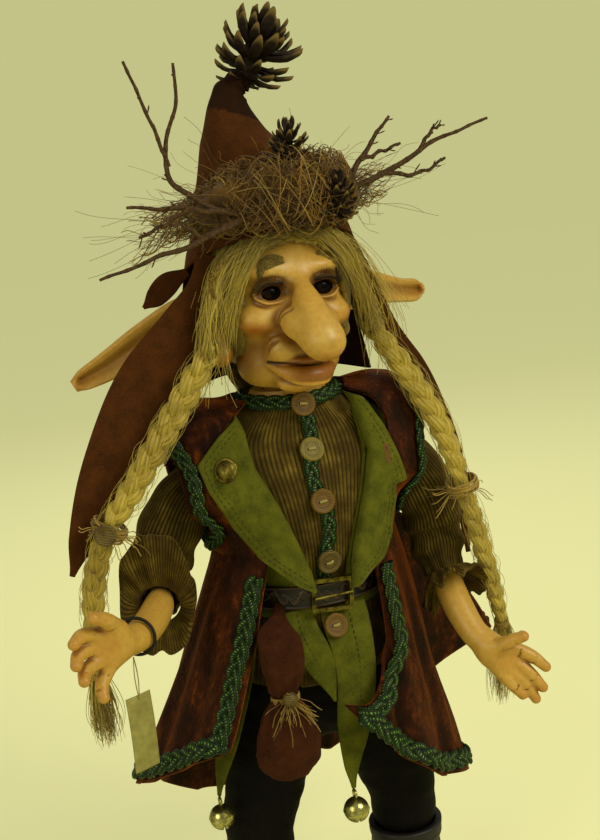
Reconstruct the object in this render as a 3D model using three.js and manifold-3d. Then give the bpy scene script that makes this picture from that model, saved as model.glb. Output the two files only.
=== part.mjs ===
// Porcelain elf doll in layered clothes, standing on its boots.
// Millimetres, +Z up. The doll faces -Y, its left hand is on +X.
// The origin lies on the ground between the boots, under the neck.

import * as THREE from "three";
import Module from "manifold-3d";

const wasm = await Module();
wasm.setup();

// Clearances and cloth thicknesses
const GAP = 0.4;
const CLOTH_GAP = 0.6;
const SHIRT_CLOTH = 1.8;
const FELT = 2.0;
const VELVET = 2.0;
const BELT_LEATHER = 2.6;
const BRAID_THICK = 3.0;
const BRAID_WIDE = 13;
const PORCELAIN = 4;

// Offsets of the clothing layers from the stuffed body
const SHIRT_IN = CLOTH_GAP;
const SHIRT_OUT = SHIRT_IN + SHIRT_CLOTH;
const FELT_IN = SHIRT_OUT + CLOTH_GAP;
const FELT_OUT = FELT_IN + FELT;
const BELT_IN = FELT_OUT + CLOTH_GAP + 0.2;
const BELT_OUT = BELT_IN + BELT_LEATHER;
const COAT_IN = FELT_OUT + 3;
const LAPEL_IN = VELVET + 2.2;

// Heights of the edges of the layers
const SEAT_Z = 160;
const TORSO_LOW_Z = 205;
const BREECHES_TOP_Z = 250;
const WAISTCOAT_LOW_Z = 252;
const PLATE_LOW_Z = 344;
const SHIRT_TOP_Z = 387;
const WAISTCOAT_TOP_Z = 370;
const COAT_TOP_Z = 379;
const COAT_WAIST_Z = 296;
const BELT_LOW_Z = 258;
const BELT_HIGH_Z = 274;

// Joint centres
const NECK = new THREE.Vector3(0, -3, 372);
const NECK_BALL = 15;
const SHOULDER = new THREE.Vector3(65, 0, 337);
const SHOULDER_BALL = 12;
const KNEE = new THREE.Vector3(51, 0, 90);
const KNEE_BALL = 22;
const ELBOW_BALL = 9;

// Mesh fineness
const AROUND = 16;
const ROWS_PER_STATION = 1;

// Stuffed body, from the seat to the neck: height, half width, half depth, centre in Y
const BODY = [
  [150, 38, 28, 4],
  [172, 46, 34, 3],
  [200, 49, 38, 1],
  [232, 45, 37, -2],
  [266, 39, 34, -4],
  [281, 40.5, 36, -4.7],
  [296, 43, 38, -5],
  [322, 50, 38, -4],
  [344, 58, 35, -1],
  [358, 57, 30, 1],
  [367, 49, 27, 1],
  [375, 38, 24.5, 0],
  [382, 28, 22, -1],
  [389, 22.5, 20, -2],
];

const vec = (x, y, z) => new THREE.Vector3(x, y, z);
const lerp = THREE.MathUtils.lerp;
const clamp = THREE.MathUtils.clamp;
const rad = THREE.MathUtils.degToRad;
const smooth = THREE.MathUtils.smoothstep;

// Smooth value of every column of a station list at a fractional row number
function rowAt(stations, t) {
  const last = stations.length - 1;
  const row = clamp(Math.floor(t), 0, last - 1);
  const f = clamp(t - row, 0, 1);
  const at = (i) => stations[clamp(i, 0, last)];
  return at(row).map((value, k) => {
    const before = at(row - 1)[k];
    const after = at(row + 1)[k];
    const beyond = at(row + 2)[k];
    const m0 = (after - before) / 2;
    const m1 = (beyond - value) / 2;
    const f2 = f * f;
    const f3 = f2 * f;
    return (2 * f3 - 3 * f2 + 1) * value + (f3 - 2 * f2 + f) * m0
      + (3 * f2 - 2 * f3) * after + (f3 - f2) * m1;
  });
}

// Fractional row number at which the first column reaches a value
function rowOf(stations, value) {
  let low = 0;
  let high = stations.length - 1;
  const rising = stations[high][0] > stations[0][0];
  for (let i = 0; i < 40; i++) {
    const mid = (low + high) / 2;
    if (rowAt(stations, mid)[0] < value === rising) low = mid;
    else high = mid;
  }
  return (low + high) / 2;
}

// Straight interpolation in a list of [key, values...], keys rising
function between(stations, key) {
  let i = 0;
  while (i < stations.length - 2 && key > stations[i + 1][0]) i++;
  const f = clamp((key - stations[i][0]) / (stations[i + 1][0] - stations[i][0]), 0, 1);
  return stations[i].map((value, k) => lerp(value, stations[i + 1][k], f));
}

// Three.js geometry from points and triangles, turned so that it faces out
function facing(points, triangles) {
  const volume = triangles.reduce((sum, [a, b, c]) => (
    sum + points[a].dot(new THREE.Vector3().crossVectors(points[b], points[c]))
  ), 0);
  const order = volume < 0 ? triangles.map(([a, b, c]) => [a, c, b]) : triangles;
  const geometry = new THREE.BufferGeometry().setFromPoints(points);
  geometry.setIndex(order.flat());
  return geometry;
}

// Closed body over rings of points, with a fan over each end
function ringBody(rings) {
  const count = rings[0].length;
  const points = rings.flat();
  const triangles = [];
  for (let j = 0; j < rings.length - 1; j++) {
    for (let i = 0; i < count; i++) {
      const a = j * count + i;
      const b = j * count + (i + 1) % count;
      triangles.push([a, b, b + count], [a, b + count, a + count]);
    }
  }
  [0, rings.length - 1].forEach((j, end) => {
    const middle = rings[j].reduce((sum, p) => sum.add(p), vec(0, 0, 0)).divideScalar(count);
    const hub = points.push(middle) - 1;
    for (let i = 0; i < count; i++) {
      const a = j * count + i;
      const b = j * count + (i + 1) % count;
      triangles.push(end ? [a, b, hub] : [b, a, hub]);
    }
  });
  return facing(points, triangles);
}

// Closed sheet between two grids of points; `around` joins the last column to the first
function sheetBody(outer, inner, around = false) {
  const rows = outer.length;
  const columns = outer[0].length;
  const points = [...outer.flat(), ...inner.flat()];
  const back = rows * columns;
  const triangles = [];
  const quad = (a, b, c, d) => triangles.push([a, b, c], [a, c, d]);
  const lastColumn = around ? columns : columns - 1;
  for (let j = 0; j < rows - 1; j++) {
    for (let i = 0; i < lastColumn; i++) {
      const a = j * columns + i;
      const b = j * columns + (i + 1) % columns;
      quad(a, b, b + columns, a + columns);
      quad(back + a, back + a + columns, back + b + columns, back + b);
    }
  }
  for (let i = 0; i < lastColumn; i++) {
    const next = (i + 1) % columns;
    const top = (rows - 1) * columns;
    quad(i, back + i, back + next, next);
    quad(top + i, top + next, back + top + next, back + top + i);
  }
  if (!around) {
    for (let j = 0; j < rows - 1; j++) {
      const a = j * columns;
      const b = a + columns - 1;
      quad(a, a + columns, back + a + columns, back + a);
      quad(b, back + b, back + b + columns, b + columns);
    }
  }
  return facing(points, triangles);
}

// Solid for joining and cutting
function solid(geometry) {
  const source = geometry.index ? geometry.toNonIndexed() : geometry;
  const mesh = new wasm.Mesh({
    numProp: 3,
    vertProperties: Float32Array.from(source.attributes.position.array),
    triVerts: Uint32Array.from({ length: source.attributes.position.count }, (_, i) => i),
  });
  mesh.merge();
  const body = new wasm.Manifold(mesh);
  return body;
}
const join = (first, ...others) => others.reduce((sum, body) => sum.add(body), first);
const cut = (first, ...others) => others.reduce((rest, body) => rest.subtract(body), first);
const common = (first, second) => first.intersect(second);

// Box between two corners
function boxSolid(low, high) {
  const size = new THREE.Vector3().subVectors(high, low);
  const geometry = new THREE.BoxGeometry(size.x, size.y, size.z);
  const centre = new THREE.Vector3().addVectors(low, high).divideScalar(2);
  return solid(geometry.translate(centre.x, centre.y, centre.z));
}
function ballSolid(centre, radius, segments = 20) {
  const geometry = new THREE.SphereGeometry(radius, segments, Math.round(segments / 2));
  return solid(geometry.rotateX(Math.PI / 2).translate(centre.x, centre.y, centre.z));
}
function ovalSolid(centre, radii, segments = 24) {
  const geometry = new THREE.SphereGeometry(1, segments, Math.round(segments / 1.6));
  geometry.rotateX(Math.PI / 2).scale(radii.x, radii.y, radii.z);
  return solid(geometry.translate(centre.x, centre.y, centre.z));
}
// Ball with its poles on the axis of a joint, and the size of the cup that lets its facets turn
const JOINT_FACETS = 12;
const JOINT_PLAY = 0.15;
const cupRadius = (radius) => (radius + JOINT_PLAY) / Math.cos(Math.PI / JOINT_FACETS);
function jointBall(centre, radius, axis) {
  const turn = new THREE.Quaternion().setFromUnitVectors(vec(0, 1, 0), axis.clone().normalize());
  const geometry = new THREE.SphereGeometry(radius, JOINT_FACETS, 7).applyQuaternion(turn);
  return solid(geometry.translate(centre.x, centre.y, centre.z));
}
// Geometry drawn about +Z, laid along a direction at a place
function placed(geometry, at, direction) {
  const turn = new THREE.Quaternion().setFromUnitVectors(vec(0, 0, 1), direction.clone().normalize());
  return geometry.applyQuaternion(turn).translate(at.x, at.y, at.z);
}
// Front-view outline of [x, z] points, pushed through from one Y to another
function frontSlab(outline, yFront, yBack) {
  const shape = new THREE.Shape(outline.map(([x, z]) => new THREE.Vector2(x, z)));
  const depth = yBack - yFront;
  const geometry = new THREE.ExtrudeGeometry(shape, { depth, bevelEnabled: false });
  return solid(geometry.rotateX(Math.PI / 2).translate(0, yBack, 0));
}
// Side-view outline of [y, z] points, pushed through from one X to another
function sideSlab(outline, xLow, xHigh) {
  const shape = new THREE.Shape(outline.map(([y, z]) => new THREE.Vector2(y, z)));
  const geometry = new THREE.ExtrudeGeometry(shape, { depth: xHigh - xLow, bevelEnabled: false });
  geometry.applyMatrix4(new THREE.Matrix4().makeBasis(vec(0, 1, 0), vec(0, 0, 1), vec(1, 0, 0)));
  return solid(geometry.translate(xLow, 0, 0));
}

// Body swept along a smooth path. Each station is [x, y, z, half size across, half size through];
// `across` is the direction that the first half size keeps as near as it can.
function sweep(stations, across, { sides = 12, steps = 12, grow = 0, wave = () => 0 } = {}) {
  const path = new THREE.CatmullRomCurve3(stations.map(([x, y, z]) => vec(x, y, z)), false, "centripetal");
  const sizes = stations.map(([, , , wide, thick]) => [wide, thick ?? wide]);
  const rings = [];
  for (let j = 0; j <= steps; j++) {
    const f = j / steps;
    const centre = path.getPoint(f);
    const along = path.getTangent(f);
    const side = across.clone().addScaledVector(along, -across.dot(along)).normalize();
    const through = new THREE.Vector3().crossVectors(along, side);
    const [wide, thick] = rowAt(sizes, f * (sizes.length - 1));
    if (grow && j === 0) centre.addScaledVector(along, -grow);
    if (grow && j === steps) centre.addScaledVector(along, grow);
    rings.push(Array.from({ length: sides }, (_, i) => {
      const angle = (i / sides) * Math.PI * 2;
      const swell = grow + wave(angle, f);
      return centre.clone()
        .addScaledVector(side, Math.cos(angle) * (wide + swell))
        .addScaledVector(through, Math.sin(angle) * (thick + swell));
    }));
  }
  return ringBody(rings);
}

// Point of the body surface at an angle from the front (towards the left hand) and a row,
// pushed out by an offset along the local normal
function bodyPoint(angle, row, offset) {
  const step = 0.05;
  const [z, wide, deep, middle] = rowAt(BODY, row);
  const low = rowAt(BODY, row - step);
  const high = rowAt(BODY, row + step);
  const rise = high[0] - low[0];
  const sideways = new THREE.Vector2(rise, low[1] - high[1]).normalize();
  const forward = new THREE.Vector2(rise, low[2] - high[2]).normalize();
  const s = Math.sin(angle);
  const c = Math.cos(angle);
  return vec(
    (wide + offset * sideways.x) * s,
    middle - (deep + offset * forward.x) * c,
    z + offset * (sideways.y * s * s + forward.y * c * c),
  );
}
function bodyRows(zLow, zHigh) {
  const from = rowOf(BODY, zLow);
  const to = rowOf(BODY, zHigh);
  const inside = [];
  for (let k = Math.ceil(from * ROWS_PER_STATION + 0.3); k < to * ROWS_PER_STATION - 0.3; k++) {
    inside.push(k / ROWS_PER_STATION);
  }
  return [from, ...inside, to];
}
function layerRings(zLow, zHigh, offset) {
  return bodyRows(zLow, zHigh).map((row) => Array.from({ length: AROUND }, (_, i) => (
    bodyPoint((i / AROUND) * Math.PI * 2, row, offset)
  )));
}
const layerSolid = (zLow, zHigh, offset) => solid(ringBody(layerRings(zLow, zHigh, offset)));
const layerShell = (zLow, zHigh, inner, outer) => (
  solid(sheetBody(layerRings(zLow, zHigh, outer), layerRings(zLow, zHigh, inner), true))
);

// The model, with each piece added once
const doll = new THREE.Group();
doll.name = "porcelain_elf_doll";
const pieces = {};

function addPiece(name, shape, look) {
  let geometry = shape;
  if (!shape.isBufferGeometry) {
    const mesh = shape.getMesh();
    const positions = new Float32Array(mesh.numVert * 3);
    for (let i = 0; i < mesh.numVert; i++) {
      positions.set(mesh.vertProperties.subarray(i * mesh.numProp, i * mesh.numProp + 3), i * 3);
    }
    geometry = new THREE.BufferGeometry();
    geometry.setAttribute("position", new THREE.BufferAttribute(positions, 3));
    geometry.setIndex(new THREE.BufferAttribute(Uint32Array.from(mesh.triVerts), 1));
  }
  geometry = geometry.index ? geometry.toNonIndexed() : geometry;
  geometry.computeVertexNormals();
  const material = new THREE.MeshStandardMaterial(look);
  material.name = `${name}_finish`;
  const piece = new THREE.Mesh(geometry, material);
  piece.name = name;
  pieces[name] = piece;
  doll.add(piece);
}

const LOOKS = {
  skin: { color: 0xd6ad68, roughness: 0.42, metalness: 0 },
  eye: { color: 0x2a1a0c, roughness: 0.08, metalness: 0 },
  hair: { color: 0xb59c45, roughness: 0.7, metalness: 0 },
  felt_brown: { color: 0x5c2f12, roughness: 0.95, metalness: 0 },
  felt_dark: { color: 0x35190c, roughness: 0.95, metalness: 0 },
  felt_green: { color: 0x6b6a20, roughness: 0.95, metalness: 0 },
  corduroy: { color: 0x4f3d1b, roughness: 0.9, metalness: 0 },
  velvet: { color: 0x532710, roughness: 0.8, metalness: 0 },
  velvet_black: { color: 0x100b0a, roughness: 0.85, metalness: 0 },
  braid: { color: 0x1f4028, roughness: 0.45, metalness: 0.3 },
  leather: { color: 0x2c1b0e, roughness: 0.5, metalness: 0 },
  suede: { color: 0x5b3210, roughness: 0.95, metalness: 0 },
  brass: { color: 0x8f8336, roughness: 0.35, metalness: 0.9 },
  wood: { color: 0x9a7c36, roughness: 0.6, metalness: 0 },
  cone: { color: 0x3c2a16, roughness: 0.85, metalness: 0 },
  twig: { color: 0x4a4020, roughness: 0.85, metalness: 0 },
  fibre: { color: 0x6d5226, roughness: 0.9, metalness: 0 },
  stuffing: { color: 0xb9a87c, roughness: 0.95, metalness: 0 },
  cork: { color: 0xa98a58, roughness: 0.95, metalness: 0 },
  cord: { color: 0x0c0c0c, roughness: 0.7, metalness: 0 },
  card: { color: 0xb9b27c, roughness: 0.7, metalness: 0 },
};

const mirror = (point, side) => vec(point.x * side, point.y, point.z);
const SIDES = { right: -1, left: 1 };

// Body core: stuffed torso and the porcelain shoulder plate that carries the neck
const shoulderBall = (side, radius) => jointBall(mirror(SHOULDER, side), radius, vec(1, 0, 0));
const shoulderCups = [-1, 1].map((side) => shoulderBall(side, cupRadius(SHOULDER_BALL)));
addPiece(
  "torso",
  cut(layerSolid(TORSO_LOW_Z, PLATE_LOW_Z, 0), ...shoulderCups),
  LOOKS.stuffing,
);
addPiece(
  "shoulder_plate",
  cut(
    layerSolid(PLATE_LOW_Z + GAP, BODY.at(-1)[0], 0),
    ballSolid(NECK, NECK_BALL + GAP),
    solid(sweep([[NECK.x, NECK.y, NECK.z, NECK_BALL + GAP], [NECK.x, NECK.y, 400, NECK_BALL + GAP]],
      vec(1, 0, 0), { sides: 20, steps: 1 })),
    ...shoulderCups,
  ),
  LOOKS.skin,
);

// Corduroy shirt body with its braided collar and placket
addPiece(
  "shirt",
  cut(layerShell(TORSO_LOW_Z, SHIRT_TOP_Z, SHIRT_IN, SHIRT_OUT), ...shoulderCups),
  LOOKS.corduroy,
);
const COLLAR_LOW_Z = 376;
const BRAID_IN = SHIRT_OUT + GAP;
const BRAID_OUT = BRAID_IN + BRAID_THICK;
const collarBand = layerShell(COLLAR_LOW_Z, SHIRT_TOP_Z, BRAID_IN, BRAID_OUT);
const PLACKET_TOP_Z = 384;
const PLACKET_THICK = 1.8;
const placketStrip = frontSlab(
  [[-BRAID_WIDE / 2, BELT_LOW_Z], [BRAID_WIDE / 2, BELT_LOW_Z],
    [BRAID_WIDE / 2, PLACKET_TOP_Z], [-BRAID_WIDE / 2, PLACKET_TOP_Z]],
  -70,
  -5,
);
const placket = layerShell(WAISTCOAT_LOW_Z - 2, COLLAR_LOW_Z + 4, BRAID_IN, BRAID_IN + PLACKET_THICK);
addPiece("shirt_braid", join(collarBand, common(placket, placketStrip)), LOOKS.braid);

// Waistcoat: one felt body with a deep front opening and round armholes
const ARMHOLE_REACH = 130;
function armholeSlab(side, halfDeep, halfHigh) {
  const outline = Array.from({ length: 14 }, (_, i) => {
    const angle = (i / 14) * Math.PI * 2;
    return [SHOULDER.y + halfDeep * Math.cos(angle), SHOULDER.z + halfHigh * Math.sin(angle)];
  });
  return side > 0 ? sideSlab(outline, 40, ARMHOLE_REACH) : sideSlab(outline, -ARMHOLE_REACH, -40);
}
const WAISTCOAT_ARMHOLE = 20;
const OPENING = [
  [-BRAID_WIDE / 2 - 2, 240], [-12, 276], [-18, 302], [-26, 325], [-36, 349], [-41, 371], [-44, 392],
  [38, 392], [36, 364], [36, 348], [30, 330], [21, 307], [13, 283], [BRAID_WIDE / 2 + 2, 240],
];
// Leaf-shaped tails of the waistcoat, hanging under the belt:
// [x, y, z, half width, half thickness]
const TAIL_THICK = FELT / 2;
const TAILS = {
  frontRight: [
    [-20, -38.6, 257, 9.5, TAIL_THICK], [-20, -44.4, 246, 10, TAIL_THICK], [-18, -48, 238, 10.5, TAIL_THICK],
    [-13, -50, 224, 9, TAIL_THICK], [-9, -52, 210, 4.5, TAIL_THICK], [-7, -53, 200, 1, TAIL_THICK],
  ],
  frontLeft: [
    [8, -41.5, 256, 14.5, TAIL_THICK], [8, -45.6, 246, 15, TAIL_THICK], [9, -49, 232, 14, TAIL_THICK],
    [9, -50, 210, 13, TAIL_THICK], [4, -51, 180, 11, TAIL_THICK], [-1, -54, 155, 5, TAIL_THICK],
    [-2, -56, 142, 1.4, TAIL_THICK],
  ],
  sideRight: [
    [-43, -14, 256, 10, TAIL_THICK], [-48, -16, 246, 13, TAIL_THICK], [-58, -19, 215, 15, TAIL_THICK],
    [-69, -20, 180, 12, TAIL_THICK], [-76, -20, 155, 6, TAIL_THICK], [-79, -20, 141, 1.4, TAIL_THICK],
  ],
};
const tailAcross = { frontRight: vec(1, 0, 0), frontLeft: vec(1, 0, 0), sideRight: vec(0.35, -1, 0) };
const tails = Object.entries(TAILS).map(([name, stations]) => (
  solid(sweep(stations, tailAcross[name], { sides: 6, steps: 6 }))
));
addPiece(
  "waistcoat",
  cut(
    join(
      cut(layerShell(WAISTCOAT_LOW_Z, WAISTCOAT_TOP_Z, FELT_IN, FELT_OUT), frontSlab(OPENING, -80, -4)),
      ...tails,
    ),
    layerSolid(SEAT_Z + 5, WAISTCOAT_LOW_Z - 1, FELT_OUT + CLOTH_GAP),
    layerSolid(WAISTCOAT_LOW_Z - 4, BELT_LOW_Z + 4, FELT_IN),
    armholeSlab(-1, WAISTCOAT_ARMHOLE, WAISTCOAT_ARMHOLE + 2),
    armholeSlab(1, WAISTCOAT_ARMHOLE, WAISTCOAT_ARMHOLE + 2),
  ),
  LOOKS.felt_green,
);

// Coat surface: it follows the body with a dropped shoulder down to the waist, then falls to
// a hem given as [angle, radius, height, droop], where a droop below 1 springs out early
const SHOULDER_DROP = 19;
const HEM = [
  [-180, 83, 98, 1.1],
  [-150, 83, 98, 1.1],
  [-130, 93, 104, 1.1],
  [-105, 112, 138, 1.1],
  [-90, 117, 152, 1.1],
  [-75, 120, 166, 1.1],
  [-60, 107, 184, 1.1],
  [-48, 97, 192, 1.1],
  [-6, 62, 203, 1.0],
  [23, 67, 160, 1.0],
  [45, 73, 134, 1.0],
  [76, 84, 114, 1.0],
  [92, 88, 112, 1.0],
];
const HEM_BACK = [
  [92, 150, 188, 0.6],
  [110, 172, 175, 0.6],
  [126, 124, 138, 0.9],
  [140, 98, 110, 1.0],
  [160, 86, 99, 1.1],
  [180, 83, 98, 1.1],
];
const FOLD_DEPTH = 3.6;
const FOLD_TURNS = 11;

function shoulderDrop(angle, z) {
  const side = smooth(Math.abs(Math.sin(angle)), 0.45, 1);
  return SHOULDER_DROP * side * smooth(z, 312, 340) * (1 - smooth(z, 364, 380));
}
function coatPoint(angle, depth, offset, hem) {
  const waist = rowOf(BODY, COAT_WAIST_Z);
  const top = rowOf(BODY, COAT_TOP_Z);
  if (depth <= 0) {
    const row = lerp(waist, top, -depth);
    const z = rowAt(BODY, row)[0];
    return bodyPoint(angle, row, COAT_IN + shoulderDrop(angle, z) + offset);
  }
  const start = bodyPoint(angle, waist, COAT_IN);
  const startRadius = Math.hypot(start.x, start.y);
  const [, hemRadius, hemZ, droop] = between(hem, THREE.MathUtils.radToDeg(angle));
  const spread = (f) => lerp(startRadius, hemRadius, Math.max(f, 0) ** droop)
    + FOLD_DEPTH * f * Math.sin(angle * FOLD_TURNS) + FOLD_DEPTH * f;
  const radius = spread(depth);
  const slope = (spread(depth + 0.02) - spread(depth - 0.02)) / 0.04;
  const normal = new THREE.Vector2(start.z - hemZ, slope).normalize();
  const across = new THREE.Vector2(start.x, start.y).normalize();
  const turned = new THREE.Vector2(Math.sin(angle), -Math.cos(angle));
  const heading = across.lerp(turned, smooth(depth, 0, 0.35)).normalize();
  const reach = radius + offset * normal.x;
  return vec(heading.x * reach, heading.y * reach, lerp(start.z, hemZ, depth) + offset * normal.y);
}
const COAT_ROWS = [-1, -0.82, -0.64, -0.46, -0.25, 0.001, 0.18, 0.42, 0.7, 1];
const SEAM = 0.35;

// Front edges of the coat as angles at each depth below the shoulder
const EDGES = {
  right: [[-1, -58], [-0.8, -50], [0, -42], [0.4, -45], [1, -50]],
  left: [[-1, 58], [-0.8, 50], [0, 34], [0.45, 29], [0.75, 14], [1, -5]],
};
const SIDE_SEAM = { right: -92, left: 92 };
const edgeAngle = (name, depth) => between(EDGES[name], depth)[1];

function coatGrid(offset, hem, columns, rows, angleAt) {
  return rows.map((depth) => Array.from({ length: columns + 1 }, (_, i) => (
    coatPoint(rad(angleAt(i / columns, depth)), depth, offset, hem)
  )));
}
function coatPanel(hem, columns, angleAt, inner = 0, outer = VELVET, rows = COAT_ROWS) {
  return solid(sheetBody(
    coatGrid(outer, hem, columns, rows, angleAt),
    coatGrid(inner, hem, columns, rows, angleAt),
  ));
}
const COAT_ARMHOLE = { deep: 28, high: 31 };
const coatArmholes = [-1, 1].map((side) => armholeSlab(side, COAT_ARMHOLE.deep, COAT_ARMHOLE.high));
const BACK_FROM = SIDE_SEAM.right - SEAM;
const BACK_TO = SIDE_SEAM.left + SEAM - 360;
const WHOLE_HEM_BACK = [
  ...HEM_BACK.map(([angle, ...rest]) => [angle - 360, ...rest]).slice(0, -1),
  ...HEM.filter(([angle]) => angle <= SIDE_SEAM.right + 5),
];
const frontAngles = (name) => (f, depth) => (
  lerp(edgeAngle(name, depth), SIDE_SEAM[name], f)
);
const LEFT_VENT = 20;
const backAngles = (f, depth) => (
  lerp(BACK_TO + LEFT_VENT * smooth(depth, -0.1, 0.1), BACK_FROM, f)
);
const BACK_COLUMNS = 18;
const FRONT_COLUMNS = 9;
addPiece("coat_back", cut(coatPanel(WHOLE_HEM_BACK, BACK_COLUMNS, backAngles), ...coatArmholes), LOOKS.velvet);
for (const name of ["right", "left"]) {
  const panel = coatPanel(HEM, FRONT_COLUMNS, frontAngles(name));
  addPiece(`coat_${name}_front`, cut(panel, ...coatArmholes), LOOKS.velvet);
}

// Metallic braid on the coat: front edges, hems and armholes, laid on the velvet
const ON_COAT = VELVET + CLOTH_GAP;
const HEM_STRIP_ROWS = [0.88, 1];
const TRIM_FROM = 0.12;
const TRIM_REACH = 14;
function edgeStrip(name) {
  const rows = [TRIM_FROM, 0.35, 0.6, 0.8, 1];
  const away = Math.sign(SIDE_SEAM[name]);
  const widthAngle = (depth) => {
    const at = coatPoint(rad(edgeAngle(name, depth)), depth, 0, HEM);
    return away * THREE.MathUtils.radToDeg(BRAID_WIDE / Math.hypot(at.x, at.y));
  };
  const strip = (f, depth) => edgeAngle(name, depth) - away + (widthAngle(depth) + away) * f;
  return coatPanel(HEM, 1, strip, -TRIM_REACH, TRIM_REACH, rows);
}
const hemStrip = (hem, angleAt) => (
  coatPanel(hem, FRONT_COLUMNS, angleAt, -TRIM_REACH, TRIM_REACH, HEM_STRIP_ROWS)
);
const overCoat = (hem, columns, angleAt) => coatPanel(hem, columns, angleAt, ON_COAT, ON_COAT + BRAID_THICK);
for (const name of ["right", "left"]) {
  const skin = overCoat(HEM, FRONT_COLUMNS, frontAngles(name));
  const strips = join(edgeStrip(name), hemStrip(HEM, frontAngles(name)));
  addPiece(`coat_${name}_front_braid`, common(skin, strips), LOOKS.braid);
}
addPiece("coat_back_hem_braid", common(
  overCoat(WHOLE_HEM_BACK, BACK_COLUMNS, backAngles),
  hemStrip(WHOLE_HEM_BACK, backAngles),
), LOOKS.braid);
// Lapels of the waistcoat, folded out over the coat fronts
const LAPEL_OUTLINES = {
  right: [
    [-41, 381], [-55, 371], [-70, 356], [-66, 340], [-54, 316], [-40, 294], [-24, 279], [-12, 272],
    [-13, 284], [-18, 302], [-26, 325], [-36, 349], [-38, 371],
  ],
  left: [
    [30, 383], [38, 380], [48, 362], [54, 342], [58, 326], [49, 325], [51, 314], [46, 295], [36, 283],
    [21, 276], [11, 270], [13, 283], [21, 307], [30, 330], [36, 348], [34, 366],
  ],
};
function lapelSlab(name, grow) {
  const outline = LAPEL_OUTLINES[name].map(([x, z]) => new THREE.Vector2(x, z));
  const middle = outline.reduce((sum, p) => sum.add(p), new THREE.Vector2()).divideScalar(outline.length);
  const grown = outline.map((p) => p.clone().add(p.clone().sub(middle).setLength(grow)));
  return frontSlab(grown.map((p) => [p.x, p.y]), -90, -8);
}
function lapel(name) {
  const side = SIDES[name];
  const rows = COAT_ROWS.filter((depth) => depth < 0.2);
  const angles = (f) => lerp(side * 4, side * 84, f);
  const top = LAPEL_IN + FELT;
  const cover = coatPanel(HEM, 8, angles, LAPEL_IN, top, rows);
  const roll = coatPanel(HEM, 8, angles, FELT_OUT + CLOTH_GAP - COAT_IN, top, rows);
  const rollStrip = frontSlab(
    OPENING.map(([x, z]) => [x + (Math.sign(x) === side ? side * 3.5 : -side * 40), z]),
    -90,
    -10,
  );
  const body = join(cover, common(roll, rollStrip));
  return cut(
    common(body, lapelSlab(name, 0)),
    frontSlab(OPENING, -95, -4),
    layerSolid(WAISTCOAT_LOW_Z, WAISTCOAT_TOP_Z, FELT_OUT + GAP),
    coatPanel(HEM, FRONT_COLUMNS, frontAngles(name), 0, VELVET + GAP),
  );
}
for (const name of ["right", "left"]) addPiece(`${name}_lapel`, lapel(name), LOOKS.felt_green);

// Belt with a rectangular buckle
addPiece("belt", layerShell(BELT_LOW_Z, BELT_HIGH_Z, BELT_IN, BELT_OUT), LOOKS.leather);
const BUCKLE = { wide: 27, high: 21, bar: 2.6, thick: 2.2, tilt: 5 };
const beltMiddleZ = (BELT_LOW_Z + BELT_HIGH_Z) / 2;
const beltFrontY = bodyPoint(0, rowOf(BODY, beltMiddleZ), BELT_OUT).y - GAP;
function rectangle(wide, high, corner) {
  const shape = new THREE.Shape();
  const x = wide / 2;
  const y = high / 2;
  shape.moveTo(-x + corner, -y);
  shape.lineTo(x - corner, -y);
  shape.quadraticCurveTo(x, -y, x, -y + corner);
  shape.lineTo(x, y - corner);
  shape.quadraticCurveTo(x, y, x - corner, y);
  shape.lineTo(-x + corner, y);
  shape.quadraticCurveTo(-x, y, -x, y - corner);
  shape.lineTo(-x, -y + corner);
  shape.quadraticCurveTo(-x, -y, -x + corner, -y);
  return shape;
}
const buckleShape = rectangle(BUCKLE.wide, BUCKLE.high, 3);
buckleShape.holes.push(rectangle(BUCKLE.wide - 2 * BUCKLE.bar, BUCKLE.high - 2 * BUCKLE.bar, 1.5));
const buckleFrame = new THREE.ExtrudeGeometry(buckleShape, {
  depth: BUCKLE.thick, bevelEnabled: false, curveSegments: 3,
});
buckleFrame.rotateX(Math.PI / 2).rotateY(rad(BUCKLE.tilt)).translate(0, beltFrontY, beltMiddleZ);
addPiece("buckle_frame", solid(buckleFrame), LOOKS.brass);
const prong = new THREE.CylinderGeometry(0.9, 0.9, BUCKLE.wide - BUCKLE.bar, 8);
prong.rotateZ(Math.PI / 2).translate(0, beltFrontY - BUCKLE.thick - 0.9 - GAP, beltMiddleZ);
addPiece("buckle_prong", solid(prong), LOOKS.brass);

// Turned wooden button with a raised rim, lying on the shirt front
const BUTTON = { radius: 7.6, thick: 3.2, rim: 1.4, dish: 0.8 };
function buttonProfile(radius, thick, rim, dish) {
  return [
    [0, 0], [radius - 0.6, 0], [radius, 0.6], [radius - 0.4, thick],
    [radius - rim, thick], [radius - rim - 0.8, thick - dish], [0, thick - dish],
  ].map(([r, z]) => new THREE.Vector2(r, z));
}
function turnedDisc(at, direction, profile, segments = 10) {
  const geometry = new THREE.LatheGeometry(profile, segments).rotateX(Math.PI / 2);
  return solid(placed(geometry, at, direction));
}
const SHIRT_BUTTONS = [379, 352, 324, 288];
SHIRT_BUTTONS.forEach((z, i) => {
  const layer = i === 0 ? BRAID_OUT : BRAID_IN + PLACKET_THICK;
  const row = rowOf(BODY, z);
  const at = bodyPoint(0, row, layer + GAP);
  const above = bodyPoint(0, row + 0.2, layer);
  const below = bodyPoint(0, row - 0.2, layer);
  const slope = new THREE.Vector3().subVectors(above, below).normalize();
  const normal = vec(0, -slope.z, slope.y);
  const disc = turnedDisc(
    at.addScaledVector(normal, 0.2),
    normal,
    buttonProfile(BUTTON.radius, BUTTON.thick, BUTTON.rim, BUTTON.dish),
  );
  addPiece(`shirt_button_${i + 1}`, disc, LOOKS.wood);
});

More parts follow.
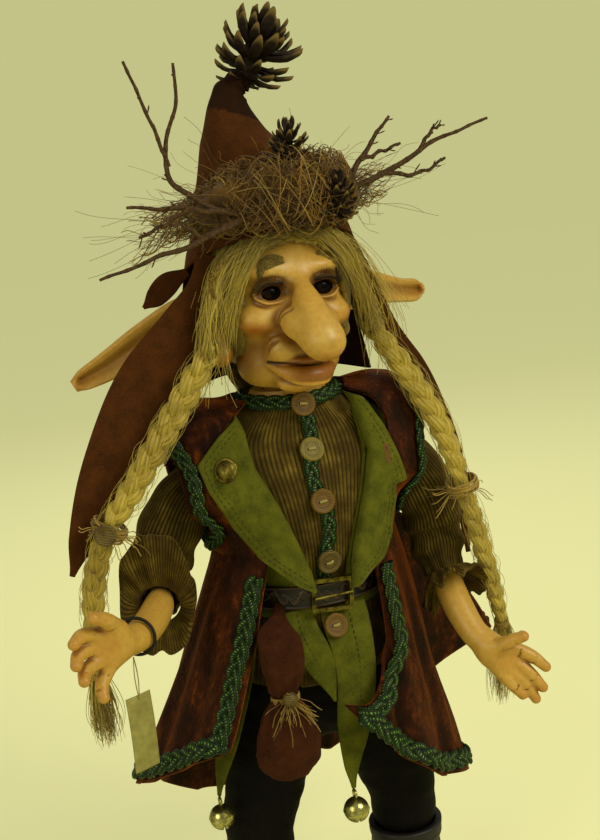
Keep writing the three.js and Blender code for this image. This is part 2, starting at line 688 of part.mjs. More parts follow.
// Breeches: a seat cupped round the shirt, and two legs down to the knees
function thigh(side, grow = 0) {
  return solid(sweep([
    [side * 23, 1, 196, 26, 29], [side * 31, 0, 168, 27, 28], [side * 42, 0, 136, 26, 26],
    [side * 50, 0, 110, 24, 24], [side * KNEE.x, 0, KNEE.z + 6, KNEE_BALL - 1, KNEE_BALL - 1],
  ], vec(1, 0, 0), { sides: 12, steps: 5, grow }));
}
const kneeBall = (side, radius) => jointBall(mirror(KNEE, side), radius, vec(1, 0, 0));
const breeches = cut(
  join(
    layerSolid(SEAT_Z, BREECHES_TOP_Z, FELT_OUT),
    thigh(-1),
    thigh(1),
    kneeBall(-1, KNEE_BALL),
    kneeBall(1, KNEE_BALL),
  ),
  layerSolid(TORSO_LOW_Z - CLOTH_GAP, BREECHES_TOP_Z + 5, SHIRT_OUT + CLOTH_GAP),
);
addPiece("breeches", breeches, LOOKS.velvet_black);

// Button on the front left tail
const BEHIND_BUTTON = 0.8;
const [, lowTailY, lowTailZ] = TAILS.frontLeft[1];
const lowButtonAt = vec(0, lowTailY - TAIL_THICK - BEHIND_BUTTON, lowTailZ);
addPiece("shirt_button_5", turnedDisc(
  lowButtonAt,
  vec(0, -1, 0.3),
  buttonProfile(BUTTON.radius, BUTTON.thick, BUTTON.rim, BUTTON.dish),
), LOOKS.wood);

// Boots: a soft shaft cupped under the knee ball, a rounded foot, and a flat sole
const SOLE = { thick: 4, length: 86, wide: 17, heel: 26 };
const BOOT_TOP_Z = 80;
function footOutline(grow) {
  return Array.from({ length: 14 }, (_, i) => {
    const angle = (i / 14) * Math.PI * 2;
    const along = Math.cos(angle);
    const waistIn = 1 - 0.14 * Math.exp(-(((along - 0.15) / 0.35) ** 2));
    return [
      (SOLE.wide + grow) * Math.sin(angle) * waistIn * (1 - 0.18 * along),
      SOLE.heel - SOLE.length / 2 + (SOLE.length / 2 + grow) * along,
    ];
  });
}
for (const [name, side] of Object.entries(SIDES)) {
  const foot = (z, grow) => footOutline(grow).map(([x, y]) => vec(side * KNEE.x + x, y, z));
  const rounded = ringBody([
    foot(0, 0.5), foot(SOLE.thick, 0.5), foot(13, 0), foot(20, -4), foot(26, -11),
  ]);
  const shaft = sweep([
    [side * KNEE.x, 6, 12, 17, 18], [side * KNEE.x, 5, 34, 18, 19], [side * KNEE.x, 2, 60, 22, 23],
    [side * KNEE.x, 0, BOOT_TOP_Z, 26, 26],
  ], vec(1, 0, 0), { sides: 12, steps: 3 });
  const boot = cut(join(solid(rounded), solid(shaft)), kneeBall(side, cupRadius(KNEE_BALL)));
  addPiece(`${name}_boot`, boot, LOOKS.leather);
}

// Arms: stuffed upper arm, porcelain forearm and hand, puffed sleeve and gathered frill
const ARMS = {
  right: {
    elbow: vec(-93, 0, 280),
    hinge: vec(-0.942, 0.335, 0),
    upper: [[-70, 0, 330, 11.5], [-82, 0, 308, 11], [-88, 0, 294, 9], [-93, 0, 280, 7.5]],
    forearm: [
      [-93, 0, 280, 5], [-96, -9, 277, 5.5], [-101, -22, 273, 9.2], [-112, -42, 270, 9.5],
      [-125, -61, 271, 8.5], [-134, -68, 272, 9],
    ],
    palm: { at: vec(-141, -73, 274), radii: vec(13, 8, 15) },
    fingers: [
      [[-136, -75, 285, 4.6], [-143, -83, 294, 4.2], [-149, -88, 297, 3.2]],
      [[-148, -74, 284, 4.4], [-157, -82, 287, 4.0], [-162, -88, 284, 3.2]],
      [[-150, -75, 276, 4.4], [-160, -84, 277, 4.0], [-162, -90, 273, 3.2]],
      [[-149, -75, 268, 4.3], [-158, -83, 266, 3.9], [-159, -89, 263, 3.1]],
      [[-143, -74, 263, 4.2], [-150, -80, 254, 3.8], [-149, -85, 249, 3.0]],
    ],
    sleeve: [
      [-64, 0, 338, 14, 15], [-75, 0, 326, 16, 19], [-87, 0, 305, 18.5, 20], [-94, 0, 288, 18.5, 19],
      [-97, -8, 276, 17, 17], [-99.5, -17, 273.5, 12.5, 12.5],
    ],
    frill: {
      at: vec(-100, -19.5, 273), centre: vec(-103, -29, 281), half: [23, 40], way: vec(-0.33, -0.93, -0.12),
    },
  },
  left: {
    elbow: vec(90, 0, 268),
    hinge: vec(-1, 0, 0),
    upper: [[70, 0, 330, 11.5], [82, 0, 304, 11], [87, 0, 284, 9], [90, 0, 268, 7.5]],
    forearm: [
      [90, 0, 268, 5], [90, -7, 260, 5.5], [89, -17, 250, 9.2], [88, -32, 237, 9.5],
      [91, -48, 221, 9], [95, -54, 215, 9.5],
    ],
    palm: { at: vec(101, -59, 208), radii: vec(14, 8, 12) },
    fingers: [
      [[99, -64, 214, 4.6], [106, -71, 220, 4.2], [112, -75, 222, 3.2]],
      [[111, -62, 210, 4.4], [121, -67, 204, 4.0], [128, -71, 196, 3.2]],
      [[111, -62, 202, 4.4], [119, -68, 192, 4.0], [125, -71, 183, 3.2]],
      [[107, -61, 197, 4.3], [115, -67, 186, 3.9], [120, -70, 176, 3.1]],
      [[100, -60, 197, 4.2], [107, -65, 187, 3.8], [112, -68, 180, 3.0]],
    ],
    sleeve: [
      [65, 0, 338, 14, 15], [77, 0, 324, 16, 19], [87.5, 0, 300, 18.5, 20], [91, 0, 280, 18, 19],
      [90, -7, 265, 17, 17], [89.5, -15, 251.5, 12.5, 12.5],
    ],
    frill: {
      at: vec(89.5, -18, 249.5), centre: vec(90, -28, 240), half: [21, 28], way: vec(-0.02, -0.72, -0.69),
    },
  },
};
const SLEEVE_CLOTH = 1.6;
const FRILL = { waves: 7, depth: 2.6, cloth: 1.6 };
const GATHER = 12.5;
const innerWalls = layerSolid(WAISTCOAT_LOW_Z, SHIRT_TOP_Z, SHIRT_OUT + CLOTH_GAP);

// Ring of cloth flaring from the wrist gather to an open, waving rim
function frillBody({ at, centre, half, way }) {
  const along = way.clone().normalize();
  const across = vec(1, 0, 0).addScaledVector(along, -along.x).normalize();
  const up = new THREE.Vector3().crossVectors(across, along);
  const columns = FRILL.waves * 3;
  const grid = (offset) => [0, 0.35, 1].map((f) => Array.from({ length: columns }, (_, i) => {
    const angle = (i / columns) * Math.PI * 2;
    const ripple = FRILL.depth * f * Math.sin(angle * FRILL.waves);
    const reach = half.map((size) => lerp(GATHER, size, f));
    return at.clone().lerp(centre, f ** 1.5)
      .addScaledVector(along, ripple + offset)
      .addScaledVector(across, Math.cos(angle) * reach[0])
      .addScaledVector(up, Math.sin(angle) * reach[1]);
  }));
  return solid(sheetBody(grid(FRILL.cloth), grid(0), true));
}
for (const [name, side] of Object.entries(SIDES)) {
  const arm = ARMS[name];
  const across = vec(0, 1, 0);
  const upperCore = join(
    solid(sweep(arm.upper, across, { sides: 8, steps: 3 })),
    shoulderBall(side, SHOULDER_BALL),
    jointBall(arm.elbow, ELBOW_BALL, arm.hinge),
  );
  addPiece(`${name}_upper_arm`, upperCore, LOOKS.stuffing);
  const palm = ovalSolid(arm.palm.at, arm.palm.radii, 8);
  const fingers = arm.fingers.map((finger) => join(
    solid(sweep(finger, vec(0, 0.3, 1), { sides: 5, steps: 2 })),
    ballSolid(vec(...finger.at(-1)), finger.at(-1)[3], 5),
  ));
  const forearm = solid(sweep(arm.forearm, vec(0, 0, 1), { sides: 8, steps: 5 }));
  const hand = join(forearm, palm, ...fingers);
  addPiece(`${name}_forearm_hand`, cut(hand, jointBall(arm.elbow, cupRadius(ELBOW_BALL), arm.hinge)), LOOKS.skin);
  const pleat = (angle, f) => 1.2 * Math.cos(angle * 7) * Math.sin(Math.PI * f);
  const sleeve = solid(sweep(arm.sleeve, across, { sides: 14, steps: 4, wave: pleat }));
  const hollow = solid(sweep(arm.sleeve, across, {
    sides: 14, steps: 4, wave: (angle, f) => pleat(angle, f) - SLEEVE_CLOTH,
  }));
  const openEnds = arm.sleeve.map((station) => vec(...station));
  const lastWay = new THREE.Vector3().subVectors(openEnds.at(-1), openEnds.at(-2)).normalize();
  const mouth = placed(new THREE.CylinderGeometry(10.9, 10.9, 12, 10).rotateX(Math.PI / 2), openEnds.at(-1), lastWay);
  const shell = cut(sleeve, hollow, solid(mouth), innerWalls, shoulderBall(side, SHOULDER_BALL + 2));
  addPiece(`${name}_sleeve`, shell, LOOKS.corduroy);
  addPiece(`${name}_cuff_frill`, frillBody(arm.frill), LOOKS.corduroy);
}

// Braid round the armholes of the coat, clear of the sleeves that pass through
function armholeTrim(name) {
  const side = SIDES[name];
  const rows = COAT_ROWS.filter((depth) => depth < 0.1);
  const angles = (f) => lerp(side * 35, side * 145, f);
  const skin = coatPanel(HEM, 9, angles, ON_COAT + CLOTH_GAP * 2, ON_COAT + BRAID_THICK + CLOTH_GAP, rows);
  const ring = armholeSlab(side, COAT_ARMHOLE.deep + BRAID_WIDE * 0.6, COAT_ARMHOLE.high + BRAID_WIDE * 0.6);
  return cut(
    common(skin, ring),
    armholeSlab(side, COAT_ARMHOLE.deep, COAT_ARMHOLE.high),
    lapelSlab(name, 1),
    solid(sweep(ARMS[name].sleeve, vec(0, 1, 0), { sides: 14, steps: 4, grow: SLEEVE_CLOTH + CLOTH_GAP })),
  );
}
for (const name of ["right", "left"]) addPiece(`${name}_armhole_braid`, armholeTrim(name), LOOKS.braid);

// Head: one porcelain casting, hollow, with an open crown, eye openings and long ears
const HEAD_ABOVE_NECK = vec(0, 1, 74);
const HEAD = NECK.clone().add(HEAD_ABOVE_NECK);
const SKULL = vec(40, 45, 50);
const CROWN_Z = HEAD.z + 36;
const EYE = { x: 17, y: HEAD.y - 31, z: HEAD.z + 5, radius: 8 };
const EARS = {
  right: [
    [-34, 0, 440, 12, 5], [-56, 1, 439, 13, 5.5], [-80, 6, 430, 10.5, 5], [-105, 11, 416, 9, 4.5],
    [-121, 14, 409, 6.5, 5], [-127, 15, 406, 4, 3.5],
  ],
  left: [
    [34, 0, 440, 12, 5], [56, 8, 441, 13, 5.5], [77, 22, 437, 10, 5], [97, 35, 432, 8, 5],
    [110, 41, 430, 7.5, 5.5], [116, 43, 430, 4, 3.5],
  ],
};
const FACE_OVALS = [
  [[-2, -18, 410], [26, 24, 20]],
  [[-22, -29, 428], [14, 14, 14]],
  [[20, -29, 427], [14, 14, 14]],
  [[-15, -35, 465], [15, 9, 7]],
  [[15, -35, 465], [15, 9, 7]],
  [[-2, -36, 411], [21, 11, 9]],
  [[-3, -35, 398], [13, 9, 7.5]],
  [[-6, -62, 419], [6, 8, 6]],
  [[11, -62, 419], [6, 8, 6]],
];
const NOSE = [
  [0, -40, 458, 5, 6], [0, -50, 449, 6, 7], [1, -62, 436, 8, 8], [3, -71, 423, 10.5, 9.5], [3, -72, 415, 7, 6],
];
const LOWER_LIP = [
  [-23, -38, 411, 2, 2.5], [-12, -47, 406, 2.6, 4], [-2, -50, 404, 3, 4.6], [9, -46, 404, 2.6, 4],
  [17, -38, 407, 2, 2.5],
];
const UPPER_LIP = [
  [-24, -37, 413, 1.6], [-12, -47, 412.5, 2.4], [-2, -49, 412, 2.6], [9, -46, 411, 2.4], [18, -37, 410, 1.6],
];
const NECK_TOP_Z = 404;
const ears = (grow) => Object.values(EARS).map((stations) => (
  solid(sweep(stations, vec(0, 0, 1), { sides: 7, steps: 5, grow }))
));
function headSolid(grow) {
  const swollen = (radii) => vec(...radii.map((radius) => radius + grow));
  return join(
    ovalSolid(HEAD, vec(SKULL.x + grow, SKULL.y + grow, SKULL.z + grow), 15),
    ...FACE_OVALS.map(([at, radii]) => ovalSolid(vec(...at), swollen(radii), 7)),
    ...[NOSE, LOWER_LIP, UPPER_LIP].map((stations) => (
      solid(sweep(stations, vec(0, 1, 0.4), { sides: 7, steps: 4, grow }))
    )),
    solid(sweep([[NECK.x, NECK.y, NECK.z, 13.5 + grow], [NECK.x, NECK.y, NECK_TOP_Z, 15 + grow]],
      vec(1, 0, 0), { sides: 12, steps: 1 })),
    ...ears(grow),
  );
}
const highBox = (z) => boxSolid(vec(-90, -90, z), vec(90, 90, z + 90));
const eyeAt = (side) => vec(side * EYE.x, EYE.y, EYE.z);
addPiece("head", cut(
  join(headSolid(0), ballSolid(NECK, NECK_BALL, 14)),
  ovalSolid(HEAD, vec(SKULL.x - PORCELAIN, SKULL.y - PORCELAIN, SKULL.z - PORCELAIN), 10),
  highBox(CROWN_Z),
  ...[-1, 1].flatMap((side) => [
    ballSolid(eyeAt(side), EYE.radius + GAP, 10),
    ovalSolid(vec(side * EYE.x, EYE.y - 9, EYE.z), vec(8, 7, 4.6), 8),
  ]),
), LOOKS.skin);
for (const [name, side] of Object.entries(SIDES)) {
  addPiece(`${name}_eye`, ballSolid(eyeAt(side), EYE.radius, 10), LOOKS.eye);
}
// Shape of the pointed felt hat, open below, its rim higher over the forehead than at the nape:
// [x, y, z, half width, half depth] from the rim to the folded tip
const HAT = [
  [0, 4, 438, 56, 60], [0, 3, 466, 53, 56], [-2, 2, 482, 49, 52], [-6, 1, 500, 40, 43], [-11, 0, 520, 30.5, 33],
  [-16, 0, 541, 20, 21], [-16.5, 0, 557, 13, 13.5], [-13, 0, 567, 9, 9], [-7, -1, 571.5, 6.5, 6.5], [-2, -2, 570, 4, 4],
];
const HAT_BY_HEIGHT = HAT.map((station) => [station[2], ...station]);
const HAT_FOLD_Z = 562;
const RIM_LINE = { front: [-90, 501], back: [90, 439] };
const belowRim = (drop) => sideSlab(
  [[-90, 400], [90, 400], [RIM_LINE.back[0], RIM_LINE.back[1] - drop], [RIM_LINE.front[0], RIM_LINE.front[1] - drop]],
  -90,
  90,
);
const hatSweep = (grow) => solid(sweep(HAT, vec(1, 0, 0), { sides: 16, steps: 9, grow }));

// Mohair wig round the face with a lock at each temple, and the two long plaits
const WIG_THICK = 7;
const LOCKS = {
  right: [[-34, -26, 468, 8, 7], [-42, -33, 452, 8, 7], [-48, -38, 437, 8, 6.5], [-53, -40, 428, 7, 6.5]],
  left: [[34, -26, 468, 8, 7], [42, -29, 452, 8, 7], [47, -24, 438, 8, 6.5], [50, -19, 428, 7, 6.5]],
};
const PLAITS = {
  right: [
    [-54, -41, 425, 6.5], [-72, -42, 402, 8], [-91, -43, 378, 8], [-112, -44, 351, 7.5], [-128, -42, 330, 6.5],
    [-138, -32, 300, 7], [-141, -24, 268, 6.5], [-142, -16, 237, 4.5], [-141, -12, 208, 6], [-140, -11, 188, 2.5],
  ],
  left: [
    [51, -18, 424, 6.5], [70, -31, 388, 7.5], [86, -37, 352, 7.5], [97, -37, 314, 6], [108, -32, 276, 6.5],
    [119, -24, 238, 6], [128, -14, 208, 4.5], [130, -8, 178, 6], [127, -5, 147, 2.5],
  ],
};
const HAIR_TOP_Z = 476;
const HAIR_LOW_Z = 414;
const hairInHat = common(
  hatSweep(-FELT - CLOTH_GAP),
  sideSlab([[-8, HAIR_TOP_Z], [-8, HAIR_TOP_Z - 2], RIM_LINE.back, [90, HAIR_TOP_Z]], -90, 90),
);
const FACE_WINDOW = [
  [-26, 380], [-33, 412], [-35, 440], [-32, 462], [-20, 476], [0, 481], [20, 476], [32, 462], [35, 440], [33, 412], [26, 380],
];
const headKeepOut = headSolid(CLOTH_GAP);
const wigCap = cut(
  join(ovalSolid(HEAD, vec(SKULL.x + WIG_THICK, SKULL.y + WIG_THICK, SKULL.z + WIG_THICK), 14), hairInHat),
  frontSlab(FACE_WINDOW, -90, -6),
  boxSolid(vec(-80, -80, NECK.z), vec(80, 80, HAIR_LOW_Z)),
);
const locks = Object.values(LOCKS).map((stations) => solid(sweep(stations, vec(1, 0, 0), { sides: 7, steps: 3 })));
addPiece("wig", cut(join(wigCap, ...locks), headKeepOut), LOOKS.hair);
for (const [name, stations] of Object.entries(PLAITS)) {
  const plait = solid(sweep(stations, vec(1, 0, 0), { sides: 8, steps: 14 }));
  const root = solid(sweep(LOCKS[name], vec(1, 0, 0), { sides: 7, steps: 3, grow: GAP }));
  addPiece(`${name}_plait`, cut(plait, root, headKeepOut), LOOKS.hair);
}

// Felt hat with a small leaf behind its right side
const HAT_LEAF = [[-50, 11, 465, 2.5], [-62, 15, 459, 7], [-71, 18, 451, 6], [-78, 20, 446, 1.2]];
const leafBody = solid(sweep(HAT_LEAF.map((station) => [...station, FELT / 2]), vec(0, 0, 1), { sides: 8, steps: 5 }));
addPiece("hat", cut(
  join(hatSweep(0), leafBody),
  cut(hatSweep(-FELT), highBox(HAT_FOLD_Z)),
  belowRim(0),
), LOOKS.felt_brown);
const hatKeepOut = cut(hatSweep(CLOTH_GAP), belowRim(CLOTH_GAP));

// Long tapered ear flaps, nape flap and small leaf of the hat
const FLAP_THICK = 1.1;
const FLAPS = {
  right: [
    [-45, -19, 476, 6], [-51, -22, 457, 9], [-64, -25, 440, 13], [-88, -29, 408, 21], [-107, -31, 381, 20], [-126, -31, 350, 16],
    [-142, -29, 322, 8], [-150, -28, 304, 1.6],
  ],
  left: [
    [51, 6, 472, 6], [60, 8, 448, 8], [74, 10, 412, 9], [91, 11, 382, 10], [105, 11, 352, 8], [114, 11, 322, 7], [119, 12, 290, 5],
    [120, 12, 252, 1.6],
  ],
};
const earKeepOut = ears(CLOTH_GAP);
for (const [name, stations] of Object.entries(FLAPS)) {
  const flat = stations.map((station) => [...station, FLAP_THICK]);
  const flap = solid(sweep(flat, vec(1, 0, 0), { sides: 8, steps: 11 }));
  addPiece(`hat_${name}_flap`, cut(flap, hatKeepOut, ...earKeepOut), LOOKS.felt_brown);
}
const NAPE = { halfAngle: 74, lowRadius: 53, cornerOut: 14, lowZ: 393, cornerDown: 5 };
const rimZ = (y) => (
  lerp(RIM_LINE.front[1], RIM_LINE.back[1], (y - RIM_LINE.front[0]) / (RIM_LINE.back[0] - RIM_LINE.front[0]))
);
function napePoint(angle, f, offset) {
  const corner = Math.abs(angle / NAPE.halfAngle) ** 3;
  const s = Math.sin(rad(angle));
  const c = Math.cos(rad(angle));
  const [, middle, , wide, deep] = between(HAT_BY_HEIGHT, rimZ(HAT[0][4] * c)).slice(1);
  const low = NAPE.lowRadius + NAPE.cornerOut * corner;
  const topY = middle + (deep - FELT) * c;
  return vec(
    lerp(wide - FELT, low, f) * s + offset * s,
    lerp(topY, low * c, f) + offset * c,
    lerp(rimZ(topY) - 2 * CLOTH_GAP, NAPE.lowZ - NAPE.cornerDown * corner, f),
  );
}
const napeGrid = (offset) => [0, 0.35, 0.7, 1].map((f) => (
  Array.from({ length: 13 }, (_, i) => napePoint(lerp(-NAPE.halfAngle, NAPE.halfAngle, i / 12), f, offset))
));
addPiece(
  "hat_nape_flap",
  cut(solid(sheetBody(napeGrid(FELT), napeGrid(0))), hatKeepOut, ...earKeepOut, headKeepOut),
  LOOKS.felt_dark,
);
// Pine cones: a core with scales set round it by the golden angle, wider in the middle
const GOLDEN_ANGLE = Math.PI * (3 - Math.sqrt(5));
function pineCone({ at, way, length, radius, scales }, grow = 0) {
  const core = placed(new THREE.CylinderGeometry(radius * 0.28, radius * 0.42, length, 6)
    .rotateX(Math.PI / 2).translate(0, 0, length / 2), at, way);
  const scaleBodies = Array.from({ length: scales }, (_, i) => {
    const f = (i + 0.5) / scales;
    const reach = radius * (0.45 + 0.55 * Math.sin(Math.PI * (0.12 + 0.8 * f)));
    const scale = new THREE.OctahedronGeometry(1, 0);
    scale.scale(reach / 2 + grow, radius * 0.2 + grow, radius * 0.075 + grow).translate(reach / 2, 0, 0);
    scale.rotateY(-rad(lerp(-12, 42, f))).rotateZ(i * GOLDEN_ANGLE).translate(0, 0, length * lerp(0.04, 0.93, f));
    return solid(placed(scale, at, way));
  });
  return join(solid(core), ...scaleBodies);
}
// Path of the nest round the front of the hat: [x, y, z, half height, half depth]
const NEST = [
  [-47, -14, 500, 9, 7], [-38, -34, 504, 14, 11], [-16, -48, 507, 17, 13], [10, -51, 508, 18, 13],
  [32, -42, 506, 16, 12], [46, -22, 500, 9, 7],
];
// The tip cone stands on the end of the hat, the other two in the nest
const beside = ([x, y, z], dx, dy, dz) => vec(x + dx, y + dy, z + dz);
const CONES = {
  hat_tip_cone: {
    at: beside(HAT.at(-1), -1.6, 0, 6.2), way: vec(0.42, 0, 0.9), length: 30, radius: 24, scales: 18,
  },
  front_cone: {
    at: beside(NEST[3], -9, 11, 8), way: vec(0.05, -0.35, 0.9), length: 24, radius: 13, scales: 10,
  },
  side_cone: {
    at: beside(NEST[4], -8, -10, -16), way: vec(-0.1, -0.5, 0.85), length: 22, radius: 13, scales: 10,
  },
};
for (const [name, cone] of Object.entries(CONES)) {
  addPiece(name, cut(pineCone(cone), hatSweep(CLOTH_GAP * 2), headKeepOut), LOOKS.cone);
}

// Forked twigs fanning out of the nest on both sides: each branch is [x, y, z, radius] stations
const TWIGS = {
  right_twigs: [
    [[-26, -50, 497, 2.2], [-55, -54, 487, 1.7], [-85, -58, 480, 1.2], [-116, -60, 473, 0.8]],
    [[-55, -54, 487, 1.4], [-66, -57, 496, 1.1], [-74, -58, 497, 0.8]],
    [[-27, -50, 497, 1.9], [-44, -50, 501, 1.8], [-60, -49, 504, 1.5], [-80, -52, 507, 1.1], [-95, -53, 509, 0.8]],
    [[-60, -49, 504, 1.3], [-76, -51, 497, 1.1], [-90, -51, 492, 0.8]],
    [[-40, -50, 500, 1.8], [-52, -46, 507, 1.7], [-66, -42, 520, 1.5], [-66, -40, 540, 1.2], [-57, -38, 562, 1.0],
      [-56, -38, 583, 0.8]],
    [[-66, -41, 528, 1.2], [-72, -40, 550, 1.0], [-84, -40, 586, 0.8]],
  ],
  left_twigs: [
    [[32, -48, 504, 2.2], [58, -50, 511, 1.7], [80, -52, 522, 1.4], [102, -53, 530, 1.0], [124, -54, 536, 0.8]],
    [[58, -50, 511, 1.4], [80, -51, 509, 1.1], [96, -52, 516, 0.8]],
    [[80, -52, 522, 1.2], [88, -53, 532, 1.0], [94, -54, 535, 0.8]],
    [[33, -48, 504, 1.8], [42, -46, 516, 1.6], [56, -44, 532, 1.2], [66, -45, 543, 0.8]],
    [[45, -46, 520, 1.3], [58, -44, 523, 1.1], [72, -44, 527, 0.8]],
  ],
};
const branchBody = (stations, grow) => solid(sweep(stations, vec(0, 1, 0), { sides: 4, steps: 4, grow }));
const twigBody = (branches, grow = 0) => join(...branches.map((stations) => branchBody(stations, grow)));
const coneKeepOut = join(...Object.values(CONES).map((cone) => pineCone(cone, 0.7)));
for (const [name, branches] of Object.entries(TWIGS)) {
  addPiece(name, cut(twigBody(branches), hatKeepOut, coneKeepOut), LOOKS.twig);
}

// Nest of moss and raffia
const lumps = (angle, f) => 1.4 * Math.sin(angle * 3 + f * 17) + 1.1 * Math.sin(angle * 2 - f * 26);
const twigKeepOut = join(...Object.values(TWIGS).map((branches) => twigBody(branches, 0.8)));
addPiece("nest", cut(
  solid(sweep(NEST, vec(0, 0, 1), { sides: 8, steps: 9, wave: lumps })),
  hatKeepOut,
  coneKeepOut,
  twigKeepOut,
  headKeepOut,
  ovalSolid(HEAD, vec(SKULL.x + WIG_THICK + GAP, SKULL.y + WIG_THICK + GAP, SKULL.z + WIG_THICK + GAP), 16),
), LOOKS.fibre);

// Raffia bindings that tie each ear flap to its plait, and the small button on the right one
const TIES = { right: vec(-128, -42, 330), left: vec(97, -36, 314) };
const TIE = { inner: 7.6, outer: 11, high: 9 };
const plaitPath = (name) => (
  new THREE.CatmullRomCurve3(PLAITS[name].map((station) => vec(...station)), false, "centripetal")
);
function tiePlace(name) {
  const path = plaitPath(name);
  const away = (t) => path.getPoint(t).distanceTo(TIES[name]);
  return Array.from({ length: 101 }, (_, i) => i / 100).reduce((best, t) => (away(t) < away(best) ? t : best), 0);
}
const tieCentre = (name) => plaitPath(name).getPoint(tiePlace(name));
function tieBody(name) {
  const profile = [
    [TIE.inner, -TIE.high / 2], [TIE.outer - 1, -TIE.high / 2], [TIE.outer, 0], [TIE.outer - 1, TIE.high / 2],
    [TIE.inner, TIE.high / 2], [TIE.inner, -TIE.high / 2],
  ].map(([r, z]) => new THREE.Vector2(r, z));
  const ring = new THREE.LatheGeometry(profile, 10).rotateX(Math.PI / 2);
  return solid(placed(ring, tieCentre(name), plaitPath(name).getTangent(tiePlace(name))));
}
for (const name of ["right", "left"]) addPiece(`${name}_flap_tie`, tieBody(name), LOOKS.fibre);
const SMALL_BUTTON = 6.5;
const FLAP_BUTTON_WAY = vec(-0.29, -0.95, 0.1).normalize();
addPiece("flap_button", turnedDisc(
  tieCentre("right").addScaledVector(FLAP_BUTTON_WAY, TIE.outer + GAP),
  FLAP_BUTTON_WAY,
  buttonProfile(SMALL_BUTTON, BUTTON.thick - 0.6, BUTTON.rim, BUTTON.dish),
), LOOKS.wood);

// Brass dome on the right lapel
const DOME = [[0, 0], [7.6, 0], [7.2, 1.4], [6, 1.3], [4, 2.6], [0, 3.2]];
addPiece("lapel_button", turnedDisc(
  vec(-55.15, -42.9, 352.6),
  vec(-0.62, -0.72, 0.3),
  DOME.map(([r, z]) => new THREE.Vector2(r, z)),
  12,
), LOOKS.brass);

// Suede pouch gathered under its flap, slung from the belt on a strap, with a bead on the tie
const POUCH = [
  [-29, -28, 265, 3, 1.2], [-34, -44, 259, 4, 1.4], [-39, -55, 252, 12, 3], [-40, -61, 246, 13.5, 6],
  [-40, -62, 232, 13, 7.5], [-41, -62, 222, 10, 6.5],
  [-41, -62.5, 215, 7.5, 5.5], [-42, -64, 206, 14, 8.5], [-43, -65, 190, 19.5, 11], [-43, -65, 176, 19, 10.5],
  [-43, -65, 168, 13, 8], [-43, -65, 165, 7, 5],
];
addPiece("pouch", cut(
  solid(sweep(POUCH, vec(1, 0, 0), { sides: 12, steps: 14 })),
  layerSolid(BELT_LOW_Z - 2, BELT_HIGH_Z + 2, BELT_OUT + CLOTH_GAP),
), LOOKS.suede);
const BEAD = [[0, 0], [3, 0.4], [4.4, 2.4], [4.4, 4.6], [2.8, 6.8], [0, 7.6]];
addPiece("pouch_bead", turnedDisc(
  vec(-41, -69.2, 217),
  vec(0, -1, 0.1),
  BEAD.map(([r, z]) => new THREE.Vector2(r, z)),
  10,
), LOOKS.wood);

// Jingle bells on the tips of two tails: a slit shell under a ring
const BELL = { radius: 8, wall: 1.1, slit: 1.6, ring: 2.6, wire: 0.8, hang: 0.5 };
const BELLS = { right_bell: TAILS.sideRight.at(-1), left_bell: TAILS.frontLeft.at(-1) };
for (const [name, [x, y, z]] of Object.entries(BELLS)) {
  const ringAt = vec(x, y, z - BELL.hang - BELL.ring - BELL.wire);
  const centre = vec(x, y, ringAt.z - BELL.ring - BELL.radius);
  const ring = solid(new THREE.TorusGeometry(BELL.ring, BELL.wire, 5, 9).rotateY(Math.PI / 2)
    .rotateX(Math.PI / 2).translate(ringAt.x, ringAt.y, ringAt.z));
  const slit = boxSolid(
    vec(centre.x - BELL.slit / 2, centre.y - 10, centre.z - 10),
    vec(centre.x + BELL.slit / 2, centre.y + 10, centre.z - 2.5),
  );
  const shell = cut(ballSolid(centre, BELL.radius, 10), ballSolid(centre, BELL.radius - BELL.wall, 6), slit);
  addPiece(name, join(shell, ring), LOOKS.brass);
}

// Elastic bracelet on the right wrist, with a bare card tag hanging from it on a thread
const WRIST = { at: vec(-122.5, -58, 270.6), way: vec(-0.55, -0.83, 0.05), radius: 10.8, wire: 1 };
addPiece("bracelet", solid(placed(
  new THREE.TorusGeometry(WRIST.radius, WRIST.wire, 5, 14),
  WRIST.at,
  WRIST.way,
)), LOOKS.cord);
const TAG = { at: vec(-126, -57, 212), wide: 17, high: 46, thick: 0.8, turn: 24, thread: 0.5 };
const tagCard = new THREE.BoxGeometry(TAG.wide, TAG.thick, TAG.high)
  .rotateZ(rad(TAG.turn)).translate(TAG.at.x, TAG.at.y, TAG.at.z);
const threadLow = TAG.at.z + TAG.high / 2 - 1;
const threadHigh = WRIST.at.z - WRIST.radius - WRIST.wire - GAP / 2;
const tagThread = new THREE.CylinderGeometry(TAG.thread, TAG.thread, threadHigh - threadLow, 6)
  .rotateX(Math.PI / 2).translate(TAG.at.x, TAG.at.y, (threadLow + threadHigh) / 2);
addPiece("tag", join(solid(tagCard), solid(tagThread)), LOOKS.card);

export default doll;
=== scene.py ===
"""Porcelain elf doll: the dressed look over the packed frame, laid out as a Blender add-on."""
import math

import bmesh
import bpy
import numpy as np
from mathutils import Matrix, Vector


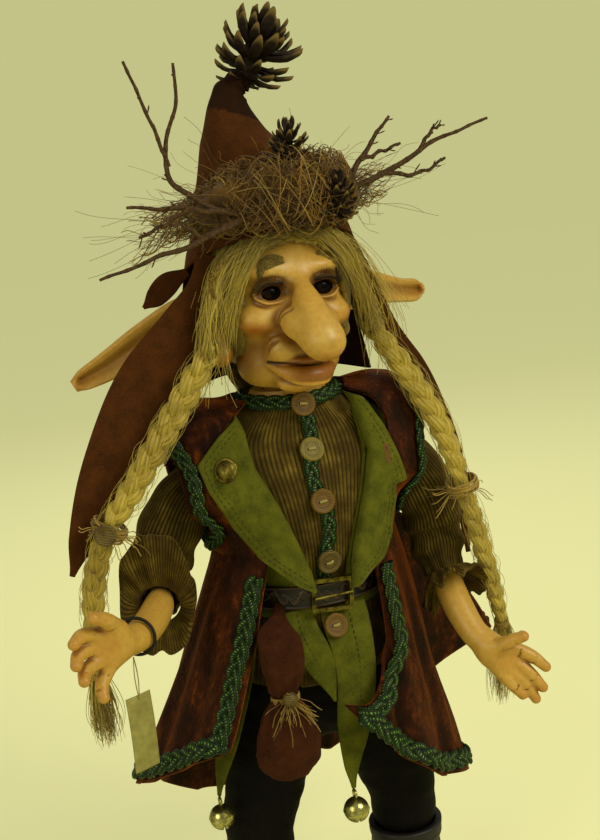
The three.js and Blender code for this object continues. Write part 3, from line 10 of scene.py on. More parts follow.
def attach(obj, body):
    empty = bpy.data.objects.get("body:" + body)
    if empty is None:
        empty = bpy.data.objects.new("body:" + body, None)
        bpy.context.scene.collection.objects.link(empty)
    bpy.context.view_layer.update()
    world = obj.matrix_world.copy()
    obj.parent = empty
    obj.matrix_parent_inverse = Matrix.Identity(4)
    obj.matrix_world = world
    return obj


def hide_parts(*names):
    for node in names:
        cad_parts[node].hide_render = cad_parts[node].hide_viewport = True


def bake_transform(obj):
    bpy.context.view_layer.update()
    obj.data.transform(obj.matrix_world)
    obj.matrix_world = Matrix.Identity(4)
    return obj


bl_info = {
    "name": "Porcelain elf doll",
    "version": (1, 0, 0),
    "blender": (4, 5, 0),
    "location": "3D View > Sidebar > Doll",
    "description": "Builds the clothes, hair, face and trimmings of a porcelain elf doll",
    "category": "Object",
}

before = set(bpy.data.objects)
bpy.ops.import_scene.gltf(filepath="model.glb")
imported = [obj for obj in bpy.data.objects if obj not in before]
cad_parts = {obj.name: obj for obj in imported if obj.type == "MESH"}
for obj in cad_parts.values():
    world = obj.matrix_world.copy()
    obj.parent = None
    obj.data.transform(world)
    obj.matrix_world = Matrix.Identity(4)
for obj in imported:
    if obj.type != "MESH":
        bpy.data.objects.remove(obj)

# Every surface is worked out in millimetres, as in the part's source, and turned into metres
# when its mesh is made.
MM = 0.001
TAU = 2 * math.pi
GOLDEN_ANGLE = math.pi * (3 - math.sqrt(5))

# Offsets of the clothing layers from the stuffed body
SHIRT_IN, SHIRT_OUT = 0.6, 2.4
FELT_IN, FELT_OUT = 3.0, 5.0
BELT_IN, BELT_OUT = 5.8, 8.4
COAT_IN = 8.0
VELVET = 2.0
FELT = 2.0
LAPEL_IN = 4.2
BRAID_WIDE = 13.0

# Heights of the edges of the layers
TORSO_LOW_Z, SHIRT_TOP_Z, COLLAR_Z = 205, 387, 381.5
WAISTCOAT_LOW_Z, WAISTCOAT_TOP_Z = 252, 370
COAT_TOP_Z, COAT_WAIST_Z = 379, 296
BELT_LOW_Z, BELT_HIGH_Z = 258, 274

# Joint centres
SHOULDER = np.array([65, 0, 337.0])
KNEE = np.array([51, 0, 90.0])

# Directions that nothing here runs along, against which others are squared
ASKEW, ASKEW_STRAND = (0.12, 0.35, 0.93), (0.31, 0.52, 0.79)

# Stuffed body: height, half width, half depth, centre in Y
BODY = np.array([
    [150, 38, 28, 4], [172, 46, 34, 3], [200, 49, 38, 1], [232, 45, 37, -2], [266, 39, 34, -4],
    [281, 40.5, 36, -4.7], [296, 43, 38, -5], [322, 50, 38, -4], [344, 58, 35, -1], [358, 57, 30, 1],
    [367, 49, 27, 1], [375, 38, 24.5, 0], [382, 28, 22, -1], [389, 22.5, 20, -2],
])


def smoothstep(x, low, high):
    """0 below low, 1 above high, with a smooth climb between."""
    t = np.clip((np.asarray(x, float) - low) / (high - low), 0, 1)
    return t * t * (3 - 2 * t)


def lerp(a, b, f):
    """Value a share f of the way from a to b."""
    return a + (b - a) * f


def hump(x, middle, width):
    """1 at the middle, falling to both sides as the exponential of minus the square of the
    distance in widths."""
    return np.exp(-(((x - middle) / width) ** 2))


def unit(v):
    """Vectors along the last axis, made one long."""
    v = np.asarray(v, float)
    return v / np.maximum(np.linalg.norm(v, axis=-1, keepdims=True), 1e-9)


def square_to(way, other=ASKEW):
    """Two directions square to a way and to each other, the first also square to `other`."""
    one = unit(np.cross(way, other))
    return one, np.cross(way, one)


def run_along(points):
    """Distance run along a path up to each of its points."""
    return np.concatenate([[0], np.cumsum(np.linalg.norm(np.diff(points, axis=0), axis=1))])


def waves(p, size, seed):
    """Smooth pattern between -1 and 1 over points p: the mean of five sine waves of the given
    size, each along its own seeded direction."""
    rng = np.random.default_rng(seed)
    way = unit(rng.normal(size=(5, p.shape[-1]))) * rng.uniform(0.7, 1.5, (5, 1)) * TAU / size
    return np.sin(p @ way.T + rng.uniform(0, TAU, 5)).mean(axis=-1)


def row_at(stations, t):
    """Smooth value of every column of a station list at fractional row numbers t: a cubic
    Hermite curve whose slope at a row is half the step from the row before to the row after."""
    s = np.asarray(stations, float)
    last = len(s) - 1
    t = np.clip(np.asarray(t, float), 0, last)
    i = np.minimum(t.astype(int), last - 1)
    f = (t - i)[..., None]
    before, here, after, beyond = (s[np.clip(i + k, 0, last)] for k in (-1, 0, 1, 2))
    m0, m1 = (after - before) / 2, (beyond - here) / 2
    return ((2 * f**3 - 3 * f**2 + 1) * here + (f**3 - 2 * f**2 + f) * m0
            + (3 * f**2 - 2 * f**3) * after + (f**3 - f**2) * m1)


def row_of(z):
    """Fractional row of the body list at a height."""
    t = np.linspace(0, len(BODY) - 1, 2000)
    return np.interp(z, row_at(BODY, t)[:, 0], t)


def curve(stations, f):
    """Points of a centripetal Catmull-Rom curve through the stations, at shares f of the way."""
    p = np.asarray(stations, float)[:, :3]
    p = np.vstack([2 * p[0] - p[1], p, 2 * p[-1] - p[-2]])
    t = np.clip(np.asarray(f, float), 0, 1) * (len(p) - 3)
    i = np.minimum(t.astype(int), len(p) - 4)
    w = (t - i)[:, None]
    a, b, c, d = p[i], p[i + 1], p[i + 2], p[i + 3]
    k0, k1, k2 = (np.sqrt(np.linalg.norm(v - u, axis=1))[:, None] for u, v in ((a, b), (b, c), (c, d)))
    m0 = ((b - a) / k0 - (c - a) / (k0 + k1) + (c - b) / k1) * k1
    m1 = ((c - b) / k1 - (d - b) / (k1 + k2) + (d - c) / k2) * k1
    return b + m0 * w + (3 * (c - b) - 2 * m0 - m1) * w**2 + (2 * (b - c) + m0 + m1) * w**3


def evenly(points, step, closed=False):
    """Points set a fixed step apart along a path, by linear interpolation on its length."""
    if closed:
        points = np.vstack([points, points[:1]])
    reach = run_along(points)
    count = max(int(round(reach[-1] / step)), 2)
    at = np.linspace(0, reach[-1], count + 1)[: count if closed else count + 1]
    return np.stack([np.interp(at, reach, points[:, k]) for k in range(points.shape[1])], axis=1)


def body_point(angle, row, offset):
    """Point of the body at an angle from the front, towards the left hand, and a row, pushed out
    by an offset along the local normal of the body's width and depth outlines."""
    angle, row, offset = np.broadcast_arrays(*(np.asarray(v, float) for v in (angle, row, offset)))
    z, wide, deep, middle = np.moveaxis(row_at(BODY, row), -1, 0)
    low, high = row_at(BODY, row - 0.05), row_at(BODY, row + 0.05)
    rise = high[..., 0] - low[..., 0]
    side = unit(np.stack([rise, low[..., 1] - high[..., 1]], -1))
    front = unit(np.stack([rise, low[..., 2] - high[..., 2]], -1))
    s, c = np.sin(angle), np.cos(angle)
    return np.stack([
        (wide + offset * side[..., 0]) * s,
        middle - (deep + offset * front[..., 0]) * c,
        z + offset * (side[..., 1] * s * s + front[..., 1] * c * c),
    ], -1)


# Coat: hem as [angle in degrees, radius, height, droop], where a droop below 1 springs out early
HEM = np.array([
    [-180, 83, 98, 1.1], [-150, 83, 98, 1.1], [-130, 93, 104, 1.1], [-105, 112, 138, 1.1],
    [-90, 117, 152, 1.1], [-75, 120, 166, 1.1], [-60, 107, 184, 1.1], [-48, 97, 192, 1.1],
    [-6, 62, 203, 1], [23, 67, 160, 1], [45, 73, 134, 1], [76, 84, 114, 1], [92, 88, 112, 1],
])
HEM_BACK = np.array([
    [92, 150, 188, 0.6], [110, 172, 175, 0.6], [126, 124, 138, 0.9], [140, 98, 110, 1],
    [160, 86, 99, 1.1],
])
WHOLE_HEM_BACK = np.vstack([HEM_BACK - [360, 0, 0, 0], HEM[HEM[:, 0] <= -87]])
# Front edges as [depth, angle in degrees]
EDGES = {
    "right": np.array([[-1, -58], [-0.8, -50], [0, -42], [0.4, -45], [1, -50]]),
    "left": np.array([[-1, 58], [-0.8, 50], [0, 34], [0.45, 29], [0.75, 14], [1, -5]]),
}
SIDE_SEAM = {"right": -92, "left": 92}
SEAM, LEFT_VENT = 0.35, 20
SHOULDER_DROP = 19
FOLD_DEPTH, FOLD_TURNS = 3.6, 11
SIDE_EASE = 6.0
DRAPE_DEPTH, DRAPE_TURNS = 1.3, 24
ARMHOLE = np.array([28, 31.0])


def coat_point(angle, depth, offset, hem):
    """Point of the coat. Down to the waist (depth -1 to 0) it is the body pushed out, with a
    dropped shoulder. Below it (0 to 1) the radius goes from the waist's to the hem's with the
    hem's droop as its power, and carries folds as a sine of the angle that grow downwards."""
    angle, depth, offset = np.broadcast_arrays(*(np.asarray(v, float) for v in (angle, depth, offset)))
    waist, top = row_of(COAT_WAIST_Z), row_of(COAT_TOP_Z)
    row = lerp(waist, top, np.clip(-depth, 0, 1))
    z = row_at(BODY, row)[..., 0]
    drop = (SHOULDER_DROP * smoothstep(np.abs(np.sin(angle)), 0.45, 1)
            * smoothstep(z, 312, 340) * (1 - smoothstep(z, 364, 380)))
    degrees = np.degrees(angle)

    def ripple(down, size, seed):
        """Waves over the cloth laid flat: degrees across, and `down` of them for the whole depth."""
        return waves(np.stack([degrees, down * depth], -1), size, seed)

    crumple = 1.3 * ripple(60, 34, 3) * smoothstep(depth, 0, 0.3)
    puckers = 0.9 * ripple(22, 16, 5) * smoothstep(depth, -0.15, 0.1)
    ease = SIDE_EASE * np.sin(angle) ** 4 * hump(depth, 0, 0.35)
    drape = DRAPE_DEPTH * (1 + np.sin(np.radians(degrees * DRAPE_TURNS) + 1.3 * ripple(40, 60, 9)))
    drape = drape * smoothstep(depth, 0.0, 0.45)
    above = body_point(angle, row, COAT_IN + drop + ease + offset + 0.6 * ripple(50, 26, 7))
    start = body_point(angle, np.full_like(angle, waist), COAT_IN)
    start_r = np.hypot(start[..., 0], start[..., 1])
    hem_r, hem_z, droop = (np.interp(degrees, hem[:, 0], hem[:, k]) for k in (1, 2, 3))

    def spread(f):
        """Distance from the middle at a share f of the way down."""
        fold = FOLD_DEPTH * f * (np.sin(FOLD_TURNS * angle) + 1)
        return lerp(start_r, hem_r, np.maximum(f, 0) ** droop) + fold

    below = np.clip(depth, 0, 1.02)
    slope = (spread(below + 0.02) - spread(below - 0.02)) / 0.04
    normal = unit(np.stack([start[..., 2] - hem_z, slope], -1))
    facing = np.stack([np.sin(angle), -np.cos(angle)], -1)
    heading = unit(lerp(unit(start[..., :2]), facing, smoothstep(below, 0, 0.35)[..., None]))
    out = offset + crumple + puckers + ease + drape
    reach = spread(below) + out * normal[..., 0]
    hanging = np.concatenate([
        heading * reach[..., None],
        (lerp(start[..., 2], hem_z, below) + out * normal[..., 1])[..., None],
    ], -1)
    return np.where((depth <= 0)[..., None], above, hanging)


def edge_angle(name, depth):
    """Angle in degrees of the coat's front edge at a depth."""
    return np.interp(depth, EDGES[name][:, 0], EDGES[name][:, 1])


def coat_place(target, axes, angle, depth, offset):
    """Angle and depth at which the coat, at an offset, has the wanted two coordinates: Newton's
    method on the two unknowns, with slopes from small differences and short steps."""
    angle, depth = np.array(angle, float), np.array(depth, float)
    small = 0.01
    for _ in range(14):
        here = coat_point(angle, depth, offset, HEM)[..., axes]
        da = (coat_point(angle + small, depth, offset, HEM)[..., axes] - here) / small
        dd = (coat_point(angle, depth + small, offset, HEM)[..., axes] - here) / small
        miss = target - here
        det = da[..., 0] * dd[..., 1] - da[..., 1] * dd[..., 0]
        det = np.where(np.abs(det) < 1e-3, 1e-3, det)
        angle += np.clip((miss[..., 0] * dd[..., 1] - miss[..., 1] * dd[..., 0]) / det, -0.15, 0.15)
        depth += np.clip((da[..., 0] * miss[..., 1] - da[..., 1] * miss[..., 0]) / det, -0.12, 0.12)
    return angle, depth


# Steps in rows and columns to the corners of a cell, in the two orders that the meshes use
DOWN_FIRST = ((0, 0), (1, 0), (1, 1), (0, 1))
ACROSS_FIRST = ((0, 0), (0, 1), (1, 1), (1, 0))


def cell_corners(u, v, i, j, order):
    """Coordinates of the corners of cells i, j, from those of the rows, u, and columns, v."""
    return np.stack([np.stack([u[i + a], v[j + b]], 1) for a, b in order], 1)


class Shape:
    """Points, faces and face-corner coordinates gathered from one or more surfaces."""

    def __init__(self):
        self.points, self.faces, self.corners, self.tints, self.count = [], [], [], [], 0

    def add(self, points, faces, corners=None, tint=0.5):
        """points (n, 3); faces, a list of index arrays of 3 or 4 columns; corners, a list of
        matching (faces, columns, 2) arrays; tint, one number a point or for all."""
        points = np.asarray(points, float).reshape(-1, 3)
        for k, group in enumerate(faces):
            if len(group):
                self.faces.append(np.asarray(group) + self.count)
                self.corners.append(np.zeros(group.shape + (2,)) if corners is None else corners[k])
        self.points.append(points)
        self.tints.append(np.broadcast_to(np.asarray(tint, float), (len(points),)))
        self.count += len(points)
        return self

    def grid(self, p, u=None, v=None, around=False, looped=False, tint=0.5):
        """Surface over a grid of points (rows, columns, 3); `around` joins the last column to the
        first, `looped` the last row to the first. u and v are the coordinates of the rows and
        columns, one longer where the grid is joined."""
        rows, columns = p.shape[:2]
        u = np.arange(rows + 1) if u is None else np.asarray(u, float)
        v = np.arange(columns + 1) if v is None else np.asarray(v, float)
        spans = columns if around else columns - 1
        i, j = np.meshgrid(np.arange(rows if looped else rows - 1), np.arange(spans), indexing="ij")
        i, j = i.ravel(), j.ravel()
        k, n = (j + 1) % columns, (i + 1) % rows
        quads = np.stack([i * columns + j, n * columns + j, n * columns + k, i * columns + k], 1)
        tones = np.asarray(tint).ravel() if np.ndim(tint) else tint
        return self.add(p, [quads], [cell_corners(u, v, i, j, DOWN_FIRST)], tones)

    def loft(self, rings, u=None, v=None, tint=0.5):
        """Closed body over rings of points (rings, around, 3), with a fan over each end."""
        count, around = rings.shape[:2]
        start = self.count
        self.grid(rings, u, v, around=True, tint=tint)
        here = np.arange(around)
        after = (here + 1) % around
        for row, a, b in ((0, after, here), (count - 1, here, after)):
            corner = start + row * around - self.count
            fan = np.stack([corner + a, corner + b, np.zeros(around, int)], 1)
            tone = float(np.mean(np.asarray(tint).reshape(count, -1)[row])) if np.ndim(tint) else tint
            self.add(rings[row].mean(axis=0)[None], [fan], None, tone)
        return self

    def sheet(self, outer, inner, around=False, keep=None, tint=0.5):
        """Closed sheet between two grids; keep, one true or false a cell, leaves holes."""
        rows, columns = outer.shape[:2]
        spans = columns if around else columns - 1
        u, v = np.arange(rows), np.arange(columns + 1)
        keep = np.ones((rows - 1, spans), bool) if keep is None else keep
        back = rows * columns
        i, j = np.nonzero(keep)
        k = (j + 1) % columns
        a, b, c, d = i * columns + j, i * columns + k, (i + 1) * columns + k, (i + 1) * columns + j
        corner = cell_corners(u, v, i, j, ACROSS_FIRST)
        faces = [np.stack([a, b, c, d], 1), np.stack([a, d, c, b], 1) + back]
        corners = [corner, corner[:, [0, 3, 2, 1]]]
        padded = np.zeros((rows + 1, spans + 2), bool)
        padded[1:-1, 1:-1] = keep
        if around:
            padded[1:-1, 0], padded[1:-1, -1] = keep[:, -1], keep[:, 0]
        for beside, p, q in (
            (padded[:-2, 1:-1], (0, 0), (0, 1)), (padded[2:, 1:-1], (1, 1), (1, 0)),
            (padded[1:-1, :-2], (1, 0), (0, 0)), (padded[1:-1, 2:], (0, 1), (1, 1)),
        ):
            i, j = np.nonzero(keep & ~beside)
            one, two = ((i + s[0]) * columns + (j + s[1]) % columns for s in (p, q))
            faces.append(np.stack([two, one, one + back, two + back], 1))
            corners.append(cell_corners(u, v, i, j, (q, p, p, q)))
        return self.add(np.concatenate([outer.reshape(-1, 3), inner.reshape(-1, 3)]), faces, corners, tint)

    def strands(self, paths, radii, sides=4, tint=0.5):
        """Bundle of closed tubes: paths (strands, points, 3), radii (strands, points). Each point's
        ring lies across the path's tangent. A tube of four sides ends in a quad, others in a fan."""
        paths = np.asarray(paths, float)
        n, m = paths.shape[:2]
        radii = np.broadcast_to(np.asarray(radii, float), (n, m))
        one, two = square_to(unit(np.gradient(paths, axis=1)), ASKEW_STRAND)
        angle = np.arange(sides)[:, None] / sides * TAU + TAU / 8
        ring = np.cos(angle) * one[:, :, None] + np.sin(angle) * two[:, :, None]
        points = (paths[:, :, None] + ring * radii[:, :, None, None]).reshape(-1, 3)
        s, i, j = np.meshgrid(np.arange(n), np.arange(m - 1), np.arange(sides), indexing="ij")
        i, j = (s * m + i).ravel(), j.ravel()
        row, k = i * sides, (j + 1) % sides
        faces = [np.stack([row + j, row + k, row + sides + k, row + sides + j], 1)]
        steps = np.linalg.norm(np.diff(paths, axis=1), axis=2)
        reach = np.concatenate([np.zeros((n, 1)), np.cumsum(steps, 1)], 1).ravel()
        corners = [cell_corners(reach, np.arange(sides + 1) / sides, i, j, ACROSS_FIRST)]
        start = (np.arange(n) * m * sides)[:, None]
        end = start + (m - 1) * sides
        tone = np.broadcast_to(tint, (n,))
        tones = np.repeat(tone, m * sides)
        if sides == 4:
            faces += [start + [3, 2, 1, 0], end + [0, 1, 2, 3]]
            corners += [np.zeros((n, 4, 2))] * 2
        else:
            hub = n * m * sides + np.arange(n)[:, None]
            here = np.arange(sides)
            after = (here + 1) % sides
            for a, b, middle in ((start + after, start + here, hub), (end + here, end + after, hub + n)):
                faces.append(np.stack([a, b, middle + 0 * a], 2).reshape(-1, 3))
                corners.append(np.zeros((n * sides, 3, 2)))
            points = np.concatenate([points, paths[:, 0], paths[:, -1]])
            tones = np.concatenate([tones, tone, tone])
        return self.add(points, faces, corners, tones)

    def dotted(self, ends, radius, tint=0.5):
        """Short round stitches: ends (stitches, 2, 3), each a bead thickest in the middle."""
        f = np.array([0, 0.15, 0.5, 0.85, 1])
        paths = lerp(ends[:, :1], ends[:, 1:], f[None, :, None])
        return self.strands(paths, radius * np.array([0.25, 0.8, 1, 0.8, 0.25]), 4, tint)


def piece(name, shape, material, body=None, replaces=(), outward=False, paint=None):
    """Mesh object from a gathered shape, in metres, with its material, slot and body; paint is
    one linear colour a point."""
    points = np.concatenate(shape.points)
    corners = np.concatenate([g.ravel() for g in shape.faces])
    uv = np.concatenate([c.reshape(-1, 2) for c in shape.corners])
    sizes = np.concatenate([np.full(len(g), g.shape[1]) for g in shape.faces])
    mesh = bpy.data.meshes.new(name)
    mesh.vertices.add(len(points))
    mesh.vertices.foreach_set("co", (points * MM).astype(np.float32).ravel())
    mesh.loops.add(len(corners))
    mesh.loops.foreach_set("vertex_index", corners.astype(np.int32))
    mesh.polygons.add(len(sizes))
    mesh.polygons.foreach_set("loop_start", np.concatenate([[0], np.cumsum(sizes)[:-1]]).astype(np.int32))
    mesh.update(calc_edges=True)
    layer = mesh.uv_layers.new(name="cloth")
    layer.uv.foreach_set("vector", uv.astype(np.float32).ravel())
    tint = mesh.attributes.new("tint", "FLOAT", "POINT")
    tint.data.foreach_set("value", np.concatenate(shape.tints).astype(np.float32))
    if paint is not None:
        rgba = np.concatenate([paint, np.ones((len(paint), 1))], 1)
        colour = mesh.attributes.new("paint", "FLOAT_COLOR", "POINT")
        colour.data.foreach_set("color", rgba.astype(np.float32).ravel())
    if outward:
        loose = bmesh.new()
        loose.from_mesh(mesh)
        bmesh.ops.recalc_face_normals(loose, faces=loose.faces)
        loose.to_mesh(mesh)
        loose.free()
    mesh.polygons.foreach_set("use_smooth", np.ones(len(mesh.polygons), bool))
    mesh.materials.append(material)
    mesh.update()
    made = bpy.data.objects.new(name, mesh)
    bpy.context.scene.collection.objects.link(made)
    if body:
        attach(made, body)
    if replaces:
        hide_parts(*replaces)
    return made


def swept(stations, across, sides=32, steps=60, wave=None, flatten=2.0):
    """Rings of a body swept along a smooth curve through the stations [x, y, z, half size across,
    half size through], the last left out where they are the same. Each ring is a superellipse of
    the power `flatten`; wave(angle, share) swells it."""
    s = np.asarray([list(s) + ([s[3]] if len(s) == 4 else []) for s in stations], float)
    f = np.linspace(0, 1, steps + 1)
    centre = curve(s, f)
    along = unit(np.gradient(centre, axis=0))
    across = np.asarray(across, float)
    side = unit(across - along * (along @ across)[:, None])
    through = np.cross(along, side)
    size = row_at(s[:, 3:5], f * (len(s) - 1))
    angle = np.arange(sides) / sides * TAU
    swell = wave(angle[None, :], f[:, None]) if wave else 0.0
    c, d = (np.sign(v) * np.abs(v) ** (2 / flatten) for v in (np.cos(angle), np.sin(angle)))
    wide, thick = (size[:, :1] + swell) * c, (size[:, 1:] + swell) * d
    return centre[:, None] + side[:, None] * wide[..., None] + through[:, None] * thick[..., None]


def lengths(rings):
    """Distance run along the rings, taken on their middle column."""
    return run_along(rings[:, rings.shape[1] // 2])


def turned(profile, at, way, sides=40):
    """Rings of a turned body: profile points [radius, height] set about a direction at a place."""
    profile = np.asarray(profile, float)
    way = unit(way)
    one, two = square_to(way)
    angle = np.arange(sides)[:, None] / sides * TAU
    ring = np.cos(angle) * one + np.sin(angle) * two
    return np.asarray(at, float) + profile[:, :1, None] * ring[None] + profile[:, 1:, None] * way


def torus(at, way, radius, wire, around=48):
    """Grid of a ring of round wire about a direction, closed both ways."""
    way = unit(way)
    one, two = square_to(way)
    a = np.arange(around)[:, None] / around * TAU
    b = np.arange(12) / 12 * TAU
    out = np.cos(a) * one + np.sin(a) * two
    return (np.asarray(at, float) + out[:, None] * (radius + wire * np.cos(b))[None, :, None]
            + way * (wire * np.sin(b))[None, :, None])


# Materials
def srgb(code):
    """A colour written as sRGB hex, as the linear RGBA that the shader takes."""
    c = np.array([int(code[i:i + 2], 16) / 255 for i in (0, 2, 4)])
    c = np.where(c <= 0.04045, c / 12.92, ((c + 0.055) / 1.055) ** 2.4)
    return (*(float(v) for v in c), 1.0)


def rgb(code):
    """The same colour's linear red, green and blue in an array, for paint on points."""
    return np.array(srgb(code)[:3])


def add(tree, kind, inputs=None, output=0, **settings):
    """Adds a node with its settings and gives back one of its outputs. Inputs are values, or
    sockets to link, under their names or numbers."""
    made = tree.nodes.new("ShaderNode" + kind)
    for key, value in settings.items():
        setattr(made, key, value)
    for key, value in (inputs or {}).items():
        if isinstance(value, bpy.types.NodeSocket):
            tree.links.new(value, made.inputs[key])
        else:
            made.inputs[key].default_value = value
    return made.outputs[output]


def new_material(name, roughness, specular=0.5, **sockets):
    """Material and its node tree, with the plain sockets of its Principled shader set."""
    material = bpy.data.materials.new(name)
    material.use_nodes = True
    shader = material.node_tree.nodes["Principled BSDF"]
    shader.inputs["Roughness"].default_value = roughness
    shader.inputs["Specular IOR Level"].default_value = specular
    for key, value in sockets.items():
        shader.inputs[key.replace("_", " ")].default_value = value
    return material, material.node_tree


def dressed(material, tone, height=None, depth=0.0, strength=0.0, **linked):
    """The material with its colour linked, a relief from a height between 0 and 1 with its depth
    in millimetres, and what else is linked under the sockets' names."""
    tree = material.node_tree
    linked["Base_Color"] = tone
    if height is not None:
        linked["Normal"] = add(tree, "Bump", {"Height": height, "Distance": depth * MM, "Strength": strength})
    for key, socket in linked.items():
        tree.links.new(socket, tree.nodes["Principled BSDF"].inputs[key.replace("_", " ")])
    return material


def place(tree, stretch=(1, 1, 1), source="Object"):
    """A piece's own coordinates in millimetres, divided by the stretch along each axis. Object
    coordinates are in metres, the cloth's UV in millimetres."""
    per = 1 if source == "UV" else 1000
    at = add(tree, "TexCoord", output=source)
    return add(tree, "Mapping", {"Vector": at, "Scale": [per / s for s in stretch]})


def clouds(tree, size, detail=3, rough=0.6, stretch=(1, 1, 1), source="Object"):
    """Cloudy pattern between 0 and 1 whose patches are `size` millimetres across, times the
    stretch along each axis."""
    at = place(tree, stretch, source)
    return add(tree, "TexNoise", {"Vector": at, "Scale": 1 / size, "Detail": detail, "Roughness": rough})


def worked(tree, *terms):
    """Value of a small formula, worked from the left: a value, then pairs of operation and value.
    An operation on one value alone has None beside it."""
    value = terms[0]
    for operation, other in zip(terms[1::2], terms[2::2]):
        inputs = {0: value} if other is None else {0: value, 1: other}
        value = add(tree, "Math", inputs, operation=operation)
    return value


def layered(tree, under, *layers, blend_type="MIX"):
    """Colours laid over one another. A layer is a value, the low and high end of its range, how
    much of the colour shows at each, and the colour in sRGB hex."""
    tone = under if isinstance(under, bpy.types.NodeSocket) else srgb(under)
    for value, low, high, start, stop, colour in layers:
        share = add(tree, "MapRange", {0: value, 1: low, 2: high, 3: start, 4: stop})
        tone = add(tree, "Mix", {0: share, 6: tone, 7: srgb(colour)}, 2, data_type="RGBA",
                   blend_type=blend_type)
    return tone


def felt_material(name, base, dark, fibre, sheen=0.35):
    """Wool felt: soft mottling about 9 mm across, short tangled fibres, a faint bloom."""
    material, tree = new_material(name, 0.95, 0.15, Sheen_Weight=sheen, Sheen_Roughness=0.5,
                                  Sheen_Tint=srgb(fibre))
    hairs = clouds(tree, 0.9, 4, 0.7, (1, 1, 0.35))
    tint = add(tree, "Attribute", output="Fac", attribute_name="tint")
    # The last layer darkens the felt where the tint attribute is low: painted shade, used at the hat's folded
    # tip.
    tone = layered(tree, dark, (clouds(tree, 9), 0.32, 0.68, 0, 1, base), (hairs, 0.52, 0.75, 0, 1, fibre),
                   (tint, 0.1, 0.45, 0.85, 0, "150b05"))
    return dressed(material, tone, hairs, 0.35, 0.8)


def corduroy_material():
    """Cotton corduroy: the wales are in the mesh; here the pile is worn golden on the ridges (the
    tint attribute) and dark between."""
    material, tree = new_material("corduroy_cotton", 0.9, 0.15, Sheen_Weight=0.5, Sheen_Roughness=0.35,
                                  Sheen_Tint=srgb("b08a3a"))
    ridge = add(tree, "Attribute", output="Fac", attribute_name="tint")
    patchy = add(tree, "MapRange", {0: clouds(tree, 14), 1: 0.35, 2: 0.68, 3: 0.25, 4: 1.0})
    # Ridges painted lighter as a patchy painted highlight; the dark base between them is painted shade.
    lighter_on_raised = worked(tree, ridge, "MULTIPLY", patchy, "POWER", 2.2)
    tone = layered(tree, "1b1306", (ridge, 0, 1, 0, 1, "463710"), (lighter_on_raised, 0, 1, 0, 1, "85712a"))
    return dressed(material, tone, clouds(tree, 0.7, 3, 0.7), 0.25, 0.7)


def velvet_material(name, base, deep, bloom, tint, sheen):
    """Crushed velvet: pile lying in upright patches about 12 mm wide, each with its own bloom."""
    material, tree = new_material(name, 0.66, 0.12, Sheen_Weight=sheen, Sheen_Roughness=0.3,
                                  Sheen_Tint=srgb(tint))
    wide = clouds(tree, 12, 3, 0.55, (1, 1, 3.2))
    crushed = clouds(tree, 4, stretch=(1, 1, 1.4))
    high = add(tree, "MapRange", {0: wide, 1: 0.46, 2: 0.68})
    lying = add(tree, "MapRange", {0: crushed, 1: 0.45, 2: 0.7})
    # Painted highlight: the bloom colour where the wide and crushed patterns are both high.
    bright = worked(tree, high, "MULTIPLY", lying)
    tone = layered(tree, deep, (wide, 0.36, 0.62, 0, 1, base), (bright, 0, 1, 0, 1, bloom))
    return dressed(material, tone, worked(tree, crushed, "ADD", clouds(tree, 0.9, 2, 0.5)), 0.9, 0.9)


GIMP_CORDS, GIMP_BEAD, GIMP_SLANT, GIMP_EDGES = 5, 1.25, 3, 2


def gimp_material():
    """Rayon gimp with a metallic thread: along each strand (cloth coordinates in millimetres) run
    fine cords, dark green, with rows of bright thread beads beside its edges."""
    material, tree = new_material("gimp_metallic_thread", 0.5, 0.3)
    cloth = add(tree, "TexCoord", output="UV")
    along, turn = (add(tree, "SeparateXYZ", {0: cloth}, axis) for axis in (0, 1))
    cords = worked(tree, turn, "MULTIPLY", TAU * GIMP_CORDS, "SINE", None, "ABSOLUTE", None)
    leaning = worked(tree, turn, "MULTIPLY", TAU * GIMP_SLANT)
    slant = worked(tree, along, "MULTIPLY", TAU / GIMP_BEAD, "ADD", leaning, "SINE", None)
    bead = add(tree, "MapRange", {0: slant, 1: 0.1, 2: 0.8})
    edge = worked(tree, turn, "MULTIPLY", TAU * GIMP_EDGES, "COSINE", None, "ABSOLUTE", None)
    edge = add(tree, "MapRange", {0: edge, 1: 0.72, 2: 0.95})
    glint = add(tree, "MapRange", {0: clouds(tree, 2.4, 2), 1: 0.3, 2: 0.66})
    bead_and_glint = worked(tree, bead, "MULTIPLY", edge, "MULTIPLY", glint)
    # Colour darker between the cords (painted shade) and bright on the beads: the thread's colour with painted
    # glints.
    tone = layered(tree, "040903", (cords, 0, 1, 0, 1, "102f0a"), (bead_and_glint, 0, 1, 0, 1, "8fc455"))
    return dressed(material, tone, worked(tree, cords, "ADD", bead_and_glint), 0.35, 0.9,
                   Metallic=worked(tree, bead_and_glint, "MULTIPLY", 0.3))


def leather_material(name, base, dark, lighter_on_raised, roughness=0.42):
    """Oiled leather: fine pebble grain, colour rubbed lighter on raised places."""
    material, tree = new_material(name, roughness, 0.5, Coat_Weight=0.15, Coat_Roughness=0.35)
    raised = add(tree, "Attribute", output="Fac", attribute_name="tint")
    tone = layered(tree, dark, (clouds(tree, 11, 4), 0.35, 0.65, 0, 1, base), (raised, 0.55, 1, 0, 1, lighter_on_raised),
                   (raised, 0, 0.45, 1, 0, "070403"))
    grain = add(tree, "TexVoronoi", {"Vector": place(tree), "Scale": 1 / 0.9}, feature="SMOOTH_F1")
    return dressed(material, tone, worked(tree, grain, "ADD", clouds(tree, 4)), 0.3, 0.5)


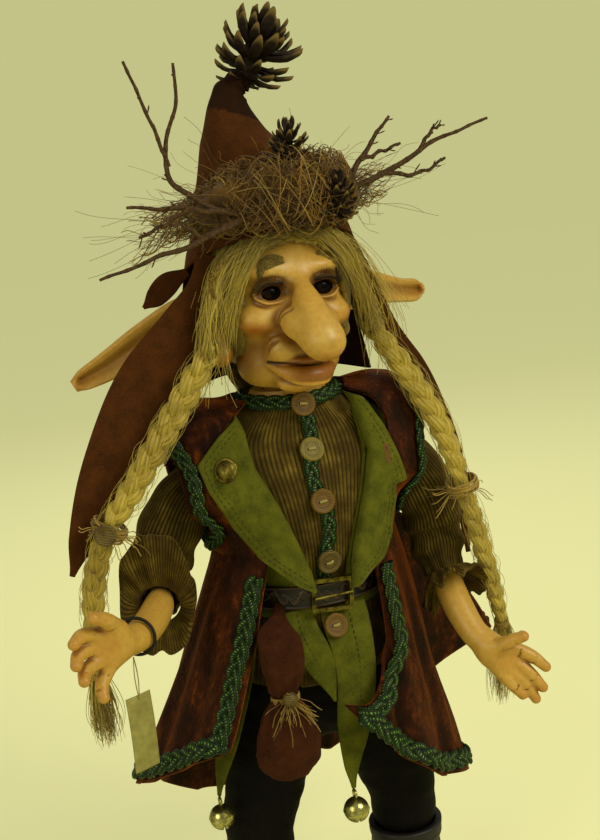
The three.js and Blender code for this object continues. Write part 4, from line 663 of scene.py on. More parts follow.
def brass_material(name, base, dark, roughness=0.3):
    """Aged brass: bright metal with brown tarnish in patches and fine scratches."""
    material, tree = new_material(name, roughness, 0.5, Metallic=0.95)
    stain = add(tree, "MapRange", {0: clouds(tree, 5, 4, 0.65), 1: 0.42, 2: 0.66})
    dull = add(tree, "MapRange", {0: stain, 3: roughness, 4: roughness + 0.25})
    scratches = clouds(tree, 1, stretch=(0.4, 3, 0.4))
    tone = layered(tree, base, (stain, 0, 1, 0, 1, dark))
    return dressed(material, tone, scratches, 0.06, 0.6, Roughness=dull)


def wood_material(name, light, dark, way):
    """Turned branch wood: growth rings as stretched bands about 2 mm apart, darker bark side."""
    material, tree = new_material(name, 0.55, 0.4)
    bands = add(tree, "TexWave", {"Vector": place(tree), "Scale": 0.34, "Distortion": 3.5, "Detail": 3.0,
                                  "Detail Scale": 0.35}, 1, bands_direction=way)
    tint = add(tree, "Attribute", output="Fac", attribute_name="tint")
    tone = layered(tree, dark, (bands, 0.15, 0.9, 0, 1, light), (clouds(tree, 7), 0.5, 0.72, 0, 1, dark),
                   (tint, 0, 0.4, 0.75, 0, "2a1b08"))
    return dressed(material, tone, bands, 0.12, 0.6)


def fibre_material(name, light, dark, sheen=0.25, roughness=0.6, size=30):
    """Fibres in a bundle: each one a shade between two colours (tint), varying along its length."""
    material, tree = new_material(name, roughness, 0.35, Sheen_Weight=sheen, Sheen_Roughness=0.4)
    streak = clouds(tree, 1, 3, 0.6, (24, 0.022, 1), "UV")
    drift = add(tree, "MapRange", {0: clouds(tree, size, 2, 0.5), 1: 0.35, 2: 0.65, 3: -0.2, 4: 0.2})
    along = add(tree, "MapRange", {0: streak, 1: 0.3, 2: 0.7, 3: -0.22, 4: 0.22})
    tint = add(tree, "Attribute", output="Fac", attribute_name="tint")
    shade = worked(tree, drift, "ADD", along, "ADD", tint)
    return dressed(material, layered(tree, dark, (shade, 0, 1, 0, 1, light)), streak, 0.3, 0.7)


def porcelain_material():
    """Bisque porcelain: the painted colour is in the paint attribute, over it a faint mottling."""
    material, tree = new_material("painted_bisque", 0.38, 0.45, Subsurface_Weight=0.08,
                                  Subsurface_Scale=0.004)
    paint = add(tree, "Attribute", output="Color", attribute_name="paint")
    tone = layered(tree, paint, (clouds(tree, 3, 4), 0.4, 0.62, 0, 0.16, "a4742a"), blend_type="MULTIPLY")
    return dressed(material, tone, clouds(tree, 0.8, 2, 0.5), 0.05, 0.4)


def glass_material():
    """Glass eye: painted iris under a clear, very smooth coat."""
    material, tree = new_material("painted_glass", 0.3, 0.05, Coat_Weight=0.12, Coat_Roughness=0.04)
    paint = add(tree, "Attribute", output="Color", attribute_name="paint")
    fleck = clouds(tree, 0.7, 3, 0.7)
    tone = layered(tree, paint, (fleck, 0.35, 0.65, 0, 0.5, "2a1a10"), blend_type="MULTIPLY")
    return dressed(material, tone)


def plain_material(name, base, dark, roughness, size, depth):
    """Simple surface with a two-tone mottling and a matching relief."""
    material, tree = new_material(name, roughness, 0.4)
    mottle = clouds(tree, size, 4)
    return dressed(material, layered(tree, dark, (mottle, 0.35, 0.65, 0, 1, base)), mottle, depth, 0.8)


def cone_material():
    """Dry pine cone: dark brown scales, their worn rims tan (tint)."""
    material, tree = new_material("dry_pine_cone", 0.75, 0.3)
    rim = add(tree, "Attribute", output="Fac", attribute_name="tint")
    tone = layered(tree, "150d05", (clouds(tree, 3), 0.35, 0.65, 0, 1, "2b1c0c"),
                   (rim, 0.5, 1, 0, 0.9, "75602c"))
    return dressed(material, tone, clouds(tree, 0.8), 0.2, 0.7)


# Each finish: its material's function and what that is given, from the material's name on
RECIPES = {
    "green_felt": (felt_material, "green_wool_felt", "646619", "454a11", "7d7f2b"),
    "brown_felt": (felt_material, "rust_wool_felt", "522d0b", "3a1f07", "70441a"),
    # The nape flap's felt: the hat's felt made darker, as painted shade behind the head.
    "dark_felt": (felt_material, "shade_darkened_wool_felt", "2c1408", "1c0d06", "41230f"),
    "suede": (felt_material, "rust_suede", "42200c", "2c1306", "5e3418", 0.5),
    "corduroy": (corduroy_material,),
    # The fourth colour of each velvet is its bloom, a painted highlight.
    "velvet": (velvet_material, "rust_crushed_velvet", "3e1a07", "160802", "80400f", "d2701e", 0.9),
    "black_velvet": (velvet_material, "black_velvet", "080503", "030201", "0e0905", "1c120a", 0.25),
    "gimp": (gimp_material,),
    "belt": (leather_material, "tooled_belt_leather", "24170c", "150d07", "4a3018"),
    "boot": (leather_material, "boot_leather", "0d0906", "060403", "1e150e", 0.6),
    "brass": (brass_material, "aged_brass", "7c7130", "332a10", 0.38),
    "bell": (brass_material, "bright_bell_brass", "cfcb7e", "6a5f24", 0.18),
    "porcelain": (porcelain_material,),
    "glass": (glass_material,),
    "brow": (fibre_material, "brow_mohair", "a38f38", "65500f", 0.2, 0.7, 6),
    "mohair": (fibre_material, "pale_mohair", "d6bf4c", "66500f", 0.3, 0.45, 40),
    "nest_fibre": (fibre_material, "red_brown_fibre", "ad8029", "452c0a", 0.2, 0.7, 18),
    "raffia": (fibre_material, "golden_raffia", "c9aa4c", "705417", 0.2, 0.55, 18),
    "lash": (plain_material, "lash_hair", "1a0f06", "0c0603", 0.6, 1, 0.05),
    "thread": (plain_material, "cream_thread", "b7aa66", "8d8042", 0.8, 0.5, 0.1),
    "dark_thread": (plain_material, "stitching_thread", "45470f", "2f310b", 0.85, 0.5, 0.1),
    "brown_thread": (plain_material, "felt_stitching_thread", "8a5b34", "6a4022", 0.85, 0.5, 0.1),
    "card": (plain_material, "tag_card", "a8a258", "8f8946", 0.7, 6, 0.05),
    "elastic": (plain_material, "black_elastic", "15120c", "090705", 0.6, 0.6, 0.1),
    # The stuffed body's calico, darkened as painted shade where it shows at the neck.
    "calico": (plain_material, "shade_darkened_calico", "7a6a44", "5c4f30", 0.95, 3, 0.2),
    "plain_bisque": (plain_material, "plain_bisque", "d5aa4a", "ba8e34", 0.4, 6, 0.05),
    "catkin": (plain_material, "dry_catkin", "9c8230", "5f4a16", 0.8, 1.5, 0.2),
    "twig": (plain_material, "twig_bark", "5a3f18", "2b1c09", 0.8, 1.6, 0.3),
    "light_button": (wood_material, "button_light_wood", "95893a", "6c5d20", "X"),
    "warm_button": (wood_material, "button_warm_wood", "84651a", "573c0e", "Z"),
    "dark_button": (wood_material, "button_striped_wood", "7d6c2a", "3a290e", "Z"),
    "cone": (cone_material,),
}
FINISHES = {}


def finish(name):
    """The named material, made when it is first asked for."""
    if name not in FINISHES:
        make, *values = RECIPES[name]
        FINISHES[name] = make(*values)
    return FINISHES[name]


# Clothes
WALE, CHEST = 2.3, 270


def pile_ridge(phase):
    """Height of corduroy's rounded ridges, 0 to 1: the size of the cosine to the power 0.6."""
    return np.abs(np.cos(phase)) ** 0.6


def outward_normals(rings):
    """Unit normals of closed rings: the cross product of the grid's two differences."""
    across = (np.roll(rings, -1, 1) - np.roll(rings, 1, 1)) / 2
    return unit(np.cross(across, np.gradient(rings, axis=0)))


def relax(p, times):
    """Each row moved towards the mean of its neighbours, ends held."""
    for _ in range(times):
        p[1:-1] = (p[:-2] + 2 * p[1:-1] + p[2:]) / 4
    return p


def build_shirt(doll):
    """Corduroy shirt: the body pushed out by the shirt's thickness, with ridges every wale round
    it and soft gathers that start at the collar."""
    rows = np.linspace(row_of(TORSO_LOW_Z + 2), row_of(SHIRT_TOP_Z - 1), 42)[:, None]
    count = 600
    angle = (np.arange(count) / count * TAU)[None]
    share = (rows - rows[0]) / (rows[-1] - rows[0])
    gather = hump(np.mod(angle + math.pi, TAU) - math.pi, 0, 0.9)
    swirl = angle + 0.10 * np.sin(3 * angle) * (1 - share)
    lean = 2.5 * share * np.sign(np.sin(angle))
    fold = gather * smoothstep(share, 0.3, 0.75) * 0.9 * np.sin(angle * 13 + lean)
    ridge = pile_ridge(swirl * round(CHEST / WALE) / 2)
    outer = body_point(angle, rows, SHIRT_OUT - 0.4 + 0.55 * ridge + fold)
    inner = body_point(angle, rows, SHIRT_IN)
    # The ridge height is also the tint: painted highlight on the ridges, painted shade between them.
    shape = Shape().sheet(outer, inner, around=True, tint=np.concatenate([ridge.ravel(), ridge.ravel() * 0]))
    piece("shirt_cloth", shape, finish("corduroy"), "body", ["shirt"], outward=True)


def build_waistcoat(doll):
    """Green felt waistcoat open in front, with three leaf-shaped tails under the belt."""
    rows = np.linspace(row_of(WAISTCOAT_LOW_Z), row_of(WAISTCOAT_TOP_Z), 54)
    z = row_at(BODY, rows)[:, 0]
    shape = Shape()
    for sign, edge in ((-1, OPENING_RIGHT), (1, OPENING_LEFT)):
        x = np.interp(z, edge[:, 1], np.abs(edge[:, 0]))
        wide = row_at(BODY, rows)[:, 1] + FELT_OUT
        start = np.arcsin(np.clip(x / wide, 0, 0.98))
        f = np.linspace(0, 1, 84)[None]
        angle = sign * lerp(start[:, None], math.pi, f)
        outer, inner = (body_point(angle, rows[:, None], out) for out in (FELT_OUT, FELT_IN))
        middle = (outer[:-1, :-1] + outer[1:, 1:]) / 2
        hole = ((middle[..., 1] / 20) ** 2 + ((middle[..., 2] - SHOULDER[2]) / 22) ** 2) < 1
        shape.sheet(outer, inner, keep=~(hole & (np.abs(middle[..., 0]) > 30)))
    piece("waistcoat_felt", shape, finish("green_felt"), "body", ["waistcoat"], outward=True)
    tails = Shape()
    for stations, across, bow in TAILS:
        rings = swept(stations, across, 28, 70, flatten=3.0)
        f = np.linspace(0, 1, len(rings))[:, None, None]
        rings = rings + np.array([0, 1, 0]) * (bow * np.sin(f * 9) * f)
        tails.loft(rings)
    piece("waistcoat_tails", tails, finish("green_felt"), "body", outward=True)
    seams = Shape()
    for tail, last, aside in ((1, 5, 2.5), (0, 4, -1.5)):
        line = [[s[0] + aside, s[1] - 1.25, s[2]] for s in TAILS[tail][0][:last]]
        seams.dotted(stitches(curve(line, np.linspace(0.04, 1, 60))), 0.35)
    piece("tail_stitching", seams, finish("dark_thread"), "body")


STITCH_LONG, STITCH_GAP = 2.4, 1.3


def stitches(path):
    """Ends of a row of stitches along a path."""
    even = evenly(path, (STITCH_LONG + STITCH_GAP) / 8)
    first = np.arange(0, len(even) - 6, 8)
    return np.stack([even[first], even[first + 5]], 1)


# Front opening of the waistcoat on each side, as [x, z]
OPENING_RIGHT = np.array([
    [-8.5, 240], [-12, 276], [-18, 302], [-26, 325], [-36, 349], [-41, 371], [-44, 392]], float)
OPENING_LEFT = np.array([
    [8.5, 240], [13, 283], [21, 307], [30, 330], [36, 348], [36, 364], [38, 392]], float)
# Tails: stations, the way across them, and how far they bow
TAILS = [
    ([[-20, -38.6, 257, 9.5, 1], [-20, -44.4, 246, 10, 1], [-18, -48, 238, 10.5, 1], [-13, -50, 224, 9, 1],
      [-9, -52, 210, 4.5, 1], [-7, -53, 200, 1, 1]], (1, 0, 0), 0.6),
    ([[8, -41.5, 256, 14.5, 1], [8, -45.6, 246, 15, 1], [9, -49, 232, 14, 1], [9, -50, 210, 13, 1],
      [4, -51, 180, 11, 1], [-1, -54, 155, 5, 1], [-2, -56, 142, 1.4, 1]], (1, 0, 0), 0.9),
    ([[-43, -14, 256, 10, 1], [-48, -16, 246, 13, 1], [-58, -19, 215, 15, 1], [-69, -20, 180, 12, 1],
      [-76, -20, 155, 6, 1], [-79, -20, 141, 1.4, 1]], (0.35, -1, 0), 0.9),
]

# Lapels as inner and outer edges in the front view, [x, z] from the bottom up
LAPELS = {
    "right": (
        [[-12, 272], [-13, 284], [-18, 302], [-26, 325], [-36, 349], [-38, 371], [-41, 381]],
        [[-12, 272], [-24, 279], [-40, 294], [-54, 316], [-66, 340], [-70, 356], [-55, 371], [-41, 381]],
    ),
    "left": (
        [[11, 270], [13, 283], [21, 307], [30, 330], [36, 348], [34, 366], [30, 383]],
        [[11, 270], [21, 276], [36, 283], [46, 295], [51, 314], [49, 325], [58, 326], [54, 342], [48, 362],
         [38, 380], [30, 383]],
    ),
}


def along_line(line, f):
    """Points at shares f of a polyline's length."""
    line = np.asarray(line, float)
    reach = run_along(line)
    return np.stack([np.interp(f * reach[-1], reach, line[:, k]) for k in range(line.shape[1])], -1)


def over_coat(x, z, offset, side):
    """Point of the surface `offset` above the coat, at a front view's x and z."""
    target = np.stack([x, z], -1)
    guess = side * np.clip(np.arcsin(np.clip(np.abs(x) / 62, 0, 0.95)), 0.1, 1.3)
    depth = (COAT_WAIST_Z - z) / (COAT_TOP_Z - COAT_WAIST_Z)
    angle, depth = coat_place(target, [0, 2], guess, depth, offset)
    return coat_point(angle, depth, offset, HEM)


LAPEL_ROLL, TOPSTITCH = 4.5, (3.2, 6.4)


def lapel_swell(flat):
    """Height of the soft waves in a lapel's felt at its points in the front view."""
    return 0.5 * waves(flat, 30, 11) + 0.25 * waves(flat, 11, 12)


def lapel_grid(name, side, lift):
    """Grid of a lapel: ruled between its two edges in the front view, laid over the coat. Its
    inner edge rolls down to the waistcoat on a quarter circle; `lift` is added to the offset."""
    inner, outer = LAPELS[name]
    f = np.linspace(0, 1, 150)
    one, two = along_line(inner, f), along_line(outer, f)
    v = np.concatenate([np.linspace(0, 0.12, 8)[:-1], np.linspace(0.12, 1, 34)])
    flat = lerp(one[:, None], two[:, None], v[None, :, None])
    away = np.linalg.norm(flat - one[:, None], axis=2)
    roll = np.sqrt(np.clip(1 - (1 - np.clip(away / LAPEL_ROLL, 0, 1)) ** 2, 0, 1))
    offset = lerp(FELT_OUT + 0.8 - COAT_IN, LAPEL_IN, roll) + lapel_swell(flat) + lift
    return relax(over_coat(flat[..., 0], flat[..., 1], offset, side), 2), flat


def build_lapels(doll):
    """Felt lapels folded out over the coat, with two rows of topstitching inside the outer edge."""
    for name, side in (("right", -1), ("left", 1)):
        low, flat = lapel_grid(name, side, 0.0)
        high, _ = lapel_grid(name, side, FELT)
        piece(f"{name}_lapel_felt", Shape().sheet(high, low), finish("green_felt"), "body",
              [f"{name}_lapel"], outward=True)
        rows = Shape()
        wide = np.linalg.norm(flat[:, -1] - flat[:, 0], axis=1)
        for inset in TOPSTITCH:
            v = np.clip(1 - inset / np.maximum(wide, 1), 0, 1)
            spot = lerp(flat[:, 0], flat[:, -1], v[:, None])[wide > inset * 1.8]
            path = over_coat(spot[:, 0], spot[:, 1], LAPEL_IN + FELT + 0.1 + lapel_swell(spot), side)
            rows.dotted(stitches(relax(path, 6)), 0.3)
        piece(f"{name}_lapel_stitching", rows, finish("dark_thread"), "body")
    build_buttonhole()


BUTTONHOLE = (46, 345)


def build_buttonhole():
    """Worked buttonhole on the left lapel: a narrow lip of brown thread over and over."""
    turns = np.linspace(0, TAU, 45)[:-1]
    x, z = BUTTONHOLE
    inner, outer = (
        over_coat(x + wide * np.cos(turns), z + high * np.sin(turns), LAPEL_IN + FELT + 0.3, 1)
        for wide, high in ((0.5, 4.6), (2.0, 6.2)))
    lip = Shape().dotted(np.stack([inner, outer], 1), 0.55, 0.7)
    piece("lapel_buttonhole", lip, finish("brown_thread"), "body")


def coat_angles(name, f, depth):
    """Angles of a coat panel at shares f of its width, from its front edge or the left side seam."""
    if name == "back":
        start = SIDE_SEAM["left"] + SEAM - 360 + LEFT_VENT * smoothstep(depth, -0.1, 0.1)
        return np.radians(lerp(start, SIDE_SEAM["right"] - SEAM, f))
    return np.radians(lerp(edge_angle(name, depth), SIDE_SEAM[name], f))


def build_coat(doll):
    """Velvet coat in three panels, its armholes left open."""
    depth = np.concatenate([np.linspace(-1, 0, 56)[:-1], np.linspace(0, 1, 92)])[:, None]
    for name, hem, columns in (("right", HEM, 100), ("left", HEM, 100), ("back", WHOLE_HEM_BACK, 230)):
        angle = coat_angles(name, np.linspace(0, 1, columns)[None], depth)
        outer, inner = (relax(coat_point(angle, depth, out, hem), 2) for out in (VELVET, 0.0))
        middle = (outer[:-1, :-1] + outer[1:, 1:]) / 2
        beside = (middle[..., 1:] - [0, SHOULDER[2]]) / ARMHOLE
        hole = ((beside ** 2).sum(-1) < 1) & (np.abs(middle[..., 0]) > 40)
        node = "coat_back" if name == "back" else f"coat_{name}_front"
        piece(f"{node}_velvet", Shape().sheet(outer, inner, keep=~hole), finish("velvet"),
              "body", [node], outward=True)


GIMP_TURN, GIMP_SWAY, GIMP_LIFT, GIMP_HEIGHT = 25.0, 3.7, 0.9, 2.1
GIMP_STRAND, GIMP_STEP, GIMP_SIDES = (2.7, 1.7), 0.9, 12


def gimp(shape, path, normals, closed=False, wide=BRAID_WIDE, passes=0):
    """Three-strand gimp along a path: strand k sways across it as sway * sin(a) and over it as
    sin(2a), with a = 2 pi (length / turn + k / 3); its ring is a flat oval with faint ribs. A
    closed path can be eased first by passes of (before + 2 here + after) / 4."""
    both = evenly(np.concatenate([path, normals], 1), GIMP_STEP, closed)
    for _ in range(passes):
        both = (np.roll(both, 1, 0) + 2 * both + np.roll(both, -1, 0)) / 4

    def slope(line):
        """Direction of a line at its points, across the joint where it is closed."""
        return unit(np.roll(line, -1, 0) - np.roll(line, 1, 0) if closed else np.gradient(line, axis=0))

    path, out = both[:, :3], unit(both[:, 3:])
    along = slope(path)
    out = unit(out - along * np.sum(out * along, 1, keepdims=True))
    side = np.cross(along, out)
    n = len(path)
    turns = max(round(n * GIMP_STEP / GIMP_TURN), 1)
    scale = wide / BRAID_WIDE
    angle = np.arange(GIMP_SIDES) / GIMP_SIDES * TAU
    rib = 1 + 0.05 * np.cos(angle * 5)
    u, v = np.arange(n + 1) * GIMP_STEP, np.arange(GIMP_SIDES + 1) / GIMP_SIDES
    for k in range(3):
        a = TAU * (np.arange(n) / (n if closed else n - 1) * turns + k / 3)
        sway, lift = GIMP_SWAY * scale * np.sin(a), GIMP_LIFT * np.sin(2 * a)
        centre = path + side * sway[:, None] + out * (lift + GIMP_HEIGHT)[:, None]
        tangent = slope(centre)
        across = unit(np.cross(tangent, out))
        up = np.cross(across, tangent)
        rings = (centre[:, None] + across[:, None] * (np.cos(angle) * GIMP_STRAND[0] * scale * rib)[None, :, None]
                 + up[:, None] * (np.sin(angle) * GIMP_STRAND[1] * rib)[None, :, None])
        if closed:
            shape.grid(rings, u, v, around=True, looped=True)
        else:
            shape.loft(rings, u[:-1], v)


def coat_strip(angle, depth, hem):
    """Path on the coat with its normals, the normal being the difference of two offsets."""
    low, high = (coat_point(angle, depth, VELVET + more, hem) for more in (0, 1))
    return low, unit(high - low)


GIMP_INSET, GIMP_HEM, GIMP_ROUND = 5.5, 0.945, 6


def build_coat_gimp(doll):
    """Gimp on the front edges, the hems and round the armholes of the coat."""
    for name in ("right", "left"):
        side = np.sign(SIDE_SEAM[name])
        strip = Shape()
        depth = np.linspace(0.12, 0.975, 200)
        edge = np.radians(edge_angle(name, depth))
        at = coat_point(edge, depth, 0, HEM)
        angle = edge + side * GIMP_INSET / np.hypot(at[:, 0], at[:, 1])
        level = np.full(200, GIMP_HEM)
        gimp(strip, *coat_strip(angle, depth, HEM))
        gimp(strip, *coat_strip(coat_angles(name, np.linspace(0.04, 1, 200), level), level, HEM))
        piece(f"coat_{name}_gimp", strip, finish("gimp"), "body",
              [f"coat_{name}_front_braid"], outward=True)
        ring = Shape()
        turn = np.linspace(0, TAU, 240)[:-1]
        circle = np.stack([np.cos(turn), np.sin(turn)], -1)
        target = [0, SHOULDER[2]] + (ARMHOLE + GIMP_ROUND) * circle
        guess = side * (math.pi / 2 + 0.6 * np.cos(turn)), -0.32 - 0.25 * np.sin(turn)
        path, normals = coat_strip(*coat_place(target, [1, 2], *guess, VELVET), HEM)
        gimp(ring, path, normals, closed=True, wide=11, passes=50)
        piece(f"{name}_armhole_gimp", ring, finish("gimp"), "body",
              [f"{name}_armhole_braid"], outward=True)
    strip = Shape()
    level = np.full(500, GIMP_HEM)
    gimp(strip, *coat_strip(coat_angles("back", np.linspace(0, 1, 500), level), level, WHOLE_HEM_BACK))
    piece("coat_back_gimp", strip, finish("gimp"), "body", ["coat_back_hem_braid"],
          outward=True)


def build_shirt_gimp(doll):
    """Gimp round the collar and down the shirt front, where it winds from button to button."""
    strip = Shape()
    angle = np.linspace(0, TAU, 160)[:-1]
    row = row_of(COLLAR_Z)
    low, high = (body_point(angle, row, SHIRT_OUT + more) for more in (0.2, 1.2))
    gimp(strip, low, high - low, closed=True, wide=10)
    z = np.linspace(378, 262, 220)
    rows = row_of(z)
    sway = 2.6 * np.sin((z - 352) / (352 - 324) * math.pi)
    angle = np.arcsin(sway / row_at(BODY, rows)[:, 1])
    low, high = (body_point(angle, rows, SHIRT_OUT + more) for more in (-0.3, 0.7))
    gimp(strip, low, high - low, wide=10)
    piece("shirt_gimp", strip, finish("gimp"), "body", ["shirt_braid"], outward=True)


def tooling(s, t):
    """Height of the belt's tooled scroll, 0 to 1, at a length s and a share t across: a running
    wave with a leaf in each hollow, between two plain edges."""
    unit_long = 13.0
    k = np.floor(s / unit_long)
    x = (s / unit_long - k - 0.5) * 2
    y = (t - 0.5) * 2 * np.where(k % 2 == 0, 1, -1)
    stem = hump(y, 0.55 * np.sin(x * math.pi), 0.13)
    r, a = np.hypot(x - 0.45, (y - 0.12) * 1.1), np.arctan2(y - 0.12, x - 0.45)
    curl = hump(np.mod(r * 5.2 - a / math.pi, 1), 0.5, 0.22) * (r < 0.5)
    leaf = hump(x, -0.5, 0.34) * hump(y, -0.15, 0.38) * (0.6 + 0.4 * np.cos((x + y) * 16))
    return np.clip(stem + curl + leaf, 0, 1) * (np.abs(t - 0.5) < 0.4) + 0.9 * (np.abs(t - 0.5) > 0.43)


BELT_GIRTH = 286


def build_belt(doll):
    """Leather belt with tooled scrolls."""
    count = 560
    angle = (np.arange(count) / count * TAU)[None]
    t = np.linspace(0, 1, 34)[:, None]
    rows = row_of(lerp(BELT_LOW_Z, BELT_HIGH_Z, t))
    height = tooling(angle / TAU * BELT_GIRTH, t) * np.ones((1, count))
    crown = 0.45 * np.clip(1 - np.abs(t * 2 - 1) ** 8, 0, 1)
    outer = body_point(angle, rows, BELT_OUT - 1.0 + crown + 0.55 * height)
    inner = body_point(angle, rows, BELT_IN)
    tone = np.concatenate([height.ravel(), np.full(height.size, 0.5)])
    piece("belt_leather", Shape().sheet(outer, inner, around=True, tint=tone), finish("belt"),
          "body", ["belt"], outward=True)


BUTTON_RADIUS, BUTTON_THICK, BUTTON_RIM, BUTTON_DISH = 7.6, 3.2, 1.4, 0.8
SHIRT_BUTTONS = [(379, 5.8, "warm_button"), (352, 4.6, "light_button"), (324, 4.6, "warm_button"),
                 (288, 4.6, "dark_button")]
LOWEST_BUTTON = (0, -47.4, 246)


def button(number, at, way, wood, stitch_way=(1, 0, 0.1)):
    """Turned wooden button: a dished disc with two thread holes and a cream stitch between them."""
    way = unit(way)
    radius, thick, rim, dish = BUTTON_RADIUS, BUTTON_THICK, BUTTON_RIM, BUTTON_DISH
    profile = [[radius * 0.6, 0], [radius - 0.9, 0.1], [radius - 0.3, 0.5], [radius, 1.1],
               [radius - 0.1, thick - 0.9], [radius - 0.5, thick - 0.25], [radius - 1.0, thick],
               [radius - rim - 0.2, thick - 0.15], [radius - rim - 0.9, thick - dish * 0.8],
               [radius - rim - 1.6, thick - dish], [radius * 0.3, thick - dish]]
    rings = turned(profile, at, way)
    # Low tint at the foot of the dish: painted shade in its groove.
    tone = np.interp(np.arange(len(rings)), [0, 6, 8, 9, 10], [0.5, 0.7, 0.7, 0.15, 0.5])
    shape = Shape().loft(rings, tint=np.repeat(tone, rings.shape[1]))
    name = f"front_button_{number}"
    piece(name, shape, finish(wood), "body", [f"shirt_button_{number}"], outward=True)
    top = np.asarray(at) + way * (thick - dish)
    across = unit(np.asarray(stitch_way, float) - way * np.dot(stitch_way, way))
    other = np.cross(way, across)
    holes = Shape()
    for sign in (-1, 1):
        spot = top + across * sign * 2.1
        holes.loft(turned([[0.1, 0.06], [1.0, 0.10], [1.05, -0.1], [0.1, -0.12]], spot, way, 16), tint=0.1)
    f = np.linspace(0, 1, 9)[:, None]
    line = top + across * lerp(-2.3, 2.3, f) + way * (0.15 + 0.9 * np.sin(math.pi * f))
    thread = Shape().strands(np.stack([line + other * 0.35, line - other * 0.35]), 0.5, 8)
    piece(name + "_thread", thread, finish("thread"), "body")
    # The holes are not cut: dark discs stand in for them, painted shade.
    piece(name + "_holes", holes, finish("elastic"), "body", outward=True)


def build_buttons(doll):
    """The five shirt buttons and the brass dome of the right lapel."""
    for k, (z, layer, wood) in enumerate(SHIRT_BUTTONS):
        row = row_of(z)
        at = body_point(0.0, row, layer + 0.4)
        slope = unit(body_point(0.0, row + 0.2, layer) - body_point(0.0, row - 0.2, layer))
        normal = np.array([0, -slope[2], slope[1]])
        button(k + 1, at + 0.2 * normal, normal, wood, (1, 0, 0.15 * (k - 1)))
    button(5, LOWEST_BUTTON, (0, -1, 0.3), "warm_button")
    at, way = np.array([-55.15, -42.9, 352.6]), unit((-0.62, -0.72, 0.3))
    profile = [[0.5, 0], [7.2, 0], [7.6, 0.35], [7.5, 0.9], [7.0, 1.3], [6.3, 1.2], [5.9, 1.3], [5.2, 2.0],
               [4.2, 2.6], [2.6, 3.05], [1.2, 3.2], [0.1, 3.2]]
    rings = turned(profile, at, way, 64)
    across = (rings - at) @ square_to(way)[0]
    stripe = 0.16 * np.abs(np.sin(across * 2.4)) * (np.arange(len(profile)) > 6)[:, None]
    piece("lapel_dome", Shape().loft(rings + way * stripe[..., None]), finish("brass"), "body",
          ["lapel_button"], outward=True)


def curls(rng, f, count, slow, fast):
    """Seeded sine curls along hairs, between -1 and 1 in each axis: f, shares along; slow and
    fast, the least and most radians in a hair."""
    return np.sin(f * rng.uniform(slow, fast, (count, 1, 3)) + rng.uniform(0, TAU, (count, 1, 3)))


def build_pouch(doll):
    """Suede pouch on its strap: gathered at the neck under a folded top, its bag creased."""
    def creases(angle, f):
        pleat = 0.9 * np.sin(angle * 9) * hump(f, 0.60, 0.16)
        return pleat + 0.5 * np.sin(angle * 5 + f * 30) * smoothstep(f, 0.7, 0.85) - 0.3 * hump(f, 0.60, 0.07)

    rings = swept(POUCH, (1, 0, 0), 96, 160, creases)
    wrinkle = 0.5 * waves(rings, 14, 21) + 0.3 * waves(rings, 6, 22)
    wrinkle = wrinkle * smoothstep(np.linspace(0, 1, len(rings)), 0.25, 0.4)[:, None]
    rings = rings + outward_normals(rings) * wrinkle[..., None]
    piece("pouch_suede", Shape().loft(rings, lengths(rings)), finish("suede"), "pouch", ["pouch"],
          outward=True)
    cord = Shape()
    turns = np.linspace(0, TAU * 3, 130)
    wound = np.stack([8.4 * np.cos(turns), 6.4 * np.sin(turns), (turns / TAU - 1.5) * 1.2], 1)
    cord.strands((np.array([-41, -62.5, 214.5]) + wound)[None], 0.6, 6)
    rng = np.random.default_rng(31)
    count = 46
    base = np.array([-41, -70, 216.0]) + rng.normal(0, 1.3, (count, 3)) * [1.6, 0.3, 1]
    swing = rng.uniform(-1, 1, (count, 3)) * [18, 5, 8] + [1.5, -5, -8]
    f = np.linspace(0, 1, 12)[None, :, None]
    sag = np.array([0, 0, -13]) * f**2 * rng.uniform(0.2, 1.3, (count, 1, 1))
    hairs = base[:, None] + swing[:, None] * f + sag
    hairs = hairs + 1.2 * curls(rng, f, count, 3, 9) * f
    cord.strands(hairs, 0.22, 4, rng.uniform(0, 1, count))
    piece("pouch_tie", cord, finish("raffia"), "pouch")
    rings = turned([[0.3, 0], [3, 0.4], [4.2, 1.6], [4.5, 2.6], [4.5, 4.4], [3.9, 5.8], [2.4, 7.0], [0.2, 7.6]],
                   (-41, -69.2, 217), (0, -1, 0.1), 32)
    piece("pouch_acorn", Shape().loft(rings), finish("dark_button"), "pouch", ["pouch_bead"],
          outward=True)


POUCH = [
    [-29, -28, 265, 3, 1.2], [-34, -44, 259, 4, 1.4], [-39, -55, 252, 12, 3], [-40, -61, 246, 13.5, 6],
    [-40, -62, 232, 13, 7.5], [-41, -62, 222, 10, 6.5], [-41, -62.5, 215, 7.5, 5.5], [-42, -64, 206, 14, 8.5],
    [-43, -65, 190, 19.5, 11], [-43, -65, 176, 19, 10.5], [-43, -65, 168, 13, 8], [-43, -65, 165, 7, 5],
]
BELLS = {"right_bell": (-79, -20, 141), "left_bell": (-2, -56, 142)}


